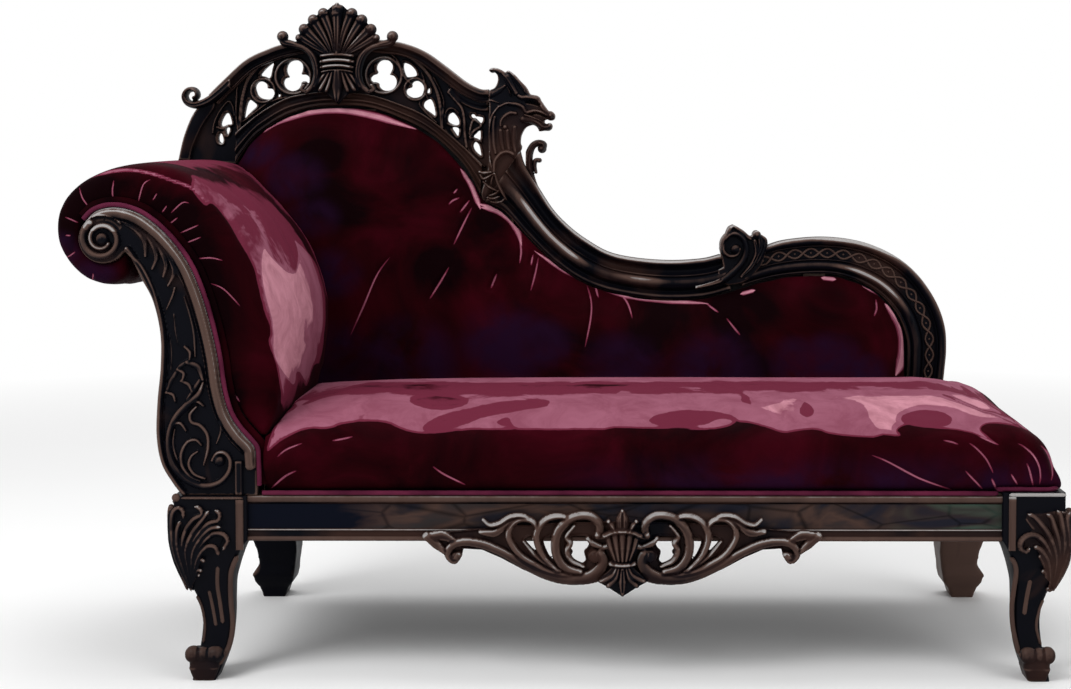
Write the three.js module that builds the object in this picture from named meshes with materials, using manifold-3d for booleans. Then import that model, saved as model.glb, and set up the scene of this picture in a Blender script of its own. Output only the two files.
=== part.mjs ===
// Chaise longue with one scrolled arm: ebonised carved show-wood frame, pierced gothic crest,
// and stuffed velvet upholstery on webbing and coil springs. Millimetres, +Z up, front at -Y.
import * as THREE from 'three';
import { mergeVertices } from 'three/addons/utils/BufferGeometryUtils.js';
import Module from 'manifold-3d';

const wasm = await Module();
wasm.setup();

// Driving dimensions of the whole piece
const overallLength = 1800;
const overallDepth = 704;
const leftBlockInset = 216;
const railTop = 330;
const railHeight = 82;
const railThickness = 44;
const gap = 0.3;
const overrun = 2;

// Where the back frame stands, and how high it rises above the seat rails
const backInset = 95;
const backEndInset = 109;
const backSpan = overallLength - backInset - backEndInset;
const backRise = 916;
const backFrameDepth = 47;
const boardThickness = 22;
const rearFootReach = 30;
const stayWidth = 46;
const bottomRailHeight = 70;
const mouldingWidth = 27;
const mouldingDepth = 32;

// The scrolled arm at the left end
const armSpan = 345;
const armRise = 592;
const facadeThickness = 42;
const facadeRelief = 12;
const facadeProud = 5;
const voluteRadius = 43;
const stumpThickness = 32;
const armSwell = 38;
const armRailRadius = 24;
const armRailHeight = 60;

// Legs, and the seat frame between them
const toeReach = 27;
const blockWidth = 130;
const rightBlockWidth = 111;
const blockDepth = 110;
const rightBlockRise = 7;
const railSetback = 7;
const rearLegWidth = 105;
const rearLegDepth = 97;
const rearLegInset = 19;
const webRebate = 8;
const crossRailWidth = 50;
const cornerBlockSize = 50;
const cornerBlockHeight = 40;

// Carving under the front rail, and at the top of the back
const apronHalfWidth = 346;
const apronHeight = 155;
const apronThickness = 22;
const apronDrop = 21;
const apronCentre = 114;
const crestCentreShare = 0.207;

// Upholstery
const pipingRadius = 4.2;
const webThickness = 2;
const webWidth = 50;
const wireRadius = 1.9;
const coilTurnCount = 3;
const coilRadius = 42;
const coilWaist = 27;
const springRows = 2;
const springColumns = 3;
const seatCrown = 148;
const seatOverhang = 14;
const seatEndRound = 160;
const backSwell = 62;
const backFootSwell = 38;

// Places that follow from the sizes above
const leftEnd = -overallLength / 2;
const rightEnd = overallLength / 2;
const frontLimit = -overallDepth / 2;
const rearLimit = overallDepth / 2;
const legFaceY = frontLimit + toeReach;
const railFaceY = legFaceY + railSetback;
const facadeFrontY = legFaceY - facadeProud;
const facadeBoardY = facadeFrontY + facadeRelief;
const facadeRearY = facadeFrontY + facadeThickness;
const backRearY = rearLimit - rearFootReach;
const backFrontY = backRearY - backFrameDepth;
const boardFrontY = backRearY - boardThickness;
const railBottom = railTop - railHeight;
const webTop = railBottom + webRebate;
const armLeft = leftEnd;
const backLeft = leftEnd + backInset;
const leftBlockX = leftEnd + leftBlockInset;
const rightBlockX = rightEnd - rightBlockWidth;

// Traced outlines, as shares of the back frame's span and rise
const archOuterShares = [[-0.005, 0.643], [0.003, 0.7], [0.016, 0.752], [0.035, 0.788], [0.059, 0.829],
  [0.085, 0.87], [0.111, 0.893], [0.144, 0.911], [0.207, 0.925], [0.268, 0.916], [0.294, 0.909],
  [0.32, 0.891], [0.346, 0.859], [0.373, 0.823], [0.392, 0.806], [0.403, 0.805]];
const archInnerShares = [[0.072, 0.706], [0.083, 0.723], [0.107, 0.755], [0.136, 0.783], [0.157, 0.793],
  [0.192, 0.8], [0.217, 0.798], [0.252, 0.791], [0.287, 0.771], [0.314, 0.751], [0.335, 0.726],
  [0.352, 0.702], [0.373, 0.67], [0.394, 0.635]];
const padEdgeShares = [[0.072, 0.637], [0.079, 0.657], [0.093, 0.69], [0.107, 0.711], [0.136, 0.743],
  [0.171, 0.763], [0.205, 0.768], [0.239, 0.766], [0.267, 0.754], [0.295, 0.734], [0.316, 0.716],
  [0.338, 0.69], [0.359, 0.656], [0.372, 0.63], [0.382, 0.602], [0.392, 0.565]];
const slopeTopShares = [[0.444, 0.665], [0.45, 0.631], [0.466, 0.586], [0.486, 0.532], [0.506, 0.495],
  [0.528, 0.465], [0.559, 0.434], [0.594, 0.42], [0.64, 0.414], [0.682, 0.418], [0.706, 0.428]];
const slopeBottomShares = [[0.397, 0.547], [0.411, 0.54], [0.426, 0.524], [0.457, 0.465], [0.486, 0.416],
  [0.514, 0.379], [0.542, 0.355], [0.576, 0.339], [0.629, 0.327], [0.682, 0.33], [0.72, 0.347]];
const humpOuterShares = [[0.752, 0.438], [0.768, 0.449], [0.792, 0.461], [0.835, 0.468], [0.875, 0.463],
  [0.91, 0.447], [0.942, 0.417], [0.968, 0.375], [0.989, 0.319], [1.0, 0.264], [1.002, 0.212],
  [1.0, 0.166], [0.996, 0.09], [0.995, 0]];
const humpInnerShares = [[0.734, 0.356], [0.773, 0.375], [0.813, 0.384], [0.853, 0.384], [0.886, 0.368],
  [0.915, 0.338], [0.939, 0.291], [0.951, 0.235], [0.952, 0.18], [0.95, 0.12], [0.949, 0.06], [0.949, 0]];
const postOuterShares = [[-0.005, 0.643], [0.003, 0.535], [0.031, 0.404], [0.058, 0.251], [0.072, 0.12],
  [0.078, 0]];
const postInnerShares = [[0.128, 0], [0.128, 0.076], [0.113, 0.186], [0.097, 0.349], [0.083, 0.513],
  [0.072, 0.637]];
const finialSeamShares = [[0.403, 0.805], [0.4035, 0.72], [0.4035, 0.64], [0.399, 0.6], [0.3925, 0.565]];
const finialShares = [[0.4085, 0.807], [0.414, 0.819], [0.413, 0.834], [0.404, 0.845], [0.404, 0.852],
  [0.415, 0.852], [0.425, 0.844], [0.429, 0.848], [0.439, 0.834], [0.449, 0.817], [0.457, 0.794],
  [0.467, 0.792], [0.473, 0.78], [0.48, 0.757], [0.489, 0.752], [0.49, 0.74], [0.484, 0.733],
  [0.486, 0.72], [0.483, 0.709], [0.47, 0.707], [0.466, 0.72], [0.457, 0.723], [0.449, 0.711],
  [0.444, 0.688], [0.4435, 0.667]];
const scrollShares = [[0.453, 0.676], [0.462, 0.686], [0.47, 0.688], [0.478, 0.678], [0.479, 0.666],
  [0.473, 0.657], [0.466, 0.656], [0.467, 0.65], [0.472, 0.644], [0.47, 0.637], [0.466, 0.631],
  [0.465, 0.614], [0.47, 0.587], [0.482, 0.552], [0.493, 0.528]];
const earShares = [[0.044, 0.788], [0.028, 0.77], [0.014, 0.767], [0.006, 0.778], [0.008, 0.79],
  [0.014, 0.795], [0.018, 0.788]];
const crestVoluteShares = [0.7254, 0.44];

// Traced outlines, as shares of the arm's span and rise
const facadeOuterShares = [[0.665, 0], [0.619, 0.035], [0.56, 0.096], [0.536, 0.179], [0.542, 0.282],
  [0.56, 0.386], [0.56, 0.488], [0.524, 0.585], [0.465, 0.653], [0.418, 0.709], [0.383, 0.736]];
const facadeInnerShares = [[0.182, 0.826], [0.241, 0.857], [0.336, 0.867], [0.441, 0.853],
  [0.536, 0.818], [0.629, 0.764], [0.712, 0.695], [0.772, 0.612], [0.82, 0.516], [0.855, 0.42],
  [0.878, 0.323], [0.914, 0.248], [0.973, 0.193], [1.038, 0.151], [1.049, 0.12], [1.053, 0.06],
  [1.053, 0]];
const armPadShares = [[0.4, 0.66], [0.365, 0.642], [0.265, 0.634], [0.158, 0.653], [0.064, 0.709],
  [0.011, 0.771], [0.005, 0.818], [0.041, 0.88], [0.123, 0.936], [0.3, 0.984], [0.477, 0.996],
  [0.654, 0.979], [0.768, 0.919], [0.871, 0.844], [0.974, 0.754], [1.056, 0.649], [1.113, 0.529],
  [1.138, 0.419], [1.143, 0.32], [1.128, 0.23], [1.087, 0.155]];
const voluteCentreShares = [0.27, 0.771];

const ebony = { color: 0x16151a, roughness: 0.34, metalness: 0 };
const brownEbony = { color: 0x2a1a17, roughness: 0.42, metalness: 0 };
const beech = { color: 0xa98358, roughness: 0.7, metalness: 0 };
const velvet = { color: 0x4d0b22, roughness: 0.85, metalness: 0 };
const cordVelvet = { color: 0x6a1538, roughness: 0.75, metalness: 0 };
const jute = { color: 0x9a7b4c, roughness: 0.95, metalness: 0 };
const blackCloth = { color: 0x1b1a1c, roughness: 0.95, metalness: 0 };
const springSteel = { color: 0x8a8c90, roughness: 0.35, metalness: 0.9 };

const chaise = new THREE.Group();

// Adds one named piece to the chaise
function piece(name, geometry, finish) {
  const mesh = new THREE.Mesh(geometry, new THREE.MeshStandardMaterial(finish));
  mesh.name = name;
  chaise.add(mesh);
  return mesh;
}

const onBack = ([x, z]) => new THREE.Vector2(backLeft + backSpan * x, railTop + gap + backRise * z);
const onArm = ([x, z]) => new THREE.Vector2(armLeft + armSpan * x, railTop + gap + armRise * z);
const mix = THREE.MathUtils.lerp;

// Evenly spaced points on a smooth curve through the given ones
function smooth(points, steps) {
  return new THREE.SplineCurve(points).getSpacedPoints(steps);
}

// Normal to the left of a path at one of its points, lengthened at a bend so that a path moved
// along it keeps its distance from both stretches
const sharpestMitreShare = 0.5;
function leftNormal(points, index) {
  const here = points[index];
  const before = points[Math.max(index - 1, 0)];
  const after = points[Math.min(index + 1, points.length - 1)];
  const into = here.clone().sub(index > 0 ? before : after).normalize().multiplyScalar(index > 0 ? 1 : -1);
  const out = index < points.length - 1 ? after.clone().sub(here).normalize() : into.clone();
  const normal = new THREE.Vector2(-into.y - out.y, into.x + out.x).normalize();
  const mitre = Math.max(sharpestMitreShare, normal.dot(new THREE.Vector2(-into.y, into.x)));
  return normal.divideScalar(mitre);
}

// The path moved sideways by a distance, which may change along it
function parallel(points, distance) {
  const last = points.length - 1;
  const distanceAt = typeof distance === 'function' ? distance : () => distance;
  return points.map((point, index) => {
    const normal = leftNormal(points, index);
    return point.clone().addScaledVector(normal, distanceAt(index / last));
  });
}

// The closed outline moved outwards by a distance
function grow(outline, distance) {
  const sign = THREE.ShapeUtils.area(outline) > 0 ? -1 : 1;
  const count = outline.length;
  return outline.map((point, index) => {
    const around = [outline[(index + count - 1) % count], point, outline[(index + 1) % count]];
    return point.clone().addScaledVector(leftNormal(around, 1), sign * distance);
  });
}

// The height of a path at a given x, for a path that runs from left to right
function heightAt(points, x) {
  for (let index = 1; index < points.length; index += 1) {
    const a = points[index - 1];
    const b = points[index];
    if (x <= b.x && b.x > a.x) {
      return mix(a.y, b.y, Math.max(0, (x - a.x) / (b.x - a.x)));
    }
  }
  return points[points.length - 1].y;
}

function toManifold(geometry) {
  const bare = geometry.clone();
  bare.deleteAttribute('normal');
  bare.deleteAttribute('uv');
  const merged = mergeVertices(bare);
  return new wasm.Manifold(new wasm.Mesh({
    numProp: 3,
    vertProperties: new Float32Array(merged.attributes.position.array),
    triVerts: new Uint32Array(merged.index.array),
  }));
}

function toGeometry(solid) {
  const mesh = solid.getMesh();
  const geometry = new THREE.BufferGeometry();
  geometry.setAttribute('position', new THREE.BufferAttribute(mesh.vertProperties, 3));
  geometry.setIndex(new THREE.BufferAttribute(mesh.triVerts, 1));
  geometry.computeVertexNormals();
  return geometry;
}

function join(geometries) {
  let solid = toManifold(geometries[0]);
  for (const geometry of geometries.slice(1)) {
    solid = solid.add(toManifold(geometry));
  }
  return toGeometry(solid);
}

function cut(geometry, tools) {
  let solid = toManifold(geometry);
  for (const tool of tools) {
    solid = solid.subtract(toManifold(tool));
  }
  return toGeometry(solid);
}

// Triangles over a flat ring of points, turning the way that the ring turns
function capFaces(ring) {
  const normal = new THREE.Vector3();
  ring.forEach((point, index) => {
    normal.add(point.clone().cross(ring[(index + 1) % ring.length]));
  });
  normal.normalize();
  const across = ring[1].clone().sub(ring[0]).normalize();
  const up = normal.clone().cross(across);
  const flat = ring.map((point) => new THREE.Vector2(point.dot(across), point.dot(up)));
  return THREE.ShapeUtils.triangulateShape(flat, []).map((face) => {
    const [a, b, c] = face.map((corner) => flat[corner]);
    const turn = b.clone().sub(a).cross(c.clone().sub(a));
    return turn > 0 ? face : [face[0], face[2], face[1]];
  });
}

// A closed solid through rings of points, each ring with as many points as the first
function loft(rings) {
  const count = rings[0].length;
  const positions = rings.flat().flatMap((point) => [point.x, point.y, point.z]);
  const faces = [];
  for (let row = 0; row < rings.length - 1; row += 1) {
    for (let column = 0; column < count; column += 1) {
      const next = (column + 1) % count;
      const a = row * count + column;
      const b = row * count + next;
      faces.push([a, b, b + count], [a, b + count, a + count]);
    }
  }
  const start = (rings.length - 1) * count;
  capFaces(rings[0]).forEach(([a, b, c]) => faces.push([a, c, b]));
  capFaces(rings[rings.length - 1]).forEach((face) => faces.push(face.map((corner) => corner + start)));
  const geometry = new THREE.BufferGeometry();
  geometry.setAttribute('position', new THREE.Float32BufferAttribute(positions, 3));
  const insideOut = volumeOf(rings.flat(), faces) < 0;
  geometry.setIndex(faces.flatMap(([a, b, c]) => (insideOut ? [a, c, b] : [a, b, c])));
  geometry.computeVertexNormals();
  return geometry;
}

function volumeOf(points, faces) {
  return faces.reduce((sum, [a, b, c]) => sum + points[a].dot(points[b].clone().cross(points[c])), 0);
}

// An upright board: its outline in X and Z, its rear face at rearY, coming forward by its thickness
function plate(outline, rearY, thickness, holes = []) {
  const shape = new THREE.Shape(outline);
  shape.holes = holes.map((hole) => new THREE.Path(hole));
  const geometry = new THREE.ExtrudeGeometry(shape, { depth: thickness, bevelEnabled: false });
  geometry.rotateX(Math.PI / 2);
  geometry.translate(0, rearY, 0);
  return geometry;
}

// A flat layer: its outline in X and Y, its underside at the given height
function layer(outline, bottom, thickness, holes = []) {
  const shape = new THREE.Shape(outline);
  shape.holes = holes.map((hole) => new THREE.Path(hole));
  const geometry = new THREE.ExtrudeGeometry(shape, { depth: thickness, bevelEnabled: false });
  geometry.translate(0, 0, bottom);
  return geometry;
}

function block(x0, x1, y0, y1, z0, z1) {
  const geometry = new THREE.BoxGeometry(x1 - x0, y1 - y0, z1 - z0);
  geometry.translate((x0 + x1) / 2, (y0 + y1) / 2, (z0 + z1) / 2);
  return geometry;
}

// A rail along X or Y with the same section all the way; the section is in depth and height
function rail(section, from, to, alongY = false) {
  const shape = new THREE.Shape(section);
  const geometry = new THREE.ExtrudeGeometry(shape, { depth: to - from, bevelEnabled: false });
  if (alongY) {
    geometry.rotateX(Math.PI / 2);
    geometry.translate(0, to, 0);
  } else {
    const axes = [new THREE.Vector3(0, 1, 0), new THREE.Vector3(0, 0, 1), new THREE.Vector3(1, 0, 0)];
    geometry.applyMatrix4(new THREE.Matrix4().makeBasis(...axes));
    geometry.translate(from, 0, 0);
  }
  return geometry;
}

// A moulded strip between two edges, matched point by point; the profile runs from the first edge
// to the second in shares of the width, and stands forward in shares of the depth
function moulding(firstEdge, secondEdge, profileShares, rearY, depth) {
  return loft(firstEdge.map((first, index) => profileShares.map(([across, out]) => {
    const point = first.clone().lerp(secondEdge[index], across);
    return new THREE.Vector3(point.x, rearY - depth * out, point.y);
  })));
}

// A carved ridge on a face: it follows a path in X and Z, rooted at rearY, its sides reaching
// faceY and its crest standing out from there
const stemShares = [[-1, 0], [0, 1], [1, 0]];
const flatShares = [[-1, 1], [1, 1]];
function stem(path, halfWidthAt, crestAt, rearY, faceY, sectionShares = stemShares) {
  const last = path.length - 1;
  return loft(path.map((point, index) => {
    const along = index / last;
    const normal = leftNormal(path, index);
    const halfWidth = halfWidthAt(along);
    const crest = crestAt(along);
    const place = (across, y) => new THREE.Vector3(
      point.x + normal.x * halfWidth * across, y, point.y + normal.y * halfWidth * across);
    return [place(-1, rearY), ...sectionShares.map(([across, out]) => place(across, faceY - crest * out)),
      place(1, rearY)];
  }));
}

// A flat spiral that turns from the outer radius to the inner one
function spiral(centre, outerRadius, innerRadius, startAngle, sweep, steps) {
  return Array.from({ length: steps + 1 }, (_, index) => {
    const along = index / steps;
    const angle = startAngle + sweep * along;
    const radius = mix(outerRadius, innerRadius, along);
    return new THREE.Vector2(centre.x + radius * Math.cos(angle), centre.y + radius * Math.sin(angle));
  });
}

// A round cord along a line of points, its rings square to the line; the side axis is one that
// the line never runs along
function cord(points, radius, sides, sideAxis) {
  const last = points.length - 1;
  return loft(points.map((point, index) => {
    const along = points[Math.min(index + 1, last)].clone().sub(points[Math.max(index - 1, 0)]).normalize();
    const side = sideAxis.clone().cross(along).normalize();
    const up = along.clone().cross(side);
    return Array.from({ length: sides }, (_, corner) => {
      const angle = 2 * Math.PI * corner / sides;
      return point.clone().addScaledVector(side, radius * Math.cos(angle))
        .addScaledVector(up, radius * Math.sin(angle));
    });
  }));
}

// A round cord or wire along a curve
function tube(curve, radius, sides, steps) {
  const section = Array.from({ length: sides }, (_, index) => {
    const angle = 2 * Math.PI * index / sides;
    return new THREE.Vector2(radius * Math.cos(angle), radius * Math.sin(angle));
  });
  return new THREE.ExtrudeGeometry(new THREE.Shape(section), { steps, extrudePath: curve });
}

const taper = (fullWidth, endShare) => (along) => fullWidth * mix(endShare, 1, Math.sin(Math.PI * along));
const swelling = (startWidth, endWidth) => (along) => mix(startWidth, endWidth, along);
const even = (width) => () => width;

// A shape turned over by a mirroring matrix, with its faces still pointing out
function mirrored(geometry, matrix) {
  const bare = geometry.clone();
  bare.deleteAttribute('normal');
  bare.deleteAttribute('uv');
  const result = mergeVertices(bare).applyMatrix4(matrix);
  const corners = result.index.array;
  for (let index = 0; index < corners.length; index += 3) {
    [corners[index + 1], corners[index + 2]] = [corners[index + 2], corners[index + 1]];
  }
  return result;
}
const leftToRight = new THREE.Matrix4().makeScale(-1, 1, 1);
const frontToSide = new THREE.Matrix4().set(0, 1, 0, 0, 1, 0, 0, 0, 0, 0, 1, 0, 0, 0, 0, 1);

// The two sides of a flat band along a path, as one outline
function ribbon(path, halfWidth) {
  return [...parallel(path, halfWidth), ...parallel(path, -halfWidth).reverse()];
}

// Front legs: square block at the rail, leafed knee, slim ankle and a scroll toe turned outwards.
// Rows give height as a share of the leg, and the outer and inner sides as shares of the block.
const legRowShares = [[1, 0, 1], [0.95, 0, 1], [0.87, 0.02, 0.965], [0.775, 0.07, 0.94], [0.66, 0.2, 0.93],
  [0.565, 0.34, 0.93], [0.43, 0.405, 0.925], [0.3, 0.4, 0.89], [0.16, 0.42, 0.83], [0.05, 0.4, 0.77],
  [0, 0.38, 0.74]];
const legCornerShare = 0.12;
const toeHalfWidth = 22;
const toeBandShare = 0.32;
const toeCurlShare = 0.155;
const toeTurnShare = 0.8;
const toeFootShares = [[0.02, 0.2], [-0.12, 0.09]];
const toeCentreShares = [-0.42, 0.207];
const leafPathShares = [
  [[0.04, 1.16], [0.07, 1.02], [0.05, 0.88], [0.08, 0.76], [0.2, 0.64]],
  [[0.15, 1.2], [0.2, 1.05], [0.18, 0.88], [0.2, 0.76], [0.28, 0.66]],
  [[0.27, 1.2], [0.34, 1.08], [0.34, 0.92], [0.31, 0.78], [0.32, 0.68]],
  [[0.4, 1.18], [0.47, 1.08], [0.48, 0.96], [0.43, 0.85], [0.36, 0.76]],
];
const leafHalfWidth = 9;
const leafCrest = 7;
const leafRoot = 16;

function legRing(height, outer, inner, depthShare) {
  const corner = legCornerShare * (inner - outer);
  const outline = [[outer + corner, outer], [inner - corner, outer], [inner, outer + corner],
    [inner, inner - corner], [inner - corner, inner], [outer + corner, inner], [outer, inner - corner],
    [outer, outer + corner]];
  return outline.map(([x, y]) => new THREE.Vector3(x, y * depthShare, height));
}

// The rolled toe, pointing to the outer front corner
function scrollToe(width, depthShare) {
  const onToe = ([out, up]) => new THREE.Vector2(blockWidth * out, blockWidth * up);
  const radius = blockWidth * toeCurlShare;
  const turns = spiral(onToe(toeCentreShares), radius, radius / 3, -Math.PI / 2,
    -2 * Math.PI * toeTurnShare, 8);
  const path = smooth([...toeFootShares.map(onToe), ...turns], 14);
  const toe = plate(ribbon(path, radius * toeBandShare), toeHalfWidth, 2 * toeHalfWidth);
  const ankleShares = legRowShares[legRowShares.length - 3];
  const ankle = width * (ankleShares[1] + ankleShares[2]) / 2;
  toe.rotateZ(Math.PI / 4);
  toe.translate(ankle, ankle * depthShare - toeHalfWidth / 2, 0);
  return toe;
}

// Modelled for the left corner, from its outer front corner: X inwards, Y backwards
function frontLeg(width, topRise) {
  const depthShare = blockDepth / width;
  const shaft = loft(legRowShares.map(([up, outer, inner]) => legRing(
    railBottom * up, width * outer, width * inner, depthShare)));
  const head = block(0, width, 0, blockDepth, railBottom - overrun, railTop + topRise);
  const leaves = leafPathShares.flatMap((path) => {
    const points = smooth(path.map(([x, z]) => new THREE.Vector2(blockWidth * x, railBottom * z)), 3);
    const front = stem(points, taper(leafHalfWidth, 0.25), even(leafCrest), leafRoot, 0);
    return [front, mirrored(front, frontToSide)];
  });
  return join([shaft, head, ...leaves, scrollToe(width, depthShare)]);
}

// Rear legs: plain squared legs that rake backwards, waisted above a small block foot.
// Rows give height, both sides as shares of the width, and the front and rear faces in depth.
const rearRowShares = [[1, 0, 1, 0, 1], [0.65, 0.03, 0.98, 0.02, 1.02], [0.42, 0.2, 0.98, 0.2, 1.1],
  [0.3, 0.21, 0.93, 0.34, 1.16], [0.215, 0.07, 0.9, 0.34, 1.26], [0.14, 0.1, 0.86, 0.46, 1.29],
  [0.08, 0.19, 0.74, 0.58, 1.3], [0, 0.24, 0.68, 0.64, 1.31]];

function rearLeg() {
  const shaft = loft(rearRowShares.map(([up, left, right, front, rear]) => [
    [left, front], [right, front], [right, rear], [left, rear],
  ].map(([x, y]) => new THREE.Vector3(rearLegWidth * x, rearLegDepth * y, railBottom * up))));
  const head = block(0, rearLegWidth, 0, rearLegDepth, railBottom - overrun, railTop);
  return join([shaft, head]);
}

const rearLeftX = leftBlockX + rearLegInset;
const rearRightX = rightEnd - rearLegInset;
const rearBlockY = backRearY - rearLegDepth;

function addLegs() {
  piece('front_left_leg', frontLeg(blockWidth, 0), ebony).position.set(leftBlockX, legFaceY, 0);
  const right = mirrored(frontLeg(rightBlockWidth, rightBlockRise), leftToRight);
  piece('front_right_leg', right, ebony).position.set(rightEnd, legFaceY, 0);
  piece('rear_left_leg', rearLeg(), ebony).position.set(rearLeftX, rearBlockY, 0);
  piece('rear_right_leg', mirrored(rearLeg(), leftToRight), ebony).position.set(rearRightX, rearBlockY, 0);
}

// Moulded rail section in depth from its face and height from its underside, as shares of its
// thickness and height: lower moulding, frieze, top moulding, and a rebate under the webbing
const railSectionShares = [[0, 0], [0, 0.1], [0.06, 0.15], [0.12, 0.17], [0.12, 0.83], [0.06, 0.86],
  [0, 0.9], [0, 1], [1, 1], [1, 0.1], [0.5, 0.1], [0.5, 0]];

function railSection(faceY, thickness) {
  return railSectionShares.map(([depth, up]) => new THREE.Vector2(
    faceY + thickness * depth, railBottom + railHeight * up));
}

const sideFace = railSetback;
const endRailFront = legFaceY + blockDepth + gap;
const endRailRear = rearBlockY - gap;
const railLeft = leftBlockX + blockWidth + gap;
const railRight = rightBlockX - gap;
const backRailLeft = rearLeftX + rearLegWidth + gap;
const backRailRight = rearRightX - rearLegWidth - gap;
const backRailFront = backRearY - railThickness;
const crossRailFront = railFaceY + railThickness + gap;
const crossRailRear = backRailFront - gap;
const crossRailShares = [1 / 3, 2 / 3];
const crossRailTop = railTop - railHeight * 0.35;

function addSeatFrame() {
  piece('front_seat_rail', rail(railSection(railFaceY, railThickness), railLeft, railRight), brownEbony);
  const leftSection = railSection(leftBlockX + sideFace, railThickness);
  piece('left_end_rail', rail(leftSection, endRailFront, endRailRear, true), ebony);
  const rightSection = railSection(rightEnd - sideFace, -railThickness);
  piece('right_end_rail', rail(rightSection, endRailFront, endRailRear, true), ebony);
  const rear = block(backRailLeft, backRailRight, backRailFront, backRearY, webTop, railTop);
  piece('back_seat_rail', rear, beech);
  crossRailShares.forEach((share, index) => {
    const x = mix(railLeft, railRight, share);
    const rung = block(x - crossRailWidth / 2, x + crossRailWidth / 2, crossRailFront, crossRailRear,
      webTop + gap, crossRailTop);
    piece(`seat_cross_rail_${index + 1}`, rung, beech);
  });
}

// Glued corner blocks, each held to its leg by a countersunk screw in a clearance hole
const cornerBlockBottom = webTop + (railTop - webTop - cornerBlockHeight) / 2;

function cornerBlock() {
  const outline = [[0, 0], [cornerBlockSize, 0], [cornerBlockSize, cornerBlockSize * 0.35],
    [cornerBlockSize * 0.35, cornerBlockSize], [0, cornerBlockSize]];
  return layer(outline.map(([x, y]) => new THREE.Vector2(x, y)), cornerBlockBottom, cornerBlockHeight);
}

// Corners in plan: where a leg's side meets the rail, and the way the block points from there
const frontRailInside = railFaceY + railThickness;
const blockCorners = [
  ['front_left', leftBlockX + blockWidth, frontRailInside, 1, 1],
  ['front_right', rightBlockX, frontRailInside, -1, 1],
  ['rear_left', rearLeftX + rearLegWidth, backRailFront, 1, -1],
  ['rear_right', rearRightX - rearLegWidth, backRailFront, -1, -1],
];

function addCornerBlocks() {
  for (const [corner, x, y, right, back] of blockCorners) {
    const turn = new THREE.Matrix4().makeScale(right, back, 1);
    const solid = right * back > 0 ? cornerBlock().applyMatrix4(turn) : mirrored(cornerBlock(), turn);
    piece(`corner_block_${corner}`, solid, beech).position.set(x + right * gap, y + back * gap, 0);
  }
}

// The carved S-shaped facing of the arm: outline, moulded edges, volute, bough and curls
const voluteCentre = onArm(voluteCentreShares);
const facadeInner = smooth(facadeInnerShares.map(onArm), 24);
const facadeOuter = smooth(facadeOuterShares.map(onArm), 12);
// Where the volute's rim starts and how far it runs, as shares of a full turn
const voluteStartShare = 0.0796;
const voluteSweepShare = 0.5443;
const voluteStart = -2 * Math.PI * voluteStartShare;
const voluteRim = spiral(voluteCentre, voluteRadius, voluteRadius, voluteStart,
  -2 * Math.PI * voluteSweepShare, 10);
const facadeOutline = [...facadeOuter, ...voluteRim, ...facadeInner];
const edgeBeadHalfWidth = 7;
const innerBeadHalfWidth = 9;
const stemHalfWidth = 7;
const voluteEyeShare = 0.3;
const boughShares = [[0.784, 0.38], [0.76, 0.32], [0.7, 0.275], [0.64, 0.23], [0.6, 0.15], [0.63, 0.09],
  [0.7, 0.05], [0.82, 0.045], [0.9, 0.075], [0.92, 0.115], [0.88, 0.135], [0.85, 0.11]];
const curlShares = [
  [[0.64, 0.44], [0.72, 0.42], [0.78, 0.385], [0.79, 0.345]],
  [[0.6, 0.34], [0.64, 0.33], [0.68, 0.3], [0.7, 0.28]],
  [[0.795, 0.275], [0.75, 0.285], [0.715, 0.25], [0.76, 0.22], [0.81, 0.2], [0.815, 0.165], [0.79, 0.12]],
  [[0.68, 0.07], [0.67, 0.12], [0.71, 0.16], [0.78, 0.165]],
  [[0.77, 0.08], [0.725, 0.095], [0.715, 0.125], [0.76, 0.14]],
];
const frondShares = [
  [[0.44, 0.815], [0.485, 0.77], [0.48, 0.715]],
  [[0.51, 0.79], [0.55, 0.735], [0.525, 0.67]],
  [[0.56, 0.765], [0.6, 0.7], [0.585, 0.635]],
  [[0.61, 0.73], [0.645, 0.66], [0.61, 0.59]],
];
const splitShares = [[0.4, 0.75], [0.49, 0.69], [0.56, 0.6], [0.62, 0.5], [0.66, 0.42]];

function armFacing() {
  const boardY = facadeBoardY;
  const board = plate(facadeOutline, facadeRearY, facadeRearY - boardY);
  const carve = (shares, halfWidth, steps) => stem(smooth(shares.map(onArm), steps), halfWidth,
    even(facadeRelief), boardY + overrun, boardY);
  const bead = (path, halfWidth) => stem(path, even(halfWidth), even(facadeRelief),
    boardY + overrun, boardY);
  const innerBead = bead(parallel(facadeInner, -innerBeadHalfWidth), innerBeadHalfWidth);
  const outerBead = bead(parallel(facadeOuter, -edgeBeadHalfWidth), edgeBeadHalfWidth);
  const volutePath = spiral(voluteCentre, voluteRadius - edgeBeadHalfWidth, voluteRadius * voluteEyeShare,
    voluteStart, -3.4 * Math.PI, 22);
  const volute = bead(volutePath, edgeBeadHalfWidth * 0.8);
  const carved = [carve(boughShares, swelling(stemHalfWidth / 2, stemHalfWidth), 14),
    carve(splitShares, taper(stemHalfWidth * 0.7, 0.4), 5),
    ...curlShares.map((shares) => carve(shares, taper(stemHalfWidth * 0.8, 0.4), 5)),
    ...frondShares.map((shares) => carve(shares, taper(stemHalfWidth, 0.3), 4))];
  return join([board, innerBead, outerBead, volute, ...carved]);
}

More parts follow.
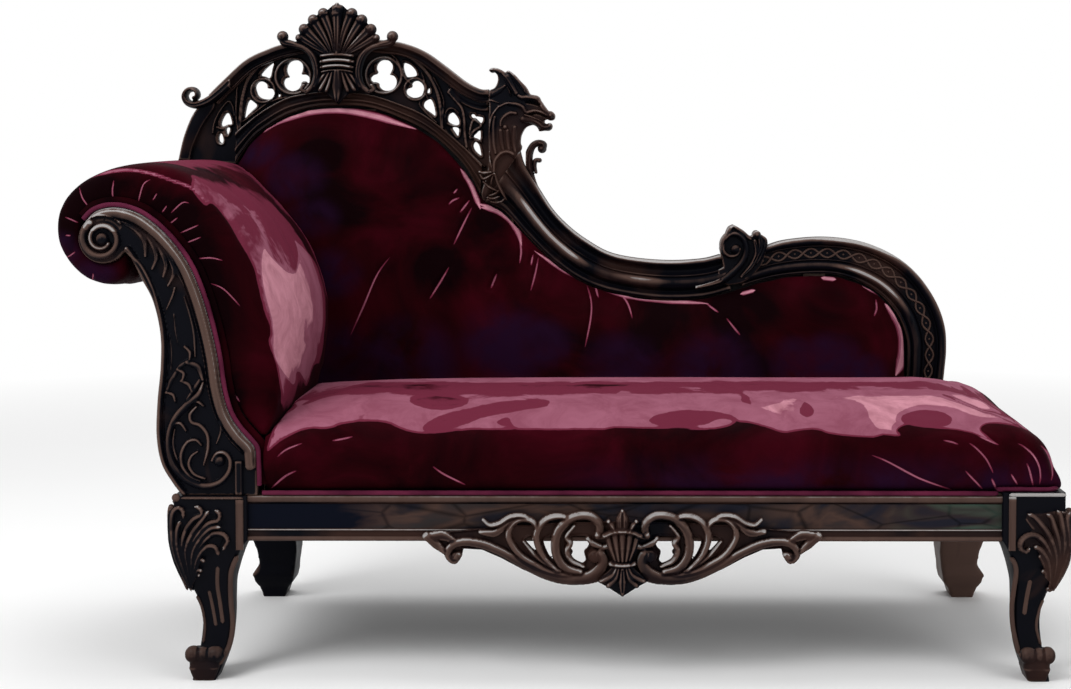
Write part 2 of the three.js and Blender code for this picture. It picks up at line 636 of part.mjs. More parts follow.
// The arm's inner side: the line that its stuffing and canvas follow behind the facing
const pipingRoom = 2 * (pipingRadius + gap);
const rollPath = [...voluteRim, ...facadeInner];
const rimShare = voluteRim.length / rollPath.length;
const roomAt = (along) => mix(gap, pipingRoom, THREE.MathUtils.smoothstep(along, rimShare * 0.7, rimShare));
const canvasThickness = 2;
const armCanvasOuter = parallel(rollPath, (along) => roomAt(along) - gap);
const armCanvasInner = parallel(rollPath, (along) => roomAt(along) - gap - canvasThickness);
const stumpFrontY = backFrontY - gap - stumpThickness;
const armRailCentreShares = [0.3, 0.765];

function addArmFrame() {
  piece('arm_facing', armFacing(), ebony);
  const stumpInner = parallel(rollPath, (along) => roomAt(along) - gap);
  const stump = plate([...facadeOuter, ...stumpInner], backFrontY - gap, stumpThickness);
  piece('arm_rear_stump', stump, beech);
  const canvas = plate([...armCanvasOuter, ...armCanvasInner.reverse()], stumpFrontY - gap,
    stumpFrontY - facadeRearY - 2 * gap);
  piece('arm_canvas', canvas, jute);
  const top = onArm(armRailCentreShares);
  const topRail = plate(spiral(top, armRailRadius, armRailRadius, 0, 2 * Math.PI * 11 / 12, 11),
    stumpFrontY - gap, stumpFrontY - facadeRearY - 2 * gap);
  piece('arm_top_rail', topRail, beech);
  const footLeft = onArm(facadeOuterShares[0]).x;
  const foot = block(footLeft, footLeft + railThickness, facadeRearY + gap,
    stumpFrontY - gap, railTop + gap, railTop + armRailHeight);
  piece('arm_lower_rail', foot, beech);
}

// The back frame: left post, pierced crest boards, planted mouldings, slope and end rails
const archOuter = smooth(archOuterShares.map(onBack), 24);
const archInner = smooth(archInnerShares.map(onBack), 24);
const padEdge = smooth(padEdgeShares.map(onBack), 24);
const crestInner = parallel(archOuter, -mouldingWidth);
const slopeTop = smooth(slopeTopShares.map(onBack), 18);
const slopeBottom = smooth(slopeBottomShares.map(onBack), 18);
const humpOuter = smooth(humpOuterShares.map(onBack), 24);
const humpInner = smooth(humpInnerShares.map(onBack), 24);
const postOuter = smooth(postOuterShares.map(onBack), 14);
const postInner = smooth(postInnerShares.map(onBack), 14);
const finialSeam = finialSeamShares.map(onBack);
const crestCentreX = onBack([crestCentreShare, 0]).x;
const crestMouldingShares = [[0, 0], [0, 0.6], [0.12, 0.95], [0.3, 1], [0.45, 0.62], [0.55, 0.62],
  [0.66, 0.85], [0.85, 0.85], [1, 0.5], [1, 0]];
const archMouldingShares = [[0, 0], [0, 0.75], [0.16, 1], [0.32, 0.75], [0.4, 0.5], [0.62, 0.5],
  [0.7, 0.62], [0.92, 0.62], [1, 0.4], [1, 0]];
const slopeMouldingShares = [[0, 0], [0, 0.9], [0.09, 1], [0.18, 0.9], [0.24, 0.72], [0.4, 0.62],
  [0.6, 0.62], [0.74, 0.78], [0.82, 1], [0.94, 0.95], [1, 0.7], [1, 0]];
const humpMouldingShares = [[0, 0], [0, 0.9], [0.1, 1], [0.2, 0.9], [0.24, 0.7], [0.58, 0.7],
  [0.62, 0.92], [0.74, 1], [0.86, 0.9], [0.92, 0.75], [1, 0.7], [1, 0]];

// A trefoil opening: three round lobes about a centre, the first one pointing up or down
function trefoil(centre, lobeRadius, lobeReach, firstAngle) {
  const steps = 15;
  return Array.from({ length: steps }, (_, index) => {
    const angle = 2 * Math.PI * index / steps;
    const third = 2 * Math.PI / 3;
    const offAxis = angle - third * Math.round(angle / third);
    const radius = lobeReach * Math.cos(offAxis)
      + Math.sqrt(lobeRadius ** 2 - (lobeReach * Math.sin(offAxis)) ** 2);
    const place = new THREE.Vector2(Math.cos(angle + firstAngle), Math.sin(angle + firstAngle));
    return place.multiplyScalar(radius).add(centre);
  });
}

// A pointed opening with bowed sides, between two tips
function lancet(foot, tip, halfWidth) {
  const side = foot.clone().sub(tip).normalize();
  const normal = new THREE.Vector2(-side.y, side.x);
  const shares = [[0.2, 0.8], [0.5, 1], [0.8, 0.7]];
  const bowed = (sign) => shares.map(([along, out]) => foot.clone().lerp(tip, along)
    .addScaledVector(normal, sign * halfWidth * out));
  return [foot, ...bowed(1), tip, ...bowed(-1).reverse()];
}

const trefoilRadius = 17;
const smallTrefoilRadius = 12;
const lobeReachShare = 0.95;
const lancetHalfWidth = 9;
const eyeRadius = 6;
// Centres of the openings: large trefoil, small trefoil, and the ends of each pointed light
const crestOpeningShares = {
  left: {
    large: [0.15, 0.832],
    small: [0.111, 0.801],
    lights: [[[0.12, 0.868], [0.105, 0.836]], [[0.087, 0.738], [0.089, 0.785]],
      [[0.06, 0.721], [0.064, 0.752]]],
    eyes: [[0.0615, 0.705], [0.054, 0.69]],
  },
  right: {
    large: [0.266, 0.835],
    small: [0.307, 0.802],
    lights: [[[0.295, 0.866], [0.308, 0.838]], [[0.33, 0.742], [0.327, 0.783]],
      [[0.356, 0.72], [0.36, 0.754]], [[0.386, 0.715], [0.384, 0.755]]],
    eyes: [[0.362, 0.7], [0.386, 0.692], [0.384, 0.668]],
  },
};

function crestHoles({ large, small, lights, eyes }) {
  return [
    trefoil(onBack(large), trefoilRadius, trefoilRadius * lobeReachShare, Math.PI / 2),
    trefoil(onBack(small), smallTrefoilRadius, smallTrefoilRadius * lobeReachShare, Math.PI / 2),
    ...lights.map(([foot, tip]) => lancet(onBack(foot), onBack(tip), lancetHalfWidth)),
    ...eyes.map((eye) => spiral(onBack(eye), eyeRadius, eyeRadius, 0, 2 * Math.PI * 7 / 8, 7)),
  ];
}

// Raised tracery: a rib round each trefoil, and ribs that sweep between the two arches
const ribHalfWidth = 4.5;
const ribCrest = 7;
const ringShare = 2.35;
const ribPathShares = {
  left: [[[0.079, 0.715], [0.076, 0.745], [0.086, 0.81], [0.107, 0.862], [0.135, 0.885]],
    [[0.044, 0.706], [0.049, 0.738], [0.062, 0.775], [0.072, 0.745], [0.077, 0.715]]],
  right: [[[0.343, 0.72], [0.339, 0.766], [0.328, 0.815], [0.312, 0.852], [0.285, 0.885]],
    [[0.375, 0.68], [0.372, 0.717], [0.363, 0.766], [0.349, 0.798]]],
};

function crestBoard(edge, openings, ribs) {
  const board = plate(edge, backRearY, boardThickness, crestHoles(openings));
  const rib = (path) => stem(path, even(ribHalfWidth), even(ribCrest), boardFrontY + overrun, boardFrontY);
  const ring = (centre, lobeRadius) => rib(spiral(onBack(centre), lobeRadius * ringShare,
    lobeRadius * ringShare, 0, 2.02 * Math.PI, 13));
  const rings = [ring(openings.large, trefoilRadius), ring(openings.small, smallTrefoilRadius)];
  const carved = join([board, ...rings, ...ribs.map((path) => rib(smooth(path.map(onBack), 6)))]);
  return cut(carved, [plantedRoom(parallel(archOuter, mouldingWidth), crestInner),
    plantedRoom(archInner, parallel(padEdge, -mouldingWidth))]);
}

// The room that a planted moulding takes in front of the boards, between its two edges. It reaches
// past the board's edge, so that no rib is left beyond the moulding.
function plantedRoom(firstEdge, secondEdge) {
  return plate(grow([...firstEdge, ...secondEdge.slice().reverse()], gap), boardFrontY, mouldingDepth);
}

function between(path, from, to) {
  return path.filter((point) => point.x > from && point.x < to);
}

// The rolled ear at the left end of the crest's rail
const earStartHalfWidth = 11;
const earEndHalfWidth = 7;
const earDepthShare = 0.8;

function addCrest() {
  const seamTop = finialSeam[0];
  const leftEdge = [...between(archOuter, -Infinity, crestCentreX - gap),
    onBack([crestCentreShare, 0.924]).setX(crestCentreX - gap / 2),
    onBack([crestCentreShare, 0.768]).setX(crestCentreX - gap / 2),
    ...between(padEdge, -Infinity, crestCentreX - gap).reverse()];
  const rightEdge = [onBack([crestCentreShare, 0.924]).setX(crestCentreX + gap / 2),
    ...between(archOuter, crestCentreX + gap, seamTop.x - gap), ...finialSeam,
    ...between(padEdge, crestCentreX + gap, finialSeam[4].x - gap).reverse(),
    onBack([crestCentreShare, 0.768]).setX(crestCentreX + gap / 2)];
  piece('crest_board_left', crestBoard(leftEdge, crestOpeningShares.left, ribPathShares.left), ebony);
  piece('crest_board_right', crestBoard(rightEdge, crestOpeningShares.right, ribPathShares.right), ebony);
  const mouldingRear = boardFrontY - gap;
  const outer = moulding(archOuter.slice(1), crestInner.slice(1), crestMouldingShares,
    mouldingRear, mouldingDepth);
  const ear = stem(smooth(earShares.map(onBack), 9), swelling(earStartHalfWidth, earEndHalfWidth),
    even(mouldingDepth * earDepthShare), mouldingRear, mouldingRear - overrun);
  piece('crest_rail', join([outer, ear]), brownEbony);
  const inner = moulding(archInner, padEdge, archMouldingShares, mouldingRear, mouldingDepth);
  piece('inner_arch_moulding', inner, brownEbony);
}

function addBackFrame() {
  const postTop = postOuter[0].clone();
  const post = plate([...postOuter, ...postInner].map((point) => point.clone().setY(
    Math.min(point.y, postTop.y - 2 * gap))), backRearY, backFrameDepth);
  piece('back_left_post', post, ebony);
  const deep = (outer, inner, profileShares) => moulding(outer, inner, profileShares, backRearY,
    backFrameDepth);
  piece('slope_rail', deep(slopeTop, slopeBottom, slopeMouldingShares), ebony);
  piece('end_hump_rail', deep(humpOuter, humpInner, humpMouldingShares), ebony);
}

// The crest cartouche: a fluted fan over a banded collar, a drop of leaves, and two C-scrolls
const fanTipShares = [[-0.061, 0.922], [-0.05, 0.943], [-0.037, 0.964], [-0.021, 0.983], [0, 1]];
const fanRootShares = [0, 0.865];
const fanTipHalfWidth = 16;
const fanRootHalfWidth = 5;
const fanCrest = 17;
const dropTipShares = [[-0.026, 0.8], [-0.0135, 0.782], [0, 0.768]];
const dropRootShares = [0, 0.87];
const dropTipHalfWidth = 11;
const collarHalfWidth = 33;
const collarHeightShares = [0.853, 0.878];
const collarBandHalfWidth = 6;
const collarCrest = 24;
const crestScrollShares = [[-0.078, 0.908], [-0.0805, 0.92], [-0.075, 0.927], [-0.067, 0.918],
  [-0.056, 0.906], [-0.036, 0.89], [-0.0245, 0.865], [-0.0255, 0.832], [-0.036, 0.806], [-0.048, 0.797]];
const crestScrollHalfWidth = 8;
const crestScrollCrest = 12;

function bothSides(centreShare, [x, z]) {
  return x === 0 ? [[centreShare, z]] : [[centreShare + x, z], [centreShare - x, z]];
}

function crestCartouche() {
  const face = boardFrontY - mouldingDepth - 2 * gap;
  const centre = (share) => onBack([crestCentreShare + share[0], share[1]]);
  const flute = (root, tip, tipWidth) => stem([0, 0.6, 1].map((along) => root.clone().lerp(tip, along)),
    (along) => mix(fanRootHalfWidth, tipWidth, Math.sin(along * Math.PI * 0.62)),
    (along) => fanCrest * (0.6 + 0.4 * along), face, face - fanRootHalfWidth);
  const fan = fanTipShares.flatMap((tip) => bothSides(crestCentreShare, tip))
    .map((tip) => flute(centre(fanRootShares), onBack(tip), fanTipHalfWidth));
  const drop = dropTipShares.flatMap((tip) => bothSides(crestCentreShare, tip))
    .map((tip) => flute(centre(dropRootShares), onBack(tip), dropTipHalfWidth));
  const collar = collarHeightShares.map((height) => {
    const middle = centre([0, height]);
    const path = [-1, 0, 1].map((side) => new THREE.Vector2(middle.x + side * collarHalfWidth, middle.y));
    return stem(path, even(collarBandHalfWidth), even(collarCrest), face, face - fanRootHalfWidth);
  });
  const scrolls = [1, -1].map((side) => stem(smooth(crestScrollShares.map(([x, z]) => onBack(
    [crestCentreShare + side * x, z])), 12), taper(crestScrollHalfWidth, 0.5), even(crestScrollCrest), face,
  face - fanRootHalfWidth));
  return join([...fan, ...drop, ...collar, ...scrolls]);
}

// The beast-head finial that ends the crest, with its mane swept back and its jaw open
const finialBeads = [
  [[0.415, 0.835], [0.43, 0.815], [0.443, 0.79], [0.452, 0.77]],
  [[0.43, 0.838], [0.44, 0.815], [0.45, 0.79], [0.46, 0.775], [0.474, 0.762], [0.486, 0.748]],
  [[0.455, 0.752], [0.468, 0.742], [0.482, 0.738]],
  [[0.41, 0.81], [0.425, 0.79], [0.436, 0.765], [0.442, 0.73], [0.438, 0.69]],
  [[0.415, 0.78], [0.424, 0.75], [0.428, 0.71], [0.424, 0.67]],
];
const beadHalfWidth = 6;
const beadCrest = 8;

function finial() {
  const seam = parallel(finialSeam, gap);
  const collarLine = parallel([slopeTop[0], slopeBottom[0]], -gap);
  const outline = [...finialShares.map(onBack), ...collarLine, ...seam.slice().reverse()];
  const faceY = backFrontY - gap;
  const body = plate(outline, backRearY, backFrameDepth);
  const beads = finialBeads.map((path) => stem(smooth(path.map(onBack), 6), taper(beadHalfWidth, 0.4),
    even(beadCrest), faceY + overrun, faceY));
  return join([body, ...beads]);
}

// A small scroll that grows from the top edge of the slope rail
const scrollDepthShare = 0.6;

function slopeScroll() {
  const outer = scrollShares.map(onBack);
  const foot = outer[outer.length - 1];
  const inner = parallel(slopeTop, gap).filter((point) => point.y > foot.y
    && point.y < outer[0].y - voluteRadius / 2);
  return plate([...outer, ...inner.reverse()], backRearY - backFrameDepth / 5,
    backFrameDepth * scrollDepthShare);
}

// The carved leaf planted where the crest meets the slope
const leafBracketPaths = [
  [[0.388, 0.61], [0.398, 0.59], [0.406, 0.565], [0.407, 0.545]],
  [[0.409, 0.625], [0.409, 0.6], [0.409, 0.57], [0.407, 0.545]],
  [[0.43, 0.6], [0.422, 0.585], [0.413, 0.565], [0.407, 0.545]],
  [[0.397, 0.63], [0.403, 0.605], [0.408, 0.575], [0.408, 0.55]],
];

function leafBracket() {
  const faceY = boardFrontY - mouldingDepth - 2 * gap;
  return join(leafBracketPaths.map((path) => stem(smooth(path.map(onBack), 6),
    swelling(beadHalfWidth * 1.5, beadHalfWidth), even(beadCrest), faceY, faceY - overrun)));
}

// The volute where the slope rail meets the end rail, with its curled leaf
const volutePadShares = [[0.7, 0.428], [0.716, 0.351], [0.738, 0.362], [0.758, 0.44], [0.745, 0.455]];
// The leaf and the pointed tip, as shares of the volute's radius from its centre
const voluteLeafShares = [[1.04, -0.98], [1.42, 0], [1.73, 0.67], [2.05, 1.04]];
const voluteTipShares = [[-0.93, 0.31], [-0.61, 1.07], [-0.18, 1.44], [0.25, 1.59]];
const voluteTurnShares = [0.86, 0.25, 0.15];
const crestVoluteRadius = 30;

function crestVolute() {
  const centre = onBack(crestVoluteShares);
  const front = backFrontY - beadCrest;
  const disc = plate(spiral(centre, crestVoluteRadius, crestVoluteRadius, 0, 2 * Math.PI * 15 / 16, 15),
    backRearY, backFrameDepth);
  const [outerTurn, innerTurn, turnHalfWidth] = voluteTurnShares.map((share) => crestVoluteRadius * share);
  const turns = stem(spiral(centre, outerTurn, innerTurn, -0.3, -3.2 * Math.PI, 20),
    even(turnHalfWidth), even(beadCrest), backFrontY + overrun, backFrontY);
  const throat = plate(volutePadShares.map(onBack), backRearY, backFrameDepth);
  const leaves = [voluteLeafShares, voluteTipShares].map((path) => stem(smooth(path.map(([out, up]) => centre
    .clone().add(new THREE.Vector2(out, up).multiplyScalar(crestVoluteRadius))), 5),
  taper(beadHalfWidth, 0.5), even(beadCrest), backRearY - boardThickness, front + beadCrest));
  return cut(join([disc, throat, turns, ...leaves]), [
    grownPrism([...slopeTop, ...slopeBottom.slice().reverse()]),
    grownPrism([...humpOuter, ...humpInner.slice().reverse()])]);
}

// A block of space that an outline takes right through the frame, with its running gap
function grownPrism(outline) {
  return plate(grow(outline, gap), backRearY + overrun, backFrameDepth + 2 * overrun + beadCrest);
}

// The laced ribbon that lies in the channel of the end rail
const laceInsetShares = [0.28, 0.54];
const laceHalfWidth = 3.2;
const laceCrossingCount = 18;
const laceDepthShare = 0.7;

function railLace() {
  const steps = laceCrossingCount;
  const outer = smooth(humpOuter.slice(1, 22), steps);
  const inner = smooth(humpInner.slice(1, 22), steps);
  const wave = (sign) => outer.map((point, index) => {
    const swing = 0.5 + 0.36 * sign * (index % 2 ? 1 : -1);
    return point.clone().lerp(inner[index], mix(...laceInsetShares, swing));
  });
  const faceY = backRearY - backFrameDepth * laceDepthShare - gap;
  const strand = (path) => stem(path, even(laceHalfWidth), even(laceHalfWidth), faceY, faceY, flatShares);
  return join([strand(wave(1)), strand(wave(-1))]);
}

// Rails and stays that close the back and carry its webbing and covers
const stayShares = [0.24, 0.42, 0.63, 0.83];
const innerFrameDepth = 21;
const innerFrameFront = backRearY - innerFrameDepth;
const bottomRailTop = railTop + bottomRailHeight;

// The top line of the back's upholstery, from the left post to the end rail
const slopeEnd = slopeBottom[slopeBottom.length - 1];
const padTopLine = [...padEdge, ...slopeBottom, ...humpInner.filter((point) => point.x > slopeEnd.x)];

function addBackRails() {
  const low = (point) => point.y < bottomRailTop + backFrameDepth;
  const left = Math.max(...postInner.filter(low).map((point) => point.x)) + gap;
  const right = Math.min(...humpInner.filter(low).map((point) => point.x)) - gap;
  const rear = backRearY;
  piece('back_bottom_rail', block(left, right, innerFrameFront, rear, railTop + gap, bottomRailTop), beech);
  stayShares.forEach((share, index) => {
    const x = onBack([share, 0]).x;
    const ends = [x - stayWidth / 2, x + stayWidth / 2];
    const top = Math.min(...ends.map((end) => heightAt(padTopLine, end))) - gap;
    piece(`back_stay_${index + 1}`, block(ends[0], ends[1], innerFrameFront, rear, bottomRailTop + gap, top),
      beech);
  });
  const margin = stayWidth / 4;
  const panel = parallel(padTopLine, margin).filter((point, index) => index % 2 === 0);
  const cover = [...panel, new THREE.Vector2(right + margin, railTop + gap),
    new THREE.Vector2(left - margin, railTop + gap)];
  piece('outside_back_cover', plate(cover, rear + gap + webThickness, webThickness), blackCloth);
}

function addCrestCarving() {
  piece('crest_cartouche', crestCartouche(), ebony);
  piece('beast_finial', finial(), ebony);
  piece('slope_scroll', slopeScroll(), ebony);
  piece('slope_leaf', leafBracket(), ebony);
  piece('slope_volute', crestVolute(), ebony);
  piece('end_rail_lace', railLace(), brownEbony);
}

// The pierced carving under the front rail: scrolling stems about a small urn
const onApron = ([out, down], side) => new THREE.Vector2(
  apronCentre + side * apronHalfWidth * out, railTop - apronDrop - apronHeight * down);
const apronStems = [
  { path: [[0.84, 0.5], [0.87, 0.53], [0.895, 0.49], [0.86, 0.395], [0.772, 0.38], [0.654, 0.45],
    [0.522, 0.62], [0.375, 0.77], [0.257, 0.815], [0.169, 0.765], [0.115, 0.65], [0.115, 0.54],
    [0.15, 0.49], [0.175, 0.53]], widthShare: 0.82, steps: 15 },
  { path: [[1, 0.3], [0.96, 0.39], [0.91, 0.45], [0.875, 0.5]], widthShare: 1, steps: 4 },
  { path: [[0.72, 0.13], [0.684, 0.18], [0.61, 0.15], [0.55, 0.1], [0.49, 0.13]], widthShare: 0.45,
    steps: 4 },
  { path: [[0.434, 0.36], [0.404, 0.18], [0.316, 0.1], [0.2, 0.1], [0.13, 0.17], [0.11, 0.3],
    [0.15, 0.36]], widthShare: 0.68, steps: 8 },
  { path: [[0.28, 0.8], [0.325, 0.6], [0.338, 0.43], [0.31, 0.24], [0.23, 0.11]], widthShare: 0.64,
    steps: 4 },
  { path: [[0.37, 0.75], [0.43, 0.56], [0.445, 0.35], [0.4, 0.18]], widthShare: 0.5, steps: 3 },
  { path: [[0.47, 0.67], [0.55, 0.47], [0.58, 0.3], [0.55, 0.17], [0.49, 0.1]], widthShare: 0.64, steps: 4 },
  { path: [[0.12, 0.6], [0.06, 0.62], [-0.02, 0.6]], widthShare: 0.82, steps: 3 },
  { path: [[0.12, 0.27], [0.06, 0.25], [-0.02, 0.27]], widthShare: 0.82, steps: 3 },
];
const apronStemHalfWidth = 11;
const apronCrest = 9;
const apronRearY = railFaceY - gap;
const apronFaceY = apronRearY - apronThickness + apronCrest;

function apron() {
  return join([1, -1].flatMap((side) => apronStems.map(({ path, widthShare, steps }) => stem(
    smooth(path.map((point) => onApron(point, side)), steps), taper(apronStemHalfWidth * widthShare, 0.6),
    even(apronCrest), apronRearY, apronFaceY))));
}

// The small urn in front of the apron: a three-leaved top, a fluted bowl, a band and a fan foot
const urnFlutes = [
  { root: [0, 0.26], tips: [[0, 0.01], [0.035, 0.11], [-0.035, 0.11]], widthShare: 0.64 },
  { root: [0, 0.66], tips: [[0, 0.2], [0.05, 0.23], [-0.05, 0.23]], widthShare: 1 },
  { root: [0, 0.66], tips: [[0, 0.98], [0.06, 0.91], [-0.06, 0.91], [0.105, 0.82], [-0.105, 0.82]],
    widthShare: 0.79 },
];
const urnFluteHalfWidth = 14;
const urnCrestShare = 0.8;
const urnBandHalfWidth = 22;
const urnBandShare = 0.68;

function apronUrn() {
  const face = apronRearY - apronThickness - gap;
  const crest = face - overrun - frontLimit;
  const flutes = urnFlutes.flatMap(({ root, tips, widthShare }) => tips.map((tip) => stem(
    [0, 1].map((along) => onApron(root, 1).lerp(onApron(tip, 1), along)),
    swelling(urnFluteHalfWidth * widthShare / 2, urnFluteHalfWidth * widthShare),
    even(crest * urnCrestShare), face, face - overrun)));
  const middle = onApron([0, urnBandShare], 1);
  const band = [-1, 0, 1].map((side) => new THREE.Vector2(middle.x + side * urnBandHalfWidth, middle.y));
  return join([...flutes, stem(band, even(stemHalfWidth / 2), even(crest), face, face - overrun)]);
}

// Stuffed pads. A section's front bulges by its swell, most in the middle of its height.
const backPadRear = innerFrameFront - gap;
const backPadColumns = 26;
const backPadRows = 9;
const backPadSideRound = 90;

// The back pad, grown all over by a clearance when it cuts room for itself in its neighbours
function backPad(clearance) {
  const left = padTopLine[0].x + gap - clearance;
  const right = humpInner[humpInner.length - 1].x - gap + clearance;
  const bottom = seatBottom - clearance;
  const rings = Array.from({ length: backPadColumns + 1 }, (_, column) => {
    const share = column / backPadColumns;
    const x = mix(left, right, (share + Math.sin(Math.PI * (share - 0.5)) / 2 + 0.5) / 2);
    const side = Math.min(x - left, right - x) / backPadSideRound;
    const edge = Math.sqrt(Math.max(0.02, 1 - (1 - Math.min(1, side)) ** 2));
    const top = heightAt(padTopLine, THREE.MathUtils.clamp(x, left + clearance, right - clearance)) - gap
      + clearance;
    const front = Array.from({ length: backPadRows + 1 }, (_, row) => {
      const up = row / backPadRows;
      const crown = Math.sqrt(Math.max(0, 1 - up ** 4));
      const swell = backSwell * crown + backFootSwell * (1 - up) ** 2;
      return new THREE.Vector3(x, backFrontY - swell * edge - clearance, mix(bottom, top, up));
    });
    return [new THREE.Vector3(x, backPadRear + clearance, bottom), ...front,
      new THREE.Vector3(x, backPadRear + clearance, top)];
  });
  return loft(rings);
}

// The arm pad: a thick roll round the facing's upper edge, pinched in behind the facing
const armPadOuter = smooth(armPadShares.map(onArm), 24);
const armPadEndShare = 0.83;
const armPadInner = parallel(rollPath, roomAt)
  .filter((point, index, all) => index < all.length * armPadEndShare);
const armPadRows = [[0, -0.06], [0.03, 0.2], [0.12, 0.5], [0.3, 0.76], [0.5, 0.93], [0.7, 0.95], [0.88, 0.8],
  [1, 0.7]];
const armPadLeftSwellShare = 0.45;
const armPadTopSwellShare = 0.08;

// How much of the swell there is along the pad's outer line, which starts under the volute
function armSwellShare(share) {
  const { smoothstep } = THREE.MathUtils;
  return share < 0.4 ? mix(armPadLeftSwellShare, armPadTopSwellShare, smoothstep(share, 0.1, 0.35))
    : mix(armPadTopSwellShare, 1, smoothstep(share, 0.45, 0.75));
}

// The arm pad swells most on the side that faces the seat
function armPad(clearance) {
  const front = facadeBoardY + facadeRelief / 2 - clearance;
  const rear = backFrontY - gap;
  return loft(armPadRows.map(([along, swell]) => {
    const swellAt = (share) => armSwell * swell * Math.min(1, 5 * (1 - share))
      * (swell < 0 ? Math.min(1, 5 * share) : armSwellShare(share));
    const outline = [...parallel(armPadOuter, swellAt), ...armPadInner.slice().reverse()];
    const y = mix(front, rear, along);
    return grow(outline, clearance).map((point) => new THREE.Vector3(point.x, y, point.y));
  }));
}

// Piping: along the seat's front and right end, and along the facing's inner edge
const pipingSides = 6;
const seatPipingY = railFaceY + overrun;
const seatPipingX = rightEnd - sideFace - overrun;
const pipingLow = railTop + pipingRadius + gap;
const pipingHigh = pipingLow + rightBlockRise;
const pipingTurn = 30;
const armPadFoot = onArm([facadeInnerShares[facadeInnerShares.length - 1][0], 0]);
const seatLeft = armPadFoot.x + pipingRoom + gap;
const blockRear = legFaceY + blockDepth;
const upward = new THREE.Vector3(0, 0, 1);
const backward = new THREE.Vector3(0, 1, 0);
const cornerSteps = 4;

// Round the right front corner in plan, high over the leg block, then down along the end rail
const pipingCorner = Array.from({ length: cornerSteps + 1 }, (_, index) => {
  const angle = Math.PI / 2 * index / cornerSteps;
  return [seatPipingX - pipingTurn * (1 - Math.sin(angle)), seatPipingY + pipingTurn * (1 - Math.cos(angle)),
    pipingHigh];
});
const seatPipingPath = [
  [seatLeft, seatPipingY, pipingLow], [rightBlockX - pipingTurn, seatPipingY, pipingLow],
  [rightBlockX - pipingTurn / 2, seatPipingY, mix(pipingLow, pipingHigh, 0.5)],
  [rightBlockX - pipingRadius, seatPipingY, pipingHigh + gap], ...pipingCorner,
  [seatPipingX, blockRear + pipingRadius, pipingHigh + gap],
  [seatPipingX, blockRear + pipingTurn / 2, mix(pipingLow, pipingHigh, 0.5)],
  [seatPipingX, blockRear + pipingTurn, pipingLow], [seatPipingX, endRailRear, pipingLow],
].map((point) => new THREE.Vector3(...point));

function seatCord(radius) {
  return cord(seatPipingPath, radius, pipingSides, upward);
}

function armCord() {
  const line = parallel(facadeInner, pipingRadius + gap);
  return cord(line.map((point) => new THREE.Vector3(point.x, facadeBoardY - overrun, point.y)), pipingRadius,
    pipingSides, backward);
}

// The seat pad: drawn in above its piping, full at the front edge, crowned across and rounded off
// at the free end. Section rows give depth and height as shares; end rows give the distance from
// the end, the shares of height and of crown left there, and how far the long sides have turned in.
const seatSectionShares = [[0.02, 0], [0.006, 0.09], [-0.018, 0.3], [-0.024, 0.48], [-0.006, 0.68],
  [0.05, 0.83], [0.15, 0.92], [0.32, 0.98], [0.54, 1], [0.75, 0.97], [0.92, 0.9], [0.985, 0.8], [1, 0.6],
  [1, 0]];
const seatCrownStartShare = 0.83;
const seatEndRowShares = [[1, 1, 1, 0], [0.75, 0.99, 0.6, 0.01], [0.52, 0.965, 0.25, 0.04],
  [0.32, 0.9, 0, 0.08], [0.14, 0.76, 0, 0.18], [0.04, 0.58, 0, 0.3], [0, 0.38, 0, 0.42]];
const seatBottom = railTop + 2 * gap + webThickness;
const seatRear = backFrontY - seatOverhang / 2;
const seatEndReach = 34;

function seatPad() {
  const plain = [0, 0.16, 0.33, 0.5, 0.67, 0.84].map((share) => [
    mix(seatLeft, rightEnd - seatEndRound, share), 1, 1, 0]);
  const ends = seatEndRowShares.map(([out, ...rest]) => [rightEnd - seatEndRound * out, ...rest]);
  const section = ([x, high, crown, turned]) => seatSectionShares.map(([back, up]) => {
    const inset = seatEndReach * turned * (1 - 2 * back);
    const level = Math.min(up, seatCrownStartShare) + Math.max(0, up - seatCrownStartShare) * crown;
    const y = mix(railFaceY, seatRear, back) + inset;
    return new THREE.Vector3(x, y, seatBottom + seatCrown * level * high);
  });
  const body = loft([...plain, ...ends].map(section));
  const corner = block(rightBlockX - gap, rightEnd + overrun, legFaceY - overrun, blockRear + gap,
    railTop - overrun, railTop + rightBlockRise + gap);
  return cut(body, [armPad(2 * gap), backPad(gap), corner, seatCord(pipingRadius + gap)]);
}

function addUpholstery() {
  piece('back_pad', cut(backPad(0), [armPrism(), armFootRoom(), postPrism(), crestPrism()]), velvet);
  piece('arm_pad', cut(armPad(0), [backPad(gap)]), velvet);
  piece('seat_pad', seatPad(), velvet);
  piece('seat_piping', seatCord(pipingRadius), cordVelvet);
  piece('arm_piping', armCord(), cordVelvet);
}

const armFootShare = 0.2;

// Room that the back pad leaves: for the arm's inner frame, the left post, and the show-wood above
function armPrism() {
  const outline = [...facadeOuter, ...parallel(rollPath, (along) => roomAt(along) - gap)];
  return plate(grow(outline, gap), backFrontY, backFrontY - facadeRearY);
}

function armFootRoom() {
  const foot = onArm(facadeOuterShares[0]);
  return block(leftEnd, foot.x + gap, facadeRearY, backRearY, railTop, foot.y + armRise * armFootShare);
}

function postPrism() {
  const farSide = postOuter.map((point) => point.clone().setX(point.x - blockWidth));
  return plate(grow([...farSide, ...postInner], gap), backRearY + overrun, backFrameDepth + overrun + gap);
}

function crestPrism() {
  const line = parallel(padTopLine, -gap);
  const high = railTop + backRise + backFrameDepth;
  const end = line[line.length - 1];
  const outline = [...line, new THREE.Vector2(end.x + backFrameDepth, end.y),
    new THREE.Vector2(end.x + backFrameDepth, high), new THREE.Vector2(line[0].x, high)];
  return plate(outline, backRearY + overrun, backFrameDepth + overrun + mouldingDepth);
}

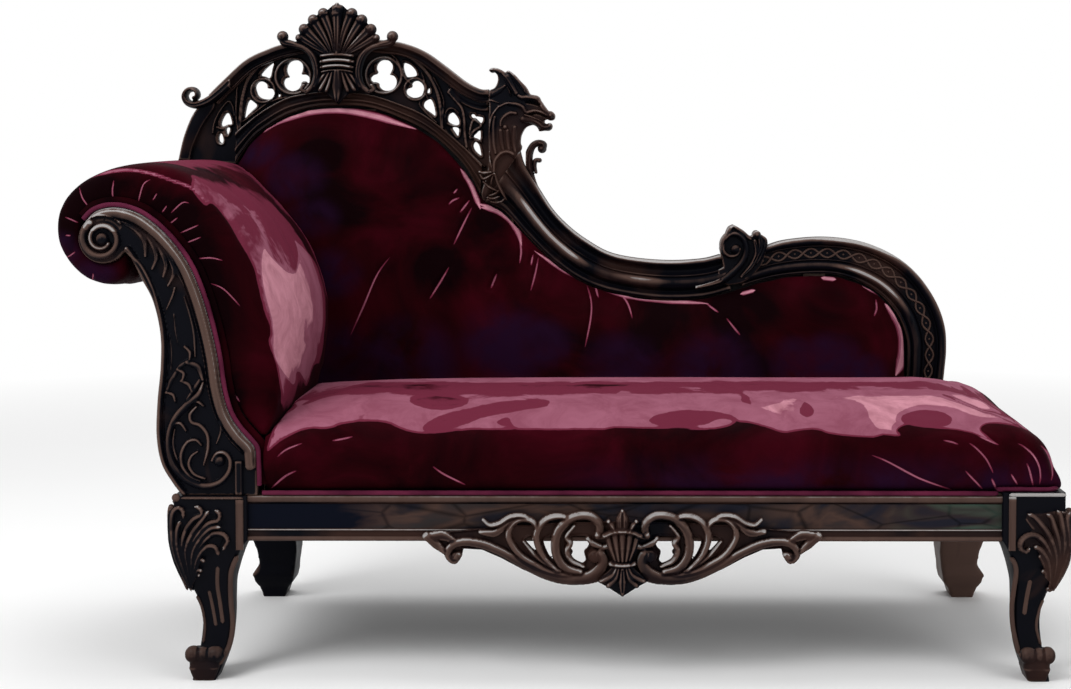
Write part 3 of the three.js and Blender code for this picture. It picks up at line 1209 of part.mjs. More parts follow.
// Webbing, coil springs, spring canvas and the black cloth under the frame
const rebateInset = railThickness / 2;
const underLeft = leftBlockX + sideFace + rebateInset + gap;
const underRight = rightEnd - sideFace - rebateInset - gap;
const underFront = railFaceY + rebateInset + gap;
const underRear = backRearY - rebateInset - gap;

// The frame's underside between the rebates, notched round the four legs
function underFrame() {
  const leftLeg = leftBlockX + blockWidth + gap;
  const rightLeg = rightBlockX - gap;
  const frontLegRear = blockRear + gap;
  const rearLegFront = rearBlockY - gap;
  return [[leftLeg, underFront], [rightLeg, underFront], [rightLeg, frontLegRear],
    [underRight, frontLegRear], [underRight, rearLegFront], [backRailRight, rearLegFront],
    [backRailRight, underRear], [backRailLeft, underRear], [backRailLeft, rearLegFront],
    [underLeft, rearLegFront], [underLeft, frontLegRear],
    [leftLeg, frontLegRear]].map(([x, y]) => new THREE.Vector2(x, y));
}

const webColumns = 8;
const webRows = 3;

// Straps laid both ways and stitched where they cross
function webbing() {
  const bottom = webTop - gap - webThickness;
  const top = webTop - gap;
  const across = Array.from({ length: webColumns }, (_, index) => {
    const x = mix(backRailLeft, backRailRight, (index + 0.5) / webColumns);
    return block(x - webWidth / 2, x + webWidth / 2, underFront, underRear, bottom, top);
  });
  const along = Array.from({ length: webRows }, (_, index) => {
    const y = mix(blockRear, rearBlockY, (index + 0.5) / webRows);
    return block(underLeft, underRight, y - webWidth / 2, y + webWidth / 2, bottom, top);
  });
  return join([...across, ...along]);
}

class WaistedCoil extends THREE.Curve {
  constructor(bottom, top) {
    super();
    this.bottom = bottom;
    this.top = top;
  }

  getPoint(share) {
    const angle = 2 * Math.PI * coilTurnCount * share;
    const radius = mix(coilRadius, coilWaist, Math.sin(Math.PI * share));
    const height = mix(this.bottom, this.top, share);
    return new THREE.Vector3(radius * Math.cos(angle), radius * Math.sin(angle), height);
  }
}

const wireSides = 4;
const stepsPerTurn = 8;

function addSuspension() {
  piece('seat_webbing', webbing(), jute);
  const dust = layer(underFrame(), webTop - 2 * gap - 2 * webThickness, webThickness);
  piece('dust_cover', dust, blackCloth);
  const coil = new WaistedCoil(webTop + wireRadius, railTop - wireRadius);
  const spring = tube(coil, wireRadius, wireSides, coilTurnCount * stepsPerTurn);
  for (let row = 0; row < springRows; row += 1) {
    for (let column = 0; column < springColumns; column += 1) {
      const x = mix(railLeft, railRight, (column + 0.5) / springColumns);
      const y = mix(crossRailFront, crossRailRear, (row + 0.5) / springRows);
      piece(`coil_spring_${row * springColumns + column + 1}`, spring, springSteel).position.set(x, y, 0);
    }
  }
  const seatFront = seatPipingY + pipingRadius + gap;
  const seatRight = seatPipingX - pipingRadius - gap;
  const outline = [[seatLeft, seatFront], [rightBlockX - gap, seatFront],
    [rightBlockX - gap, blockRear + gap], [seatRight, blockRear + gap], [seatRight, seatRear],
    [seatLeft, seatRear]].map(([x, y]) => new THREE.Vector2(x, y));
  piece('spring_canvas', layer(outline, railTop + gap, webThickness), jute);
}

// Black lining drawn over the outside of the arm, below the roll
const liningStartShare = 0.1;
const liningEndShare = 0.72;
function addArmLining() {
  const face = facadeOuter.filter((point, index, all) => index >= all.length * liningStartShare
    && index <= all.length * liningEndShare);
  const skin = [...parallel(face, webThickness), ...face.slice().reverse()];
  piece('outside_arm_cover', plate(skin, stumpFrontY - gap, stumpFrontY - facadeRearY - 2 * gap), velvet);
}

addLegs();
addSeatFrame();
addCornerBlocks();
addArmFrame();
addArmLining();
addCrest();
addBackFrame();
addCrestCarving();
addBackRails();
piece('apron_carving', apron(), brownEbony);
piece('apron_urn', apronUrn(), ebony);
addUpholstery();
addSuspension();

export default chaise;
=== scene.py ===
import math

import bmesh
import bpy
import numpy as np
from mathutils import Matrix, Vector
from mathutils.bvhtree import BVHTree


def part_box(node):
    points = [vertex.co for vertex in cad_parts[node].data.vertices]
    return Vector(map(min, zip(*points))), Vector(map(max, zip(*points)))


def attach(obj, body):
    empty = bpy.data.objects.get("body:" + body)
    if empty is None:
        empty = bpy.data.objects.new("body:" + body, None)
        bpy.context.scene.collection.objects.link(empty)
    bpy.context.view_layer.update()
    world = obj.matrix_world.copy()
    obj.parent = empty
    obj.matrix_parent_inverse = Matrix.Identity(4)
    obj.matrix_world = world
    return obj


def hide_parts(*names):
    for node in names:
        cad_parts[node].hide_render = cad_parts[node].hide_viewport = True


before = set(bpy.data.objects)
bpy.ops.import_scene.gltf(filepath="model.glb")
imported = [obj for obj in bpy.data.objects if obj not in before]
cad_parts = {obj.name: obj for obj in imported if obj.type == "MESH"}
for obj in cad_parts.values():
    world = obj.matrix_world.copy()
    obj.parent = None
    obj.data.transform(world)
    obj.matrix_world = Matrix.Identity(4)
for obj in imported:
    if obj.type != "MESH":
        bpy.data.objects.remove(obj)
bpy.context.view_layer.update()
BODY = "root"

# Driving sizes, as in the frame
LEFT_END = -0.900
RIGHT_END = 0.900
BACK_LEFT = -0.805
BACK_SPAN = 1.596
BACK_RISE = 0.916
ARM_SPAN = 0.345
ARM_RISE = 0.592
BASE = 0.3303
RAIL_TOP = 0.330
RAIL_BOTTOM = 0.248
RAIL_FACE = -0.318
RAIL_DEPTH = 0.044
LEG_FACE = -0.325
BACK_REAR = 0.322
BACK_FRONT = 0.275
BOARD_FRONT = 0.300
MOULDING_FRONT = 0.2677
FACING_BOARD = -0.318
FACING_FRONT = -0.330
GAP = 0.0003
PIPING_RADIUS = 0.0042

# Outlines of the frame, as shares of the back's span and rise
ARCH_OUTER_SHARES = [(-0.005, 0.643), (0.003, 0.7), (0.016, 0.752), (0.035, 0.788), (0.059, 0.829),
                     (0.085, 0.87), (0.111, 0.893), (0.144, 0.911), (0.207, 0.925), (0.268, 0.916),
                     (0.294, 0.909), (0.32, 0.891), (0.346, 0.859), (0.373, 0.823), (0.392, 0.806),
                     (0.403, 0.805)]
ARCH_INNER_SHARES = [(0.072, 0.706), (0.083, 0.723), (0.107, 0.755), (0.136, 0.783), (0.157, 0.793),
                     (0.192, 0.8), (0.217, 0.798), (0.252, 0.791), (0.287, 0.771), (0.314, 0.751),
                     (0.335, 0.726), (0.352, 0.702), (0.373, 0.67), (0.394, 0.635)]
PAD_EDGE_SHARES = [(0.072, 0.637), (0.079, 0.657), (0.093, 0.69), (0.107, 0.711), (0.136, 0.743),
                   (0.171, 0.763), (0.205, 0.768), (0.239, 0.766), (0.267, 0.754), (0.295, 0.734),
                   (0.316, 0.716), (0.338, 0.69), (0.359, 0.656), (0.372, 0.63), (0.382, 0.602),
                   (0.392, 0.565)]
SLOPE_TOP_SHARES = [(0.444, 0.665), (0.45, 0.631), (0.466, 0.586), (0.486, 0.532), (0.506, 0.495),
                    (0.528, 0.465), (0.559, 0.434), (0.594, 0.42), (0.64, 0.414), (0.682, 0.418),
                    (0.706, 0.428)]
SLOPE_BOTTOM_SHARES = [(0.397, 0.547), (0.411, 0.54), (0.426, 0.524), (0.457, 0.465), (0.486, 0.416),
                       (0.514, 0.379), (0.542, 0.355), (0.576, 0.339), (0.629, 0.327), (0.682, 0.33),
                       (0.72, 0.347)]
HUMP_OUTER_SHARES = [(0.752, 0.438), (0.768, 0.449), (0.792, 0.461), (0.835, 0.468), (0.875, 0.463),
                     (0.91, 0.447), (0.942, 0.417), (0.968, 0.375), (0.989, 0.319), (1.0, 0.264),
                     (1.002, 0.212), (1.0, 0.166), (0.996, 0.09), (0.995, 0)]
HUMP_INNER_SHARES = [(0.734, 0.356), (0.773, 0.375), (0.813, 0.384), (0.853, 0.384), (0.886, 0.368),
                     (0.915, 0.338), (0.939, 0.291), (0.951, 0.235), (0.952, 0.18), (0.95, 0.12),
                     (0.949, 0.06), (0.949, 0)]
# Outlines of the arm's facing, as shares of its span and rise
FACING_INNER_SHARES = [(0.182, 0.826), (0.241, 0.857), (0.336, 0.867), (0.441, 0.853), (0.536, 0.818),
                       (0.629, 0.764), (0.712, 0.695), (0.772, 0.612), (0.82, 0.516), (0.855, 0.42),
                       (0.878, 0.323), (0.914, 0.248), (0.973, 0.193), (1.038, 0.151), (1.049, 0.12),
                       (1.053, 0.06), (1.053, 0)]
FACING_OUTER_SHARES = [(0.665, 0), (0.619, 0.035), (0.56, 0.096), (0.536, 0.179), (0.542, 0.282),
                       (0.56, 0.386), (0.56, 0.488), (0.524, 0.585), (0.465, 0.653), (0.418, 0.709),
                       (0.383, 0.736)]


def on_back(share):
    return np.array([BACK_LEFT + BACK_SPAN * share[0], BASE + BACK_RISE * share[1]])


def on_arm(share):
    return np.array([LEFT_END + ARM_SPAN * share[0], BASE + ARM_RISE * share[1]])


def places(shares, place):
    return np.array([place(share) for share in shares])


# Evenly spaced points on a smooth curve through the given ones
def smooth(points, count):
    points = np.asarray(points, float)
    padded = np.vstack([points[:1], points, points[-1:]])
    fine = []
    for index in range(len(points) - 1):
        p0, p1, p2, p3 = padded[index:index + 4]
        t = np.linspace(0, 1, 24, endpoint=False)[:, None]
        fine.append(0.5 * (2 * p1 + (p2 - p0) * t + (2 * p0 - 5 * p1 + 4 * p2 - p3) * t ** 2
                           + (3 * p1 - p0 - 3 * p2 + p3) * t ** 3))
    fine = np.vstack([*fine, points[-1:]])
    along = np.r_[0, np.cumsum(np.linalg.norm(np.diff(fine, axis=0), axis=1))]
    wanted = np.linspace(0, along[-1], count)
    return np.stack([np.interp(wanted, along, fine[:, axis]) for axis in range(fine.shape[1])], 1)


def tangents(path):
    run = np.gradient(path, axis=0)
    return run / np.maximum(np.linalg.norm(run, axis=1, keepdims=True), 1e-9)


def left_normals(path):
    run = tangents(path)
    return np.stack([-run[:, 1], run[:, 0]], 1)


def parallel(path, distance):
    return path + left_normals(path) * np.asarray(distance, float).reshape(-1, 1)


def ramp(low, high, values):
    share = np.clip((values - low) / (high - low), 0, 1)
    return share * share * (3 - 2 * share)


# The curves that several pieces follow
arch_outer = smooth(places(ARCH_OUTER_SHARES, on_back), 160)
arch_inner = smooth(places(ARCH_INNER_SHARES, on_back), 140)
pad_edge = smooth(places(PAD_EDGE_SHARES, on_back), 140)
slope_top = smooth(places(SLOPE_TOP_SHARES, on_back), 120)
slope_bottom = smooth(places(SLOPE_BOTTOM_SHARES, on_back), 120)
hump_outer = smooth(places(HUMP_OUTER_SHARES, on_back), 160)
hump_inner = smooth(places(HUMP_INNER_SHARES, on_back), 160)
facing_inner = smooth(places(FACING_INNER_SHARES, on_arm), 150)
facing_outer = smooth(places(FACING_OUTER_SHARES, on_arm), 80)


# Materials


def material(name):
    made = bpy.data.materials.new(name)
    made.use_nodes = True
    tree = made.node_tree
    return made, tree, tree.nodes["Principled BSDF"]


def link(tree, source, target):
    tree.links.new(source, target)


def noise(tree, scale, detail=4, roughness=0.55, distortion=0.0, stretch=(1, 1, 1)):
    place = tree.nodes.new("ShaderNodeTexCoord")
    mapping = tree.nodes.new("ShaderNodeMapping")
    mapping.inputs["Scale"].default_value = stretch
    texture = tree.nodes.new("ShaderNodeTexNoise")
    texture.inputs["Scale"].default_value = scale
    texture.inputs["Detail"].default_value = detail
    texture.inputs["Roughness"].default_value = roughness
    texture.inputs["Distortion"].default_value = distortion
    link(tree, place.outputs["Object"], mapping.inputs["Vector"])
    link(tree, mapping.outputs["Vector"], texture.inputs["Vector"])
    return texture.outputs["Fac"]


def colour_ramp(tree, value, stops, interpolation="LINEAR"):
    made = tree.nodes.new("ShaderNodeValToRGB")
    made.color_ramp.interpolation = interpolation
    elements = made.color_ramp.elements
    while len(elements) < len(stops):
        elements.new(0.5)
    for element, (position, colour) in zip(elements, stops):
        element.position = position
        element.color = (*colour, 1)
    link(tree, value, made.inputs["Fac"])
    return made.outputs["Color"]


def grey(level):
    return (level, level, level)


def mix_colours(tree, share, first, second):
    made = tree.nodes.new("ShaderNodeMix")
    made.data_type = "RGBA"
    for socket, value in ((made.inputs["Factor"], share), (made.inputs["A"], first), (made.inputs["B"], second)):
        if isinstance(value, tuple):
            socket.default_value = (*value, 1)
        elif isinstance(value, float):
            socket.default_value = value
        else:
            link(tree, value, socket)
    return made.outputs["Result"]


def arithmetic(tree, operation, first, second):
    made = tree.nodes.new("ShaderNodeMath")
    made.operation = operation
    for socket, value in zip(made.inputs, (first, second)):
        if isinstance(value, float):
            socket.default_value = value
        else:
            link(tree, value, socket)
    return made.outputs["Value"]


def attribute(tree, name):
    made = tree.nodes.new("ShaderNodeAttribute")
    made.attribute_name = name
    return made.outputs["Fac"]


def bump(tree, shader, height, strength, distance):
    made = tree.nodes.new("ShaderNodeBump")
    made.inputs["Strength"].default_value = strength
    made.inputs["Distance"].default_value = distance
    link(tree, height, made.inputs["Height"])
    link(tree, made.outputs["Normal"], shader.inputs["Normal"])


BLACK_WOOD = (0.0028, 0.0029, 0.0048)
BROWN_WOOD = (0.030, 0.0145, 0.0115)
WORN_WOOD = (0.080, 0.048, 0.039)
WORN_EBONY = (0.046, 0.037, 0.038)
# The pale grey below is a painted highlight, laid along the highest edges
PAINTED_EDGE_HIGHLIGHT = (0.30, 0.285, 0.28)


# Ebonised wood: blue-black in the hollows, worn brown along the raised edges, and a pale painted highlight along the
# highest edges and upper flanks
def ebonised(name, brownness):
    made, tree, shader = material(name)
    grain = noise(tree, 34, 6, 0.6, 0.4, (1, 1, 0.18))
    clouds = noise(tree, 5.5, 3, 0.5, 0.6)
    clouds = arithmetic(tree, "SUBTRACT", clouds, attribute(tree, "cool"))
    body = mix_colours(tree, colour_share(tree, clouds, 0.62 - 0.3 * brownness, 0.78 - 0.2 * brownness),
                       BLACK_WOOD, BROWN_WOOD)
    wear_and_highlight = arithmetic(tree, "ADD", attribute(tree, "wear_and_highlight"), arithmetic(tree, "MULTIPLY", grain, 0.22))
    edge = colour_share(tree, wear_and_highlight, 0.78 - 0.12 * brownness, 1.0)
    rubbed = WORN_WOOD if brownness else mix_colours(tree, attribute(tree, "warm"), WORN_EBONY, WORN_WOOD)
    worn = mix_colours(tree, edge, body, rubbed)
    # Where the wear value runs highest, the colour turns to a pale painted highlight
    link(tree, mix_colours(tree, colour_share(tree, wear_and_highlight, 1.08, 1.22), worn, PAINTED_EDGE_HIGHLIGHT), shader.inputs["Base Color"])
    link(tree, colour_ramp(tree, grain, [(0.3, grey(0.30)), (0.75, grey(0.46))]), shader.inputs["Roughness"])
    shader.inputs["Coat Weight"].default_value = 0.015
    shader.inputs["Coat Roughness"].default_value = 0.15
    shader.inputs["Specular IOR Level"].default_value = 0.022
    bump(tree, shader, grain, 0.12, 0.0012)
    return made


def colour_share(tree, value, low, high):
    node = tree.nodes.new("ShaderNodeMapRange")
    node.inputs["From Min"].default_value = low
    node.inputs["From Max"].default_value = high
    link(tree, value, node.inputs["Value"])
    return node.outputs["Result"]


NAVY_VENEER = (0.0015, 0.0023, 0.0065)
GREEN_VENEER = (0.030, 0.062, 0.048)


# The frieze of the front rail: navy at the left, marbled brown towards the right, with a green patch
def figured_veneer():
    made, tree, shader = material("figured_veneer")
    flow = noise(tree, 7, 3, 0.5, 1.4, (0.55, 1, 1.6))
    place = tree.nodes.new("ShaderNodeTexCoord")
    cells = tree.nodes.new("ShaderNodeTexVoronoi")
    cells.feature = "DISTANCE_TO_EDGE"
    cells.inputs["Scale"].default_value = 9
    warp = tree.nodes.new("ShaderNodeMapping")
    warp.inputs["Scale"].default_value = (0.75, 1, 1.9)
    link(tree, place.outputs["Object"], warp.inputs["Vector"])
    link(tree, warp.outputs["Vector"], cells.inputs["Vector"])
    apart = tree.nodes.new("ShaderNodeSeparateXYZ")
    link(tree, place.outputs["Object"], apart.inputs["Vector"])
    across = arithmetic(tree, "ADD", apart.outputs["X"], arithmetic(tree, "MULTIPLY", flow, 0.30))
    stains = colour_ramp(tree, flow, [(0.34, (0.010, 0.010, 0.016)), (0.44, (0.026, 0.017, 0.016)),
                                      (0.53, (0.052, 0.029, 0.023)), (0.62, (0.028, 0.019, 0.018)),
                                      (0.72, (0.016, 0.018, 0.020))])
    seams = colour_ramp(tree, cells.outputs["Distance"], [(0.0, grey(0.25)), (0.035, grey(1.0))])
    dark = tree.nodes.new("ShaderNodeMix")
    dark.data_type = "RGBA"
    dark.blend_type = "MULTIPLY"
    dark.inputs["Factor"].default_value = 0.8
    link(tree, stains, dark.inputs["A"])
    link(tree, seams, dark.inputs["B"])
    brown = mix_colours(tree, colour_share(tree, across, -0.22, -0.12), NAVY_VENEER, dark.outputs["Result"])
    green = arithmetic(tree, "MULTIPLY", colour_share(tree, across, 0.72, 0.80), colour_share(tree, flow, 0.40, 0.56))
    link(tree, mix_colours(tree, green, brown, GREEN_VENEER), shader.inputs["Base Color"])
    link(tree, colour_ramp(tree, flow, [(0.2, grey(0.3)), (0.8, grey(0.5))]), shader.inputs["Roughness"])
    shader.inputs["Coat Weight"].default_value = 0.03
    shader.inputs["Coat Roughness"].default_value = 0.25
    shader.inputs["Specular IOR Level"].default_value = 0.02
    bump(tree, shader, flow, 0.08, 0.001)
    return made


# Purple is the painted shade colour; crimson, rose and pink are the levels of painted sheen
VELVET_BLACK = (0.0030, 0.0001, 0.0006)
VELVET_DEEP = (0.0130, 0.0003, 0.0014)
VELVET_WINE = (0.0290, 0.0007, 0.0034)
VELVET_PURPLE = (0.0110, 0.0026, 0.0130)
VELVET_CRIMSON = (0.115, 0.0160, 0.0340)
VELVET_ROSE = (0.250, 0.082, 0.124)
VELVET_PINK = (0.480, 0.212, 0.264)


# Velvet: mottled burgundy, purple where it is in shade, and rose and pink where sheen and highlights are painted on
def velvet(name):
    made, tree, shader = material(name)
    clouds = noise(tree, 4.2, 5, 0.58, 0.9)
    stain = noise(tree, 9, 4, 0.6, 0.5)
    # Painted light and shade shift the mottled body lighter or darker
    depth = arithmetic(tree, "ADD", clouds, arithmetic(tree, "MULTIPLY", attribute(tree, "tone"), 0.16))
    body = colour_ramp(tree, depth, [(0.34, VELVET_BLACK), (0.50, VELVET_DEEP), (0.68, VELVET_WINE)])
    shade = arithmetic(tree, "MULTIPLY", attribute(tree, "shade"), colour_share(tree, stain, 0.30, 0.60))
    body = mix_colours(tree, shade, body, VELVET_PURPLE)
    ragged = arithmetic(tree, "MULTIPLY", noise(tree, 45, 3, 0.6), 0.07)
    # Painted sheen and highlights from the pad's attribute, with ragged edges and stains
    painted_sheen_level = arithmetic(tree, "ADD", arithmetic(tree, "ADD", attribute(tree, "painted_sheen"), ragged),
                         arithmetic(tree, "MULTIPLY", stain, 0.36))
    light = colour_ramp(tree, painted_sheen_level, [(0.62, VELVET_CRIMSON), (0.70, VELVET_CRIMSON), (0.73, VELVET_ROSE),
                                        (0.96, VELVET_ROSE), (1.0, VELVET_PINK)])
    blotches = colour_share(tree, noise(tree, 13, 6, 0.68, 0.8), 0.40, 0.62)
    light = mix_colours(tree, arithmetic(tree, "MULTIPLY", blotches, 0.42), light, VELVET_CRIMSON)
    link(tree, mix_colours(tree, colour_share(tree, painted_sheen_level, 0.50, 0.56), body, light), shader.inputs["Base Color"])
    pile = noise(tree, 900, 2, 0.5)
    link(tree, colour_ramp(tree, stain, [(0.3, grey(0.62)), (0.7, grey(0.85))]), shader.inputs["Roughness"])
    shader.inputs["Sheen Weight"].default_value = 0.01
    shader.inputs["Sheen Roughness"].default_value = 0.35
    shader.inputs["Sheen Tint"].default_value = (0.95, 0.42, 0.62, 1)
    shader.inputs["Specular IOR Level"].default_value = 0.015
    bump(tree, shader, pile, 0.25, 0.0006)
    return made


def cord_velvet():
    made, tree, shader = material("cord_velvet")
    clouds = noise(tree, 14, 3, 0.5)
    body = colour_ramp(tree, clouds, [(0.35, (0.044, 0.0035, 0.015)), (0.65, (0.098, 0.012, 0.034))])
    link(tree, body, shader.inputs["Base Color"])
    link(tree, colour_ramp(tree, clouds, [(0.3, grey(0.5)), (0.7, grey(0.7))]), shader.inputs["Roughness"])
    shader.inputs["Sheen Weight"].default_value = 0.02
    shader.inputs["Sheen Tint"].default_value = (1.0, 0.5, 0.7, 1)
    shader.inputs["Specular IOR Level"].default_value = 0.06
    bump(tree, shader, noise(tree, 700, 2, 0.5), 0.3, 0.0005)
    return made


def weave(tree, spacing):
    place = tree.nodes.new("ShaderNodeTexCoord")
    waves = []
    for direction in ("X", "Y", "Z"):
        wave = tree.nodes.new("ShaderNodeTexWave")
        wave.bands_direction = direction
        wave.inputs["Scale"].default_value = 1 / spacing / 6.28
        link(tree, place.outputs["Object"], wave.inputs["Vector"])
        waves.append(wave.outputs["Fac"])
    return arithmetic(tree, "MULTIPLY", arithmetic(tree, "MULTIPLY", waves[0], waves[1]), waves[2])


def cloth(name, dark, light, spacing):
    made, tree, shader = material(name)
    threads = weave(tree, spacing)
    slub = noise(tree, 60, 4, 0.6)
    both = arithmetic(tree, "ADD", arithmetic(tree, "MULTIPLY", threads, 0.5), arithmetic(tree, "MULTIPLY", slub, 0.6))
    link(tree, colour_ramp(tree, both, [(0.2, dark), (0.7, light)]), shader.inputs["Base Color"])
    link(tree, colour_ramp(tree, slub, [(0.3, grey(0.8)), (0.7, grey(0.95))]), shader.inputs["Roughness"])
    bump(tree, shader, both, 0.4, 0.0008)
    return made


def plain_timber():
    made, tree, shader = material("beech")
    grain = noise(tree, 22, 6, 0.6, 0.5, (0.08, 1, 1))
    body = colour_ramp(tree, grain, [(0.3, (0.045, 0.022, 0.013)), (0.5, (0.075, 0.038, 0.021)), (0.7, (0.110, 0.058, 0.032))])
    link(tree, body, shader.inputs["Base Color"])
    link(tree, colour_ramp(tree, grain, [(0.3, grey(0.55)), (0.7, grey(0.72))]), shader.inputs["Roughness"])
    bump(tree, shader, grain, 0.2, 0.001)
    return made


def wire():
    made, tree, shader = material("spring_wire")
    marks = noise(tree, 120, 4, 0.6)
    link(tree, colour_ramp(tree, marks, [(0.3, (0.30, 0.29, 0.28)), (0.7, (0.52, 0.52, 0.53))]),
         shader.inputs["Base Color"])
    link(tree, colour_ramp(tree, marks, [(0.3, grey(0.28)), (0.7, grey(0.5))]), shader.inputs["Roughness"])
    shader.inputs["Metallic"].default_value = 1.0
    return made


MATERIALS = {
    "ebony": ebonised("ebonised_wood", 0.25),
    "brown_ebony": ebonised("worn_ebonised_wood", 0.8),
    "veneer": figured_veneer(),
    "velvet": velvet("burgundy_velvet"),
    "cord_velvet": cord_velvet(),
    "beech": plain_timber(),
    "jute": cloth("jute", (0.028, 0.018, 0.011), (0.075, 0.052, 0.032), 0.003),
    "black_cloth": cloth("black_lining", (0.008, 0.008, 0.009), (0.032, 0.030, 0.034), 0.0012),
    "spring_steel": wire(),
}


# Turning shells into pieces


def mesh_object(name, vertices, faces):
    mesh = bpy.data.meshes.new(name)
    mesh.from_pydata([tuple(vertex) for vertex in vertices], [], [tuple(face) for face in faces])
    mesh.update()
    made = bpy.data.objects.new(name, mesh)
    bpy.context.scene.collection.objects.link(made)
    return made


def coordinates(mesh):
    values = np.empty(len(mesh.vertices) * 3)
    mesh.vertices.foreach_get("co", values)
    return values.reshape(-1, 3)


def vertex_normals(mesh):
    values = np.empty(len(mesh.vertices) * 3)
    mesh.vertices.foreach_get("normal", values)
    return values.reshape(-1, 3)


def edge_ends(mesh):
    ends = np.empty(len(mesh.edges) * 2, int)
    mesh.edges.foreach_get("vertices", ends)
    return ends.reshape(-1, 2)


def neighbour_mean(values, ends, count):
    weights = np.maximum(np.bincount(ends.ravel(), minlength=count), 1)
    def gather(column):
        return (np.bincount(ends[:, 0], column[ends[:, 1]], count)
                + np.bincount(ends[:, 1], column[ends[:, 0]], count)) / weights
    if values.ndim == 1:
        return gather(values)
    return np.stack([gather(values[:, axis]) for axis in range(values.shape[1])], 1)


# Stores how far each point stands proud of its surroundings, for the wear along carved edges, and adds a painted
# highlight on upper flanks
def store_wear_and_highlight(mesh, sharpness=1.0, more=0.0):
    points = coordinates(mesh)
    ends = edge_ends(mesh)
    count = len(points)
    softened = points
    for _ in range(3):
        softened = neighbour_mean(softened, ends, count)
    proud = ((points - softened) * vertex_normals(mesh)).sum(1)
    length = np.linalg.norm(points[ends[:, 0]] - points[ends[:, 1]], axis=1).mean()
    wear_and_highlight = np.clip(0.45 + sharpness * proud / length, 0, 1)
    wear_and_highlight = neighbour_mean(wear_and_highlight, ends, count)
    # Upper flanks that face the front get a painted highlight, brighter than lower ones, as from light above and to the
    # left; the rear is hardly rubbed at all
    normals = vertex_normals(mesh)
    upward = (0.24 * normals @ np.array([-0.30, -0.22, 0.93]) - 0.053) * (1 - ramp(-0.3, 0.05, normals[:, 1]))
    store(mesh, "wear_and_highlight", wear_and_highlight * (1 - 0.75 * ramp(0.0, 0.35, normals[:, 1])) + more + upward)


def store(mesh, name, values):
    made = mesh.attributes.get(name) or mesh.attributes.new(name, "FLOAT", "POINT")
    made.data.foreach_set("value", values.astype(np.float32))


def apply_modifiers(piece):
    evaluated = piece.evaluated_get(bpy.context.evaluated_depsgraph_get())
    mesh = bpy.data.meshes.new_from_object(evaluated)
    piece.modifiers.clear()
    piece.data = mesh


def dress(piece, finish, nodes=()):
    piece.data.materials.clear()
    piece.data.materials.append(MATERIALS[finish])
    piece.data.shade_smooth()
    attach(piece, BODY)
    if nodes:
        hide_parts(*nodes)
    return piece


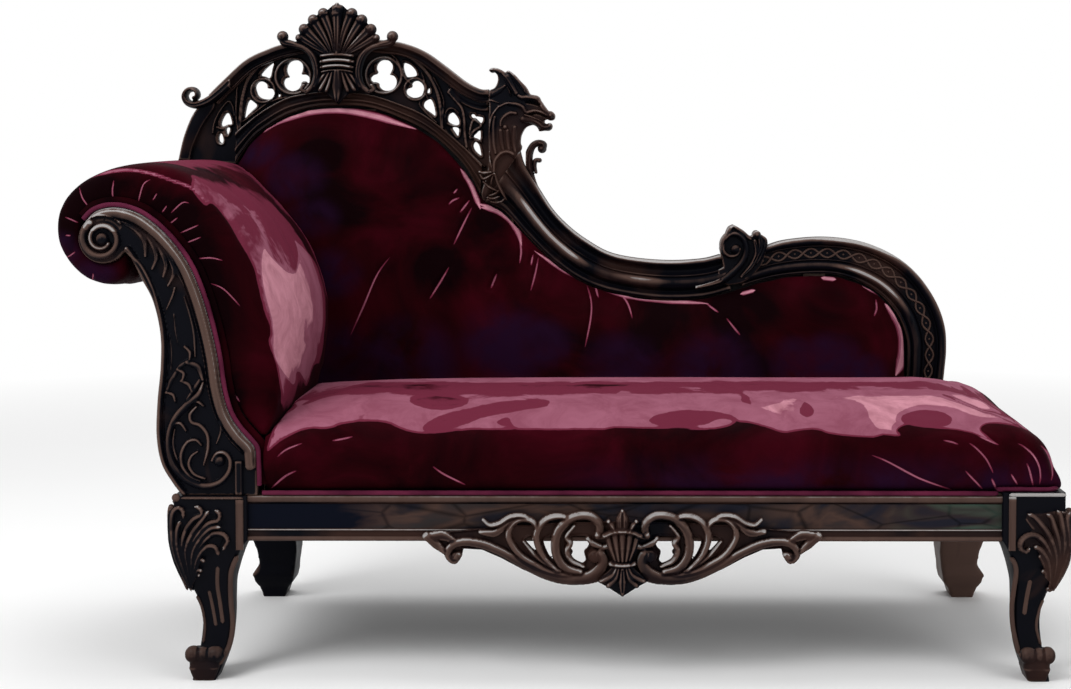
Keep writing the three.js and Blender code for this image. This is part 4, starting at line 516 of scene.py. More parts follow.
class Shells:
    """Closed shells that are gathered, and then fused into one carved piece."""

    def __init__(self, *nodes):
        self.vertices = []
        self.faces = []
        self.count = 0
        for node in nodes:
            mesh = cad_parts[node].data
            self.add(coordinates(mesh), [tuple(face.vertices) for face in mesh.polygons])

    def add(self, vertices, faces):
        self.vertices.append(np.asarray(vertices, float))
        self.faces.extend(tuple(corner + self.count for corner in face) for face in faces)
        self.count += len(vertices)

    def loft(self, rings):
        rings = np.asarray(rings, float)
        rows, sides, _ = rings.shape
        faces = [(row * sides + side, row * sides + (side + 1) % sides,
                  (row + 1) * sides + (side + 1) % sides, (row + 1) * sides + side)
                 for row in range(rows - 1) for side in range(sides)]
        faces.append(tuple(range(sides))[::-1])
        faces.append(tuple((rows - 1) * sides + side for side in range(sides)))
        volume = signed_volume(rings.reshape(-1, 3), faces)
        self.add(rings.reshape(-1, 3), faces if volume > 0 else [face[::-1] for face in faces])

    # Takes another set of shells, moved to a new place
    def take(self, other, place, turned):
        faces = [face[::-1] for face in other.faces] if turned else other.faces
        start = self.count
        points = place(np.vstack(other.vertices))
        self.vertices.append(points)
        self.faces.extend(tuple(corner + start for corner in face) for face in faces)
        self.count += len(points)

    def mapped(self, place, turned):
        made = Shells()
        made.take(self, place, turned)
        return made

    # A carved stem: an oval bar that follows a line of points, thickest where the widths say
    def stem(self, path, widths, depth, side, out, sides=10, round_ends=True):
        path = np.asarray(path, float)
        share = np.linspace(0, 1, len(path))
        widths = np.interp(share, np.linspace(0, 1, len(np.atleast_1d(widths))), np.atleast_1d(widths))
        depths = np.interp(share, np.linspace(0, 1, len(np.atleast_1d(depth))), np.atleast_1d(depth))
        if round_ends:
            run = np.r_[0, np.cumsum(np.linalg.norm(np.diff(path, axis=0), axis=1))]
            reach = np.minimum(run, run[-1] - run) / np.maximum(widths, 1e-6)
            widths = widths * np.sqrt(np.clip(1 - (1 - np.clip(reach, 0, 1)) ** 2, 0.02, 1))
        angles = np.linspace(0, 2 * math.pi, sides, endpoint=False)
        self.loft([point + np.cos(angles)[:, None] * across * width + np.sin(angles)[:, None] * away * deep
                   for point, across, away, width, deep in zip(path, side, out, widths, depths)])

    def front_stem(self, path, widths, depth, y, count=None, sides=10):
        line = smooth(path, count or 4 * len(path) + 6)
        across = left_normals(line)
        heights = np.interp(np.linspace(0, 1, len(line)), np.linspace(0, 1, len(np.atleast_1d(y))), np.atleast_1d(y))
        points = np.stack([line[:, 0], heights, line[:, 1]], 1)
        side = np.stack([across[:, 0], np.zeros(len(line)), across[:, 1]], 1)
        out = np.tile([0.0, -1.0, 0.0], (len(line), 1))
        self.stem(points, widths, depth, side, out, sides)

    def side_stem(self, path, widths, depth, x, count=None, sides=10):
        line = smooth(path, count or 4 * len(path) + 6)
        across = left_normals(line)
        points = np.stack([np.full(len(line), x), line[:, 0], line[:, 1]], 1)
        side = np.stack([np.zeros(len(line)), across[:, 0], across[:, 1]], 1)
        out = np.tile([-1.0, 0.0, 0.0], (len(line), 1))
        self.stem(points, widths, depth, side, out, sides)

    def ball(self, centre, radius, flat=1.0, rings=8, sides=14):
        angles = np.linspace(0, 2 * math.pi, sides, endpoint=False)
        rows = np.linspace(-0.97, 0.97, rings) * math.pi / 2
        self.loft([[(centre[0] + radius * math.cos(row) * math.cos(angle), centre[1] - flat * radius * math.sin(row),
                     centre[2] + radius * math.cos(row) * math.sin(angle)) for angle in angles] for row in rows])

    # Fuses the shells, softens them like carved wood and stores their wear and painted highlights
    def carve(self, name, finish, voxel, softening, nodes, slot=None, sharpness=1.0):
        piece = mesh_object(name, np.vstack(self.vertices), self.faces)
        remesh = piece.modifiers.new("fuse", "REMESH")
        remesh.mode = "VOXEL"
        remesh.voxel_size = voxel
        if softening:
            soften = piece.modifiers.new("soften", "SMOOTH")
            soften.factor = 0.5
            soften.iterations = softening
        apply_modifiers(piece)
        store_wear_and_highlight(piece.data, sharpness)
        return dress(piece, finish, nodes)


def signed_volume(points, faces):
    total = 0.0
    for face in faces:
        for corner in range(1, len(face) - 1):
            a, b, c = points[face[0]], points[face[corner]], points[face[corner + 1]]
            total += np.dot(a, np.cross(b, c))
    return total


# A moulded strip between two edges: its profile runs across in shares, and stands forward in metres
def moulding(name, finish, first, second, profile, rear, nodes):
    first, second = np.asarray(first), np.asarray(second)
    rings = []
    for start, end in zip(first, second):
        rings.append([(start[0] + (end[0] - start[0]) * across, rear - out, start[1] + (end[1] - start[1]) * across)
                      for across, out in profile])
    shells = Shells()
    shells.loft(rings)
    piece = mesh_object(name, np.vstack(shells.vertices), shells.faces)
    store_wear_and_highlight(piece.data, 1.6)
    dress(piece, finish, nodes)
    piece.data.set_sharp_from_angle(angle=math.radians(50))
    return piece


# Paints long highlights into a moulding's wear values: share of its width, their spread, where they run from and to,
# and their strength
def paint_highlights(piece, outline, marks):
    values = np.empty(len(piece.data.vertices))
    piece.data.attributes["wear_and_highlight"].data.foreach_get("value", values)
    rings = len(values) // len(outline)
    across = np.tile([point[0] for point in outline], rings)
    along = np.repeat(np.linspace(0, 1, rings), len(outline))
    for middle, spread, start, end, amount in marks:
        fade = ramp(start, start + 0.12, along) * (1 - ramp(end - 0.12, end, along))
        values += amount * np.exp(-((across - middle) / spread) ** 2) * fade
    store(piece.data, "wear_and_highlight", values)


# A profile drawn through named beads, coves and fillets, from one edge of a moulding to the other.
# Each entry is a kind, the share of the width where it ends, and the depth it ends at.
def profile(steps, depth):
    across, out = 0.0, steps[0][2]
    points = [(0.0, 0.0), (0.0, out * depth)]
    for kind, end, level in steps[1:]:
        count = 1 if kind == "line" else 7
        for index in range(1, count + 1):
            share = index / count
            x = across + (end - across) * share
            if kind == "bead":
                y = out + (level - out) * share + 0.13 * math.sin(math.pi * share) ** 0.8
            elif kind == "cove":
                y = out + (level - out) * share - 0.10 * math.sin(math.pi * share)
            elif kind == "ogee":
                y = out + (level - out) * (share - math.sin(2 * math.pi * share) / (2 * math.pi))
            else:
                y = level
            points.append((x, y * depth))
        across, out = end, level
    points.append((1.0, 0.0))
    return points


# Carved faces


def distance_to_path(grid, path, widths):
    best = np.full(len(grid), np.inf)
    ratio = np.full(len(grid), np.inf)
    along = np.zeros(len(grid))
    total = max(len(path) - 1, 1)
    for index in range(total):
        start, end = path[index], path[index + 1]
        run = end - start
        share = np.clip(((grid - start) @ run) / max(run @ run, 1e-12), 0, 1)
        distance = np.linalg.norm(grid - start - share[:, None] * run, axis=1)
        width = widths[index] + (widths[index + 1] - widths[index]) * share
        closer = distance / width < ratio
        ratio[closer] = (distance / width)[closer]
        best[closer] = (distance - width)[closer]
        along[closer] = (index + share[closer]) / total
    return best, ratio, along


def signed_distance(grid, outline):
    outline = np.asarray(outline)
    inside = np.zeros(len(grid), bool)
    nearest = np.full(len(grid), np.inf)
    for start, end in zip(outline, np.roll(outline, -1, axis=0)):
        run = end - start
        share = np.clip(((grid - start) @ run) / max(run @ run, 1e-12), 0, 1)
        nearest = np.minimum(nearest, np.linalg.norm(grid - start - share[:, None] * run, axis=1))
        crosses = (start[1] > grid[:, 1]) != (end[1] > grid[:, 1])
        if end[1] != start[1]:
            inside ^= crosses & (grid[:, 0] < (end[0] - start[0]) * (grid[:, 1] - start[1]) / (end[1] - start[1]) + start[0])
    return np.where(inside, -nearest, nearest)


class Relief:
    """A carved face: outlines, openings and rounded strokes, kept as heights over a grid of points."""

    def __init__(self, low, high, pitch):
        self.pitch = pitch
        across = np.arange(low[0], high[0] + pitch, pitch)
        up = np.arange(low[1], high[1] + pitch, pitch)
        self.shape = (len(across), len(up))
        self.grid = np.stack(np.meshgrid(across, up, indexing="ij"), -1).reshape(-1, 2)
        self.reach = np.full(len(self.grid), 1.0)
        self.height = np.zeros(len(self.grid))
        self.tint = np.zeros(len(self.grid))

    def outline(self, points):
        self.reach = np.minimum(self.reach, signed_distance(self.grid, points))

    def opening(self, points):
        self.reach = np.maximum(self.reach, -signed_distance(self.grid, points))

    def near(self, path, margin):
        low, high = path.min(0) - margin, path.max(0) + margin
        return np.flatnonzero(((self.grid >= low) & (self.grid <= high)).all(1))

    # A rounded stroke along a smooth line. Where it grows, it adds to the outline too.
    def stroke(self, points, widths, crests, base=0.0, grows=False, section=0.5, steps=None, straight=False,
               tint=0.0):
        points = np.asarray(points, float)
        path = points if straight else smooth(points, steps or 6 * len(points))
        share = np.linspace(0, 1, len(path))
        widths = np.interp(share, np.linspace(0, 1, len(np.atleast_1d(widths))), np.atleast_1d(widths))
        near = self.near(path, widths.max() + 2 * self.pitch)
        if not len(near):
            return
        gap_to, ratio, along = distance_to_path(self.grid[near], path, widths)
        crests = np.interp(along, np.linspace(0, 1, len(np.atleast_1d(crests))), np.atleast_1d(crests))
        inside = ratio < 1
        raised = base + crests * (1 - np.clip(ratio, 0, 1) ** 2) ** section
        self.height[near[inside]] = np.maximum(self.height[near[inside]], raised[inside])
        self.tint[near[inside]] = np.maximum(self.tint[near[inside]], tint)
        if grows:
            self.reach[near] = np.minimum(self.reach[near], gap_to)

    # A cut along a line, such as a vein, a gouge between flutes or the quirk beside a bead
    def groove(self, points, widths, depth, steps=None, section=1.0):
        path = smooth(points, steps or 6 * len(points))
        share = np.linspace(0, 1, len(path))
        widths = np.interp(share, np.linspace(0, 1, len(np.atleast_1d(widths))), np.atleast_1d(widths))
        near = self.near(path, widths.max() + self.pitch)
        if not len(near):
            return
        _, ratio, _ = distance_to_path(self.grid[near], path, widths)
        self.height[near] -= depth * np.clip(1 - ratio, 0, 1) ** section

    def ball(self, centre, radius, height, base=0.0, grows=False):
        centre = np.asarray(centre, float)
        near = self.near(centre[None], radius + 2 * self.pitch)
        distance = np.linalg.norm(self.grid[near] - centre, axis=1)
        raised = base + height * np.sqrt(np.clip(1 - (distance / radius) ** 2, 0, 1))
        self.height[near] = np.where(distance < radius, np.maximum(self.height[near], raised), self.height[near])
        if grows:
            self.reach[near] = np.minimum(self.reach[near], distance - radius)

    # A leaf: a broad stroke with a hollow along its middle and raised, rolled edges
    def leaf(self, points, widths, crest, base=0.0, grows=False, vein=0.45):
        self.stroke(points, widths, crest, base, grows, 0.35)
        widths = np.atleast_1d(widths).astype(float)
        self.groove(points, widths * 0.55, crest * vein, section=0.8)

    # Closes the relief with a flat or a matching back, and makes it a piece
    def carve(self, name, finish, front, rear, nodes, slot=None, bevel=0.002, two_sided=False, sharpness=1.0):
        columns, rows = self.shape
        reach = self.reach.reshape(self.shape)
        slope = np.stack(np.gradient(reach, self.pitch), -1).reshape(-1, 2)
        slope /= np.maximum(np.linalg.norm(slope, axis=1, keepdims=True), 1e-9)
        inside = reach < 0
        cell = inside[:-1, :-1] | inside[1:, :-1] | inside[:-1, 1:] | inside[1:, 1:]
        index = np.arange(columns * rows).reshape(self.shape)
        quads = np.stack([index[:-1, :-1], index[1:, :-1], index[1:, 1:], index[:-1, 1:]], -1)[cell]
        used = np.unique(quads)
        placed = self.grid.copy()
        beyond = used[self.reach[used] > 0]
        placed[beyond] -= np.clip(self.reach[beyond], 0, 1.5 * self.pitch)[:, None] * slope[beyond]
        depth = np.clip(-self.reach, 0, None)
        rounding = bevel * (1 - np.sqrt(np.clip(1 - (1 - np.clip(depth / bevel, 0, 1)) ** 2, 0, 1)))
        fall = np.minimum(1, np.clip(depth / (2 * bevel), 0, 1) * 0.6 + 0.4)
        height = self.height * fall - rounding
        number = np.full(columns * rows, -1)
        number[used] = np.arange(len(used))
        count = len(used)
        ahead = np.stack([placed[used, 0], front - height[used], placed[used, 1]], 1)
        behind = ahead.copy()
        behind[:, 1] = rear + (height[used] if two_sided else -rounding[used])
        quads = number[quads]
        faces = [*quads[:, ::1], *(quads + count)[:, ::-1]]
        edges = np.concatenate([quads[:, [0, 1]], quads[:, [1, 2]], quads[:, [2, 3]], quads[:, [3, 0]]])
        keys = np.sort(edges, 1)
        _, first, tally = np.unique(keys[:, 0] * count + keys[:, 1], return_index=True, return_counts=True)
        rim = edges[first[tally == 1]]
        faces += [(b, a, a + count, b + count) for a, b in rim]
        piece = mesh_object(name, np.vstack([ahead, behind]), faces)
        if signed_volume_fast(piece.data) < 0:
            piece.data.flip_normals()
        store_wear_and_highlight(piece.data, sharpness, np.r_[self.tint[used], self.tint[used]])
        store(piece.data, "warm", np.r_[self.tint[used], self.tint[used]] > 0.01)
        dress(piece, finish, nodes)
        piece.data.set_sharp_from_angle(angle=math.radians(60))
        return piece


def signed_volume_fast(mesh):
    mesh.calc_loop_triangles()
    corners = np.empty(len(mesh.loop_triangles) * 3, int)
    mesh.loop_triangles.foreach_get("vertices", corners)
    a, b, c = (coordinates(mesh)[corners.reshape(-1, 3)[:, side]] for side in range(3))
    return (a * np.cross(b, c)).sum()


# The camera, and the line of sight through a point of the picture

PICTURE = (1071, 689)
CAMERA_PLACE = np.array([0.0929, -3.6402, 0.9614])
CAMERA_PITCH = math.radians(2.302)
CAMERA_YAW = math.radians(0.304)
CAMERA_LENS = 63.230
CAMERA_SHIFT = (-0.0610, -0.12)


# Points of the picture, seen through a zoomed crop, on an upright plane at the given depth
def traced(points, depth, origin=(0, 0), zoom=1.0):
    focal = CAMERA_LENS / 36 * PICTURE[0]
    right = np.array([math.cos(CAMERA_YAW), math.sin(CAMERA_YAW), 0])
    level = np.array([-math.sin(CAMERA_YAW), math.cos(CAMERA_YAW), 0])
    ahead = level * math.cos(CAMERA_PITCH) + np.array([0, 0, -math.sin(CAMERA_PITCH)])
    upward = np.cross(right, ahead)
    found = []
    for point in points:
        px, py = origin[0] + point[0] / zoom, origin[1] + point[1] / zoom
        across = (px - PICTURE[0] / 2 + CAMERA_SHIFT[0] * PICTURE[0]) / focal
        up = (PICTURE[1] / 2 - py + CAMERA_SHIFT[1] * PICTURE[0]) / focal
        ray = ahead + across * right + up * upward
        place = CAMERA_PLACE + ray * (depth - CAMERA_PLACE[1]) / ray[1]
        found.append((place[0], place[2]))
    return np.array(found)


# Crest: two pierced boards of tracery, traced through two zoomed crops of the picture

LEFT_CROP = ((170, 40), 9.2235)
RIGHT_CROP = ((330, 30), 9.2235)
FINIAL_CROP = ((440, 50), 9.2214)
CREST_CROP = ((150, 0), 4.48)
ARM_CROP = ((40, 150), 4.3567)
CROP_POINT = 1 / 9.2235 / 474.6

LEFT_OPENINGS = [
    [(1155, 185), (1195, 195), (1222, 225), (1225, 270), (1212, 315), (1245, 318), (1278, 335), (1288, 365),
     (1282, 395), (1262, 395), (1245, 380), (1215, 388), (1205, 425), (1180, 455), (1135, 470), (1085, 460),
     (1050, 430), (1040, 390), (1055, 355), (1092, 340), (1075, 310), (1068, 270), (1080, 225), (1110, 195)],
    [(955, 205), (945, 260), (920, 350), (870, 335), (830, 325), (850, 290), (900, 240)],
    [(780, 440), (790, 405), (820, 382), (860, 385), (895, 410), (900, 445), (940, 450), (962, 480), (955, 520),
     (925, 545), (870, 545), (825, 530), (800, 505), (790, 480)],
    [(988, 505), (1008, 498), (1018, 512), (1004, 528), (990, 522)],
    [(735, 550), (770, 570), (802, 605), (770, 640), (720, 690), (682, 730), (685, 670), (700, 600), (715, 565)],
    [(530, 672), (550, 690), (565, 740), (568, 775), (530, 780), (495, 795), (465, 790), (465, 755), (485, 710),
     (505, 680)],
    [(550, 810), (548, 840), (525, 880), (508, 840), (515, 810)],
    [(455, 862), (475, 865), (490, 905), (488, 945), (465, 950), (445, 935), (440, 895)],
]
RIGHT_OPENINGS = [
    [(502, 275), (545, 285), (572, 315), (578, 350), (560, 395), (553, 412), (590, 425), (612, 460), (610, 505),
     (580, 545), (530, 560), (480, 550), (450, 520), (447, 495), (425, 480), (400, 480), (375, 465), (372, 440),
     (395, 415), (425, 405), (437, 385), (425, 360), (428, 325), (450, 292), (475, 278)],
    [(680, 303), (700, 305), (745, 325), (780, 360), (798, 395), (795, 422), (750, 432), (705, 430), (683, 385),
     (674, 340)],
    [(770, 475), (800, 468), (840, 485), (865, 525), (862, 565), (848, 600), (820, 618), (780, 625), (740, 615),
     (705, 590), (700, 560), (715, 540), (745, 530), (755, 515), (752, 495)],
    [(912, 530), (922, 575), (890, 578)],
    [(925, 637), (950, 670), (968, 740), (968, 793), (930, 765), (880, 730), (860, 700), (868, 665), (895, 645)],
    [(1135, 762), (1165, 790), (1188, 830), (1188, 872), (1150, 875), (1110, 860), (1085, 835), (1090, 790),
     (1110, 768)],
    [(1125, 898), (1185, 905), (1187, 950), (1178, 980), (1150, 945)],
    [(1300, 780), (1330, 778), (1345, 795), (1400, 805), (1412, 820), (1395, 860), (1370, 840), (1340, 812),
     (1310, 808)],
    [(1385, 925), (1385, 1010), (1355, 1000), (1320, 985), (1345, 955)],
    [(1350, 1035), (1378, 1070), (1395, 1160), (1370, 1145), (1335, 1110), (1320, 1070), (1330, 1040)],
]
# Ribs of the tracery: a line, its half width in points of the crop, and its crest in metres
LEFT_RIBS = [
    ([(1080, 112), (900, 180), (800, 270), (725, 370), (690, 470), (665, 600), (652, 750), (640, 850)], 20, 0.011),
    ([(625, 440), (618, 560), (616, 700), (635, 850)], 11, 0.009),
    ([(400, 860), (410, 780), (440, 700), (490, 620), (545, 567), (582, 612), (600, 700)], 10, 0.008),
    ([(430, 805), (500, 822), (575, 782)], 8, 0.006),
    ([(505, 830), (520, 890), (560, 850)], 6, 0.004),
    ([(820, 345), (880, 340), (935, 372)], 9, 0.007),
    ([(665, 760), (760, 690), (880, 600), (1000, 545), (1150, 520)], 9, 0.006),
]
LEFT_RINGS = [((1140, 338), 160, 17, 0.011), ((862, 468), 108, 13, 0.009)]
RIGHT_RIBS = [
    ([(540, 195), (690, 228), (790, 290), (900, 400), (975, 530), (1012, 660), (1030, 780), (1035, 905)], 20, 0.011),
    ([(960, 440), (1020, 560), (1050, 660), (1047, 780), (1040, 900)], 9, 0.009),
    ([(520, 200), (590, 245), (640, 310), (662, 380), (690, 440), (752, 497)], 11, 0.010),
    ([(1095, 575), (1170, 660), (1220, 730), (1240, 830), (1245, 950), (1262, 1080)], 16, 0.010),
    ([(1060, 880), (1062, 800), (1080, 745), (1110, 724), (1150, 732), (1192, 770)], 9, 0.008),
    ([(1075, 860), (1130, 885), (1195, 890)], 9, 0.006),
    ([(835, 640), (832, 700), (900, 780), (985, 855)], 9, 0.007),
    ([(1060, 910), (1130, 1000), (1215, 1085)], 8, 0.007),
    ([(1280, 1100), (1340, 1190), (1430, 1260)], 9, 0.007),
    ([(1295, 1000), (1340, 992), (1400, 1035)], 9, 0.007),
    ([(1290, 960), (1300, 890), (1330, 830), (1395, 880), (1330, 930), (1292, 985)], 14, 0.008),
    ([(845, 395), (872, 470), (878, 560), (905, 640)], 9, 0.007),
]
RIGHT_RINGS = [((500, 420), 165, 17, 0.011), ((790, 548), 100, 13, 0.009)]
# Plain raised bands: the post's head at the left, and the leaves that sweep to the finial at the right
LEFT_BANDS = [([(330, 590), (240, 720), (170, 860), (118, 1000), (90, 1190)], 95, 0.014)]
RIGHT_BANDS = [([(1120, 470), (1210, 590), (1340, 660), (1470, 660), (1600, 600)], 42, 0.012),
               ([(1110, 560), (1210, 650), (1330, 710), (1450, 730), (1560, 690)], 22, 0.008)]


def closed_smooth(points, steps=6):
    points = np.asarray(points, float)
    before, after, beyond = np.roll(points, 1, 0), np.roll(points, -1, 0), np.roll(points, -2, 0)
    t = (np.arange(steps) / steps)[None, :, None]
    p0, p1, p2, p3 = (side[:, None, :] for side in (before, points, after, beyond))
    curve = 0.5 * (2 * p1 + (p2 - p0) * t + (2 * p0 - 5 * p1 + 4 * p2 - p3) * t ** 2
                   + (3 * p1 - p0 - 3 * p2 + p3) * t ** 3)
    return curve.reshape(-1, 2)


def crest_board(name, edge, openings, ribs, rings, bands, crop, finish="ebony"):
    edge = np.asarray(edge)
    relief = Relief(edge.min(0) - 0.004, edge.max(0) + 0.004, 0.0016)
    relief.outline(edge)
    around = np.full(len(relief.grid), 1.0)
    for opening in openings:
        line = closed_smooth(traced(opening, BOARD_FRONT, *crop), 3)
        near = relief.near(line, 0.012)
        distance = signed_distance(relief.grid[near], line)
        around[near] = np.minimum(around[near], np.abs(distance))
        relief.reach[near] = np.maximum(relief.reach[near], -distance)
    relief.height += 0.0045 * np.exp(-((around - 0.0035) / 0.0016) ** 2) - 0.002
    for line, width, crest in ribs:
        path = traced(line, BOARD_FRONT, *crop)
        relief.stroke(path, width * CROP_POINT, crest)
        if width > 12:
            relief.groove(path, width * CROP_POINT * 0.4, 0.0025)
    for centre, radius, width, crest in rings:
        turn = [(centre[0] + radius * math.cos(angle), centre[1] + radius * math.sin(angle))
                for angle in np.linspace(0, 2 * math.pi, 40)]
        relief.stroke(traced(turn, BOARD_FRONT, *crop), width * CROP_POINT, crest, straight=True)
    for line, width, crest in bands:
        relief.stroke(traced(line, BOARD_FRONT, *crop), width * CROP_POINT, crest, section=0.25)
    relief.height = np.where(around < 0.0012, np.minimum(relief.height, 0.002), relief.height)
    return relief.carve(name, finish, BOARD_FRONT, BACK_REAR, (name,), slot="ebony", bevel=0.0015, sharpness=1.3)


seam = places([(0.403, 0.805), (0.4035, 0.72), (0.4035, 0.64), (0.399, 0.6), (0.3925, 0.565)], on_back)
centre_x = on_back((0.207, 0))[0]
left_arch = arch_outer[arch_outer[:, 0] < centre_x - GAP]
right_arch = arch_outer[(arch_outer[:, 0] > centre_x + GAP) & (arch_outer[:, 0] < seam[0, 0] - GAP)]
left_pad = pad_edge[pad_edge[:, 0] < centre_x - GAP]
right_pad = pad_edge[(pad_edge[:, 0] > centre_x + GAP) & (pad_edge[:, 0] < seam[-1, 0])]
crest_board("crest_board_left", [*left_arch, (centre_x - GAP, on_back((0, 0.924))[1]),
                                 (centre_x - GAP, on_back((0, 0.768))[1]), *left_pad[::-1]],
            LEFT_OPENINGS, LEFT_RIBS, LEFT_RINGS, LEFT_BANDS, LEFT_CROP)
crest_board("crest_board_right", [(centre_x + GAP, on_back((0, 0.924))[1]), *right_arch, *seam,
                                  *right_pad[::-1], (centre_x + GAP, on_back((0, 0.768))[1])],
            RIGHT_OPENINGS, RIGHT_RIBS, RIGHT_RINGS, RIGHT_BANDS, RIGHT_CROP)

# The crest's rail: a broad rounded bead over a hollow, ending in a rolled ear at the left
CREST_PROFILE = profile([("line", 0, 0.62), ("bead", 0.40, 0.86), ("line", 0.46, 0.60), ("cove", 0.80, 0.46),
                         ("line", 0.86, 0.64), ("bead", 1.0, 0.55)], 0.032)
start = int(np.argmax(arch_outer[:, 0] > on_back((0.036, 0))[0]))
moulding("crest_rail", "brown_ebony", arch_outer[start:], parallel(arch_outer, -0.027)[start:], CREST_PROFILE,
         BOARD_FRONT - GAP, ("crest_rail",))
EAR = [(560, 395), (470, 480), (380, 550), (300, 588), (230, 600), (165, 575), (140, 520), (165, 468), (215, 455),
       (252, 480), (255, 520), (232, 535)]
ear = Relief((-0.86, 1.02), (-0.70, 1.15), 0.0014)
ear_line = traced(EAR, 0.29, *LEFT_CROP)
ear.stroke(ear_line, np.array([48, 48, 46, 42, 40, 36, 33, 30, 27, 24, 20, 22]) * CROP_POINT, [0.016, 0.02, 0.02, 0.022],
           grows=True)
ear.groove(ear_line[:9], 15 * CROP_POINT, 0.004)
ear.carve("crest_ear", "ebony", 0.284, 0.2997, (), bevel=0.002)

# The moulding between the tracery and the upholstery
ARCH_PROFILE = profile([("line", 0, 0.50), ("bead", 0.13, 0.55), ("line", 0.17, 0.42), ("cove", 0.46, 0.50),
                        ("line", 0.50, 0.62), ("bead", 0.66, 0.62), ("line", 0.70, 0.50), ("ogee", 0.88, 0.66),
                        ("bead", 1.0, 0.5)], 0.032)
moulding("inner_arch_moulding", "brown_ebony", arch_inner, pad_edge, ARCH_PROFILE, BOARD_FRONT - GAP,
         ("inner_arch_moulding",))

# The rail that sweeps down from the crest, and the round-ended rail that rises at the right
SLOPE_PROFILE = profile([("line", 0, 0.86), ("bead", 0.14, 0.90), ("line", 0.17, 0.76), ("cove", 0.34, 0.70),
                         ("line", 0.36, 0.80), ("bead", 0.42, 0.86), ("bead", 0.72, 0.86), ("line", 0.75, 0.70),
                         ("cove", 0.86, 0.72), ("line", 0.88, 0.86), ("bead", 1.0, 0.78)], 0.047)
slope_piece = moulding("slope_rail", "ebony", slope_top, slope_bottom, SLOPE_PROFILE, BACK_REAR, ("slope_rail",))
# Painted highlights along the slope rail's beads and edges
paint_highlights(slope_piece, SLOPE_PROFILE, [(0.52, 0.09, 0.04, 0.50, 0.56), (0.735, 0.010, 0.05, 0.95, 0.60),
                                    (0.50, 0.10, 0.55, 0.80, 0.40), (0.03, 0.03, 0.1, 0.9, 0.30)])
HUMP_PROFILE = profile([("line", 0, 0.84), ("bead", 0.19, 0.90), ("line", 0.21, 0.78), ("bead", 0.26, 0.78),
                        ("line", 0.28, 0.66), ("line", 0.56, 0.66), ("line", 0.58, 0.78), ("bead", 0.63, 0.80),
                        ("bead", 0.88, 0.86), ("line", 0.90, 0.74), ("bead", 1.0, 0.74)], 0.047)
hump_piece = moulding("end_hump_rail", "ebony", hump_outer, hump_inner, HUMP_PROFILE, BACK_REAR,
                      ("end_hump_rail",))
paint_highlights(hump_piece, HUMP_PROFILE, [(0.05, 0.04, 0.15, 0.45, 0.40), (0.76, 0.05, 0.25, 0.60, 0.56)])


# The laced ribbon in the channel of the end rail: two strands that cross, over a row of small beads
def lace():
    gathered = Shells()
    inset = (0.30, 0.55)
    last = int(len(hump_outer) * 0.86)
    outer, inner = hump_outer[3:last], hump_inner[3:last]
    centre = outer + (inner - outer) * sum(inset) / 2
    along = np.r_[0, np.cumsum(np.linalg.norm(np.diff(centre, axis=0), axis=1))]
    crossings = 17
    count = crossings * 12
    place = np.linspace(0, along[-1], count)
    line = np.stack([np.interp(place, along, centre[:, axis]) for axis in range(2)], 1)
    half = np.interp(place, along, np.linalg.norm(inner - outer, axis=1)) * (inset[1] - inset[0]) / 2 * 0.82
    normals = left_normals(line)
    phase = np.arange(count) / 12 * math.pi
    level = BACK_REAR - 0.047 * 0.66
    for sign in (1, -1):
        wave = line + normals * (sign * half * np.sin(phase))[:, None]
        over = level - 0.0016 - 0.0012 * sign * np.cos(phase)
        across = left_normals(wave)
        points = np.stack([wave[:, 0], over, wave[:, 1]], 1)
        side = np.stack([across[:, 0], np.zeros(count), across[:, 1]], 1)
        gathered.stem(points, 0.0021, 0.0026, side, np.tile([0.0, -1.0, 0.0], (count, 1)), sides=8)
    for index in range(6, count, 12):
        point = line[index]
        gathered.ball((point[0], level, point[1]), 0.0022, 1.2, rings=5, sides=8)
    piece = mesh_object("end_rail_lace", np.vstack(gathered.vertices), gathered.faces)
    store_wear_and_highlight(piece.data, 1.0)
    wear_and_highlight = np.full(len(piece.data.vertices), 0.85)
    store(piece.data, "wear_and_highlight", wear_and_highlight)
    dress(piece, "ebony", nodes=("end_rail_lace",))


lace()

# The beast head that ends the crest: a swept horn, a brow, an open jaw, and a fluted neck in a collar
FINIAL_OUTLINE = [
    (450, 185), (470, 165), (520, 165), (570, 185), (605, 207), (612, 195), (630, 188), (660, 205), (700, 240),
    (740, 285), (780, 325), (805, 360), (825, 400), (850, 412), (890, 418), (915, 435), (930, 465), (950, 495),
    (975, 530), (1000, 560), (1030, 565), (1055, 590), (1060, 620), (1045, 645), (1010, 650), (985, 640),
    (960, 655), (975, 680), (1015, 672), (1035, 695), (1030, 725), (1005, 745), (960, 745), (915, 750),
    (905, 730), (885, 705), (855, 692), (820, 700), (790, 715), (765, 750), (745, 800), (740, 860), (748, 918),
    (647, 1065), (527, 1240), (419, 1397), (382, 1322), (424, 1184), (452, 1040), (454, 900), (454, 700),
    (454, 520), (452, 380), (500, 350), (530, 290),
    (528, 235), (500, 205), (470, 207)]
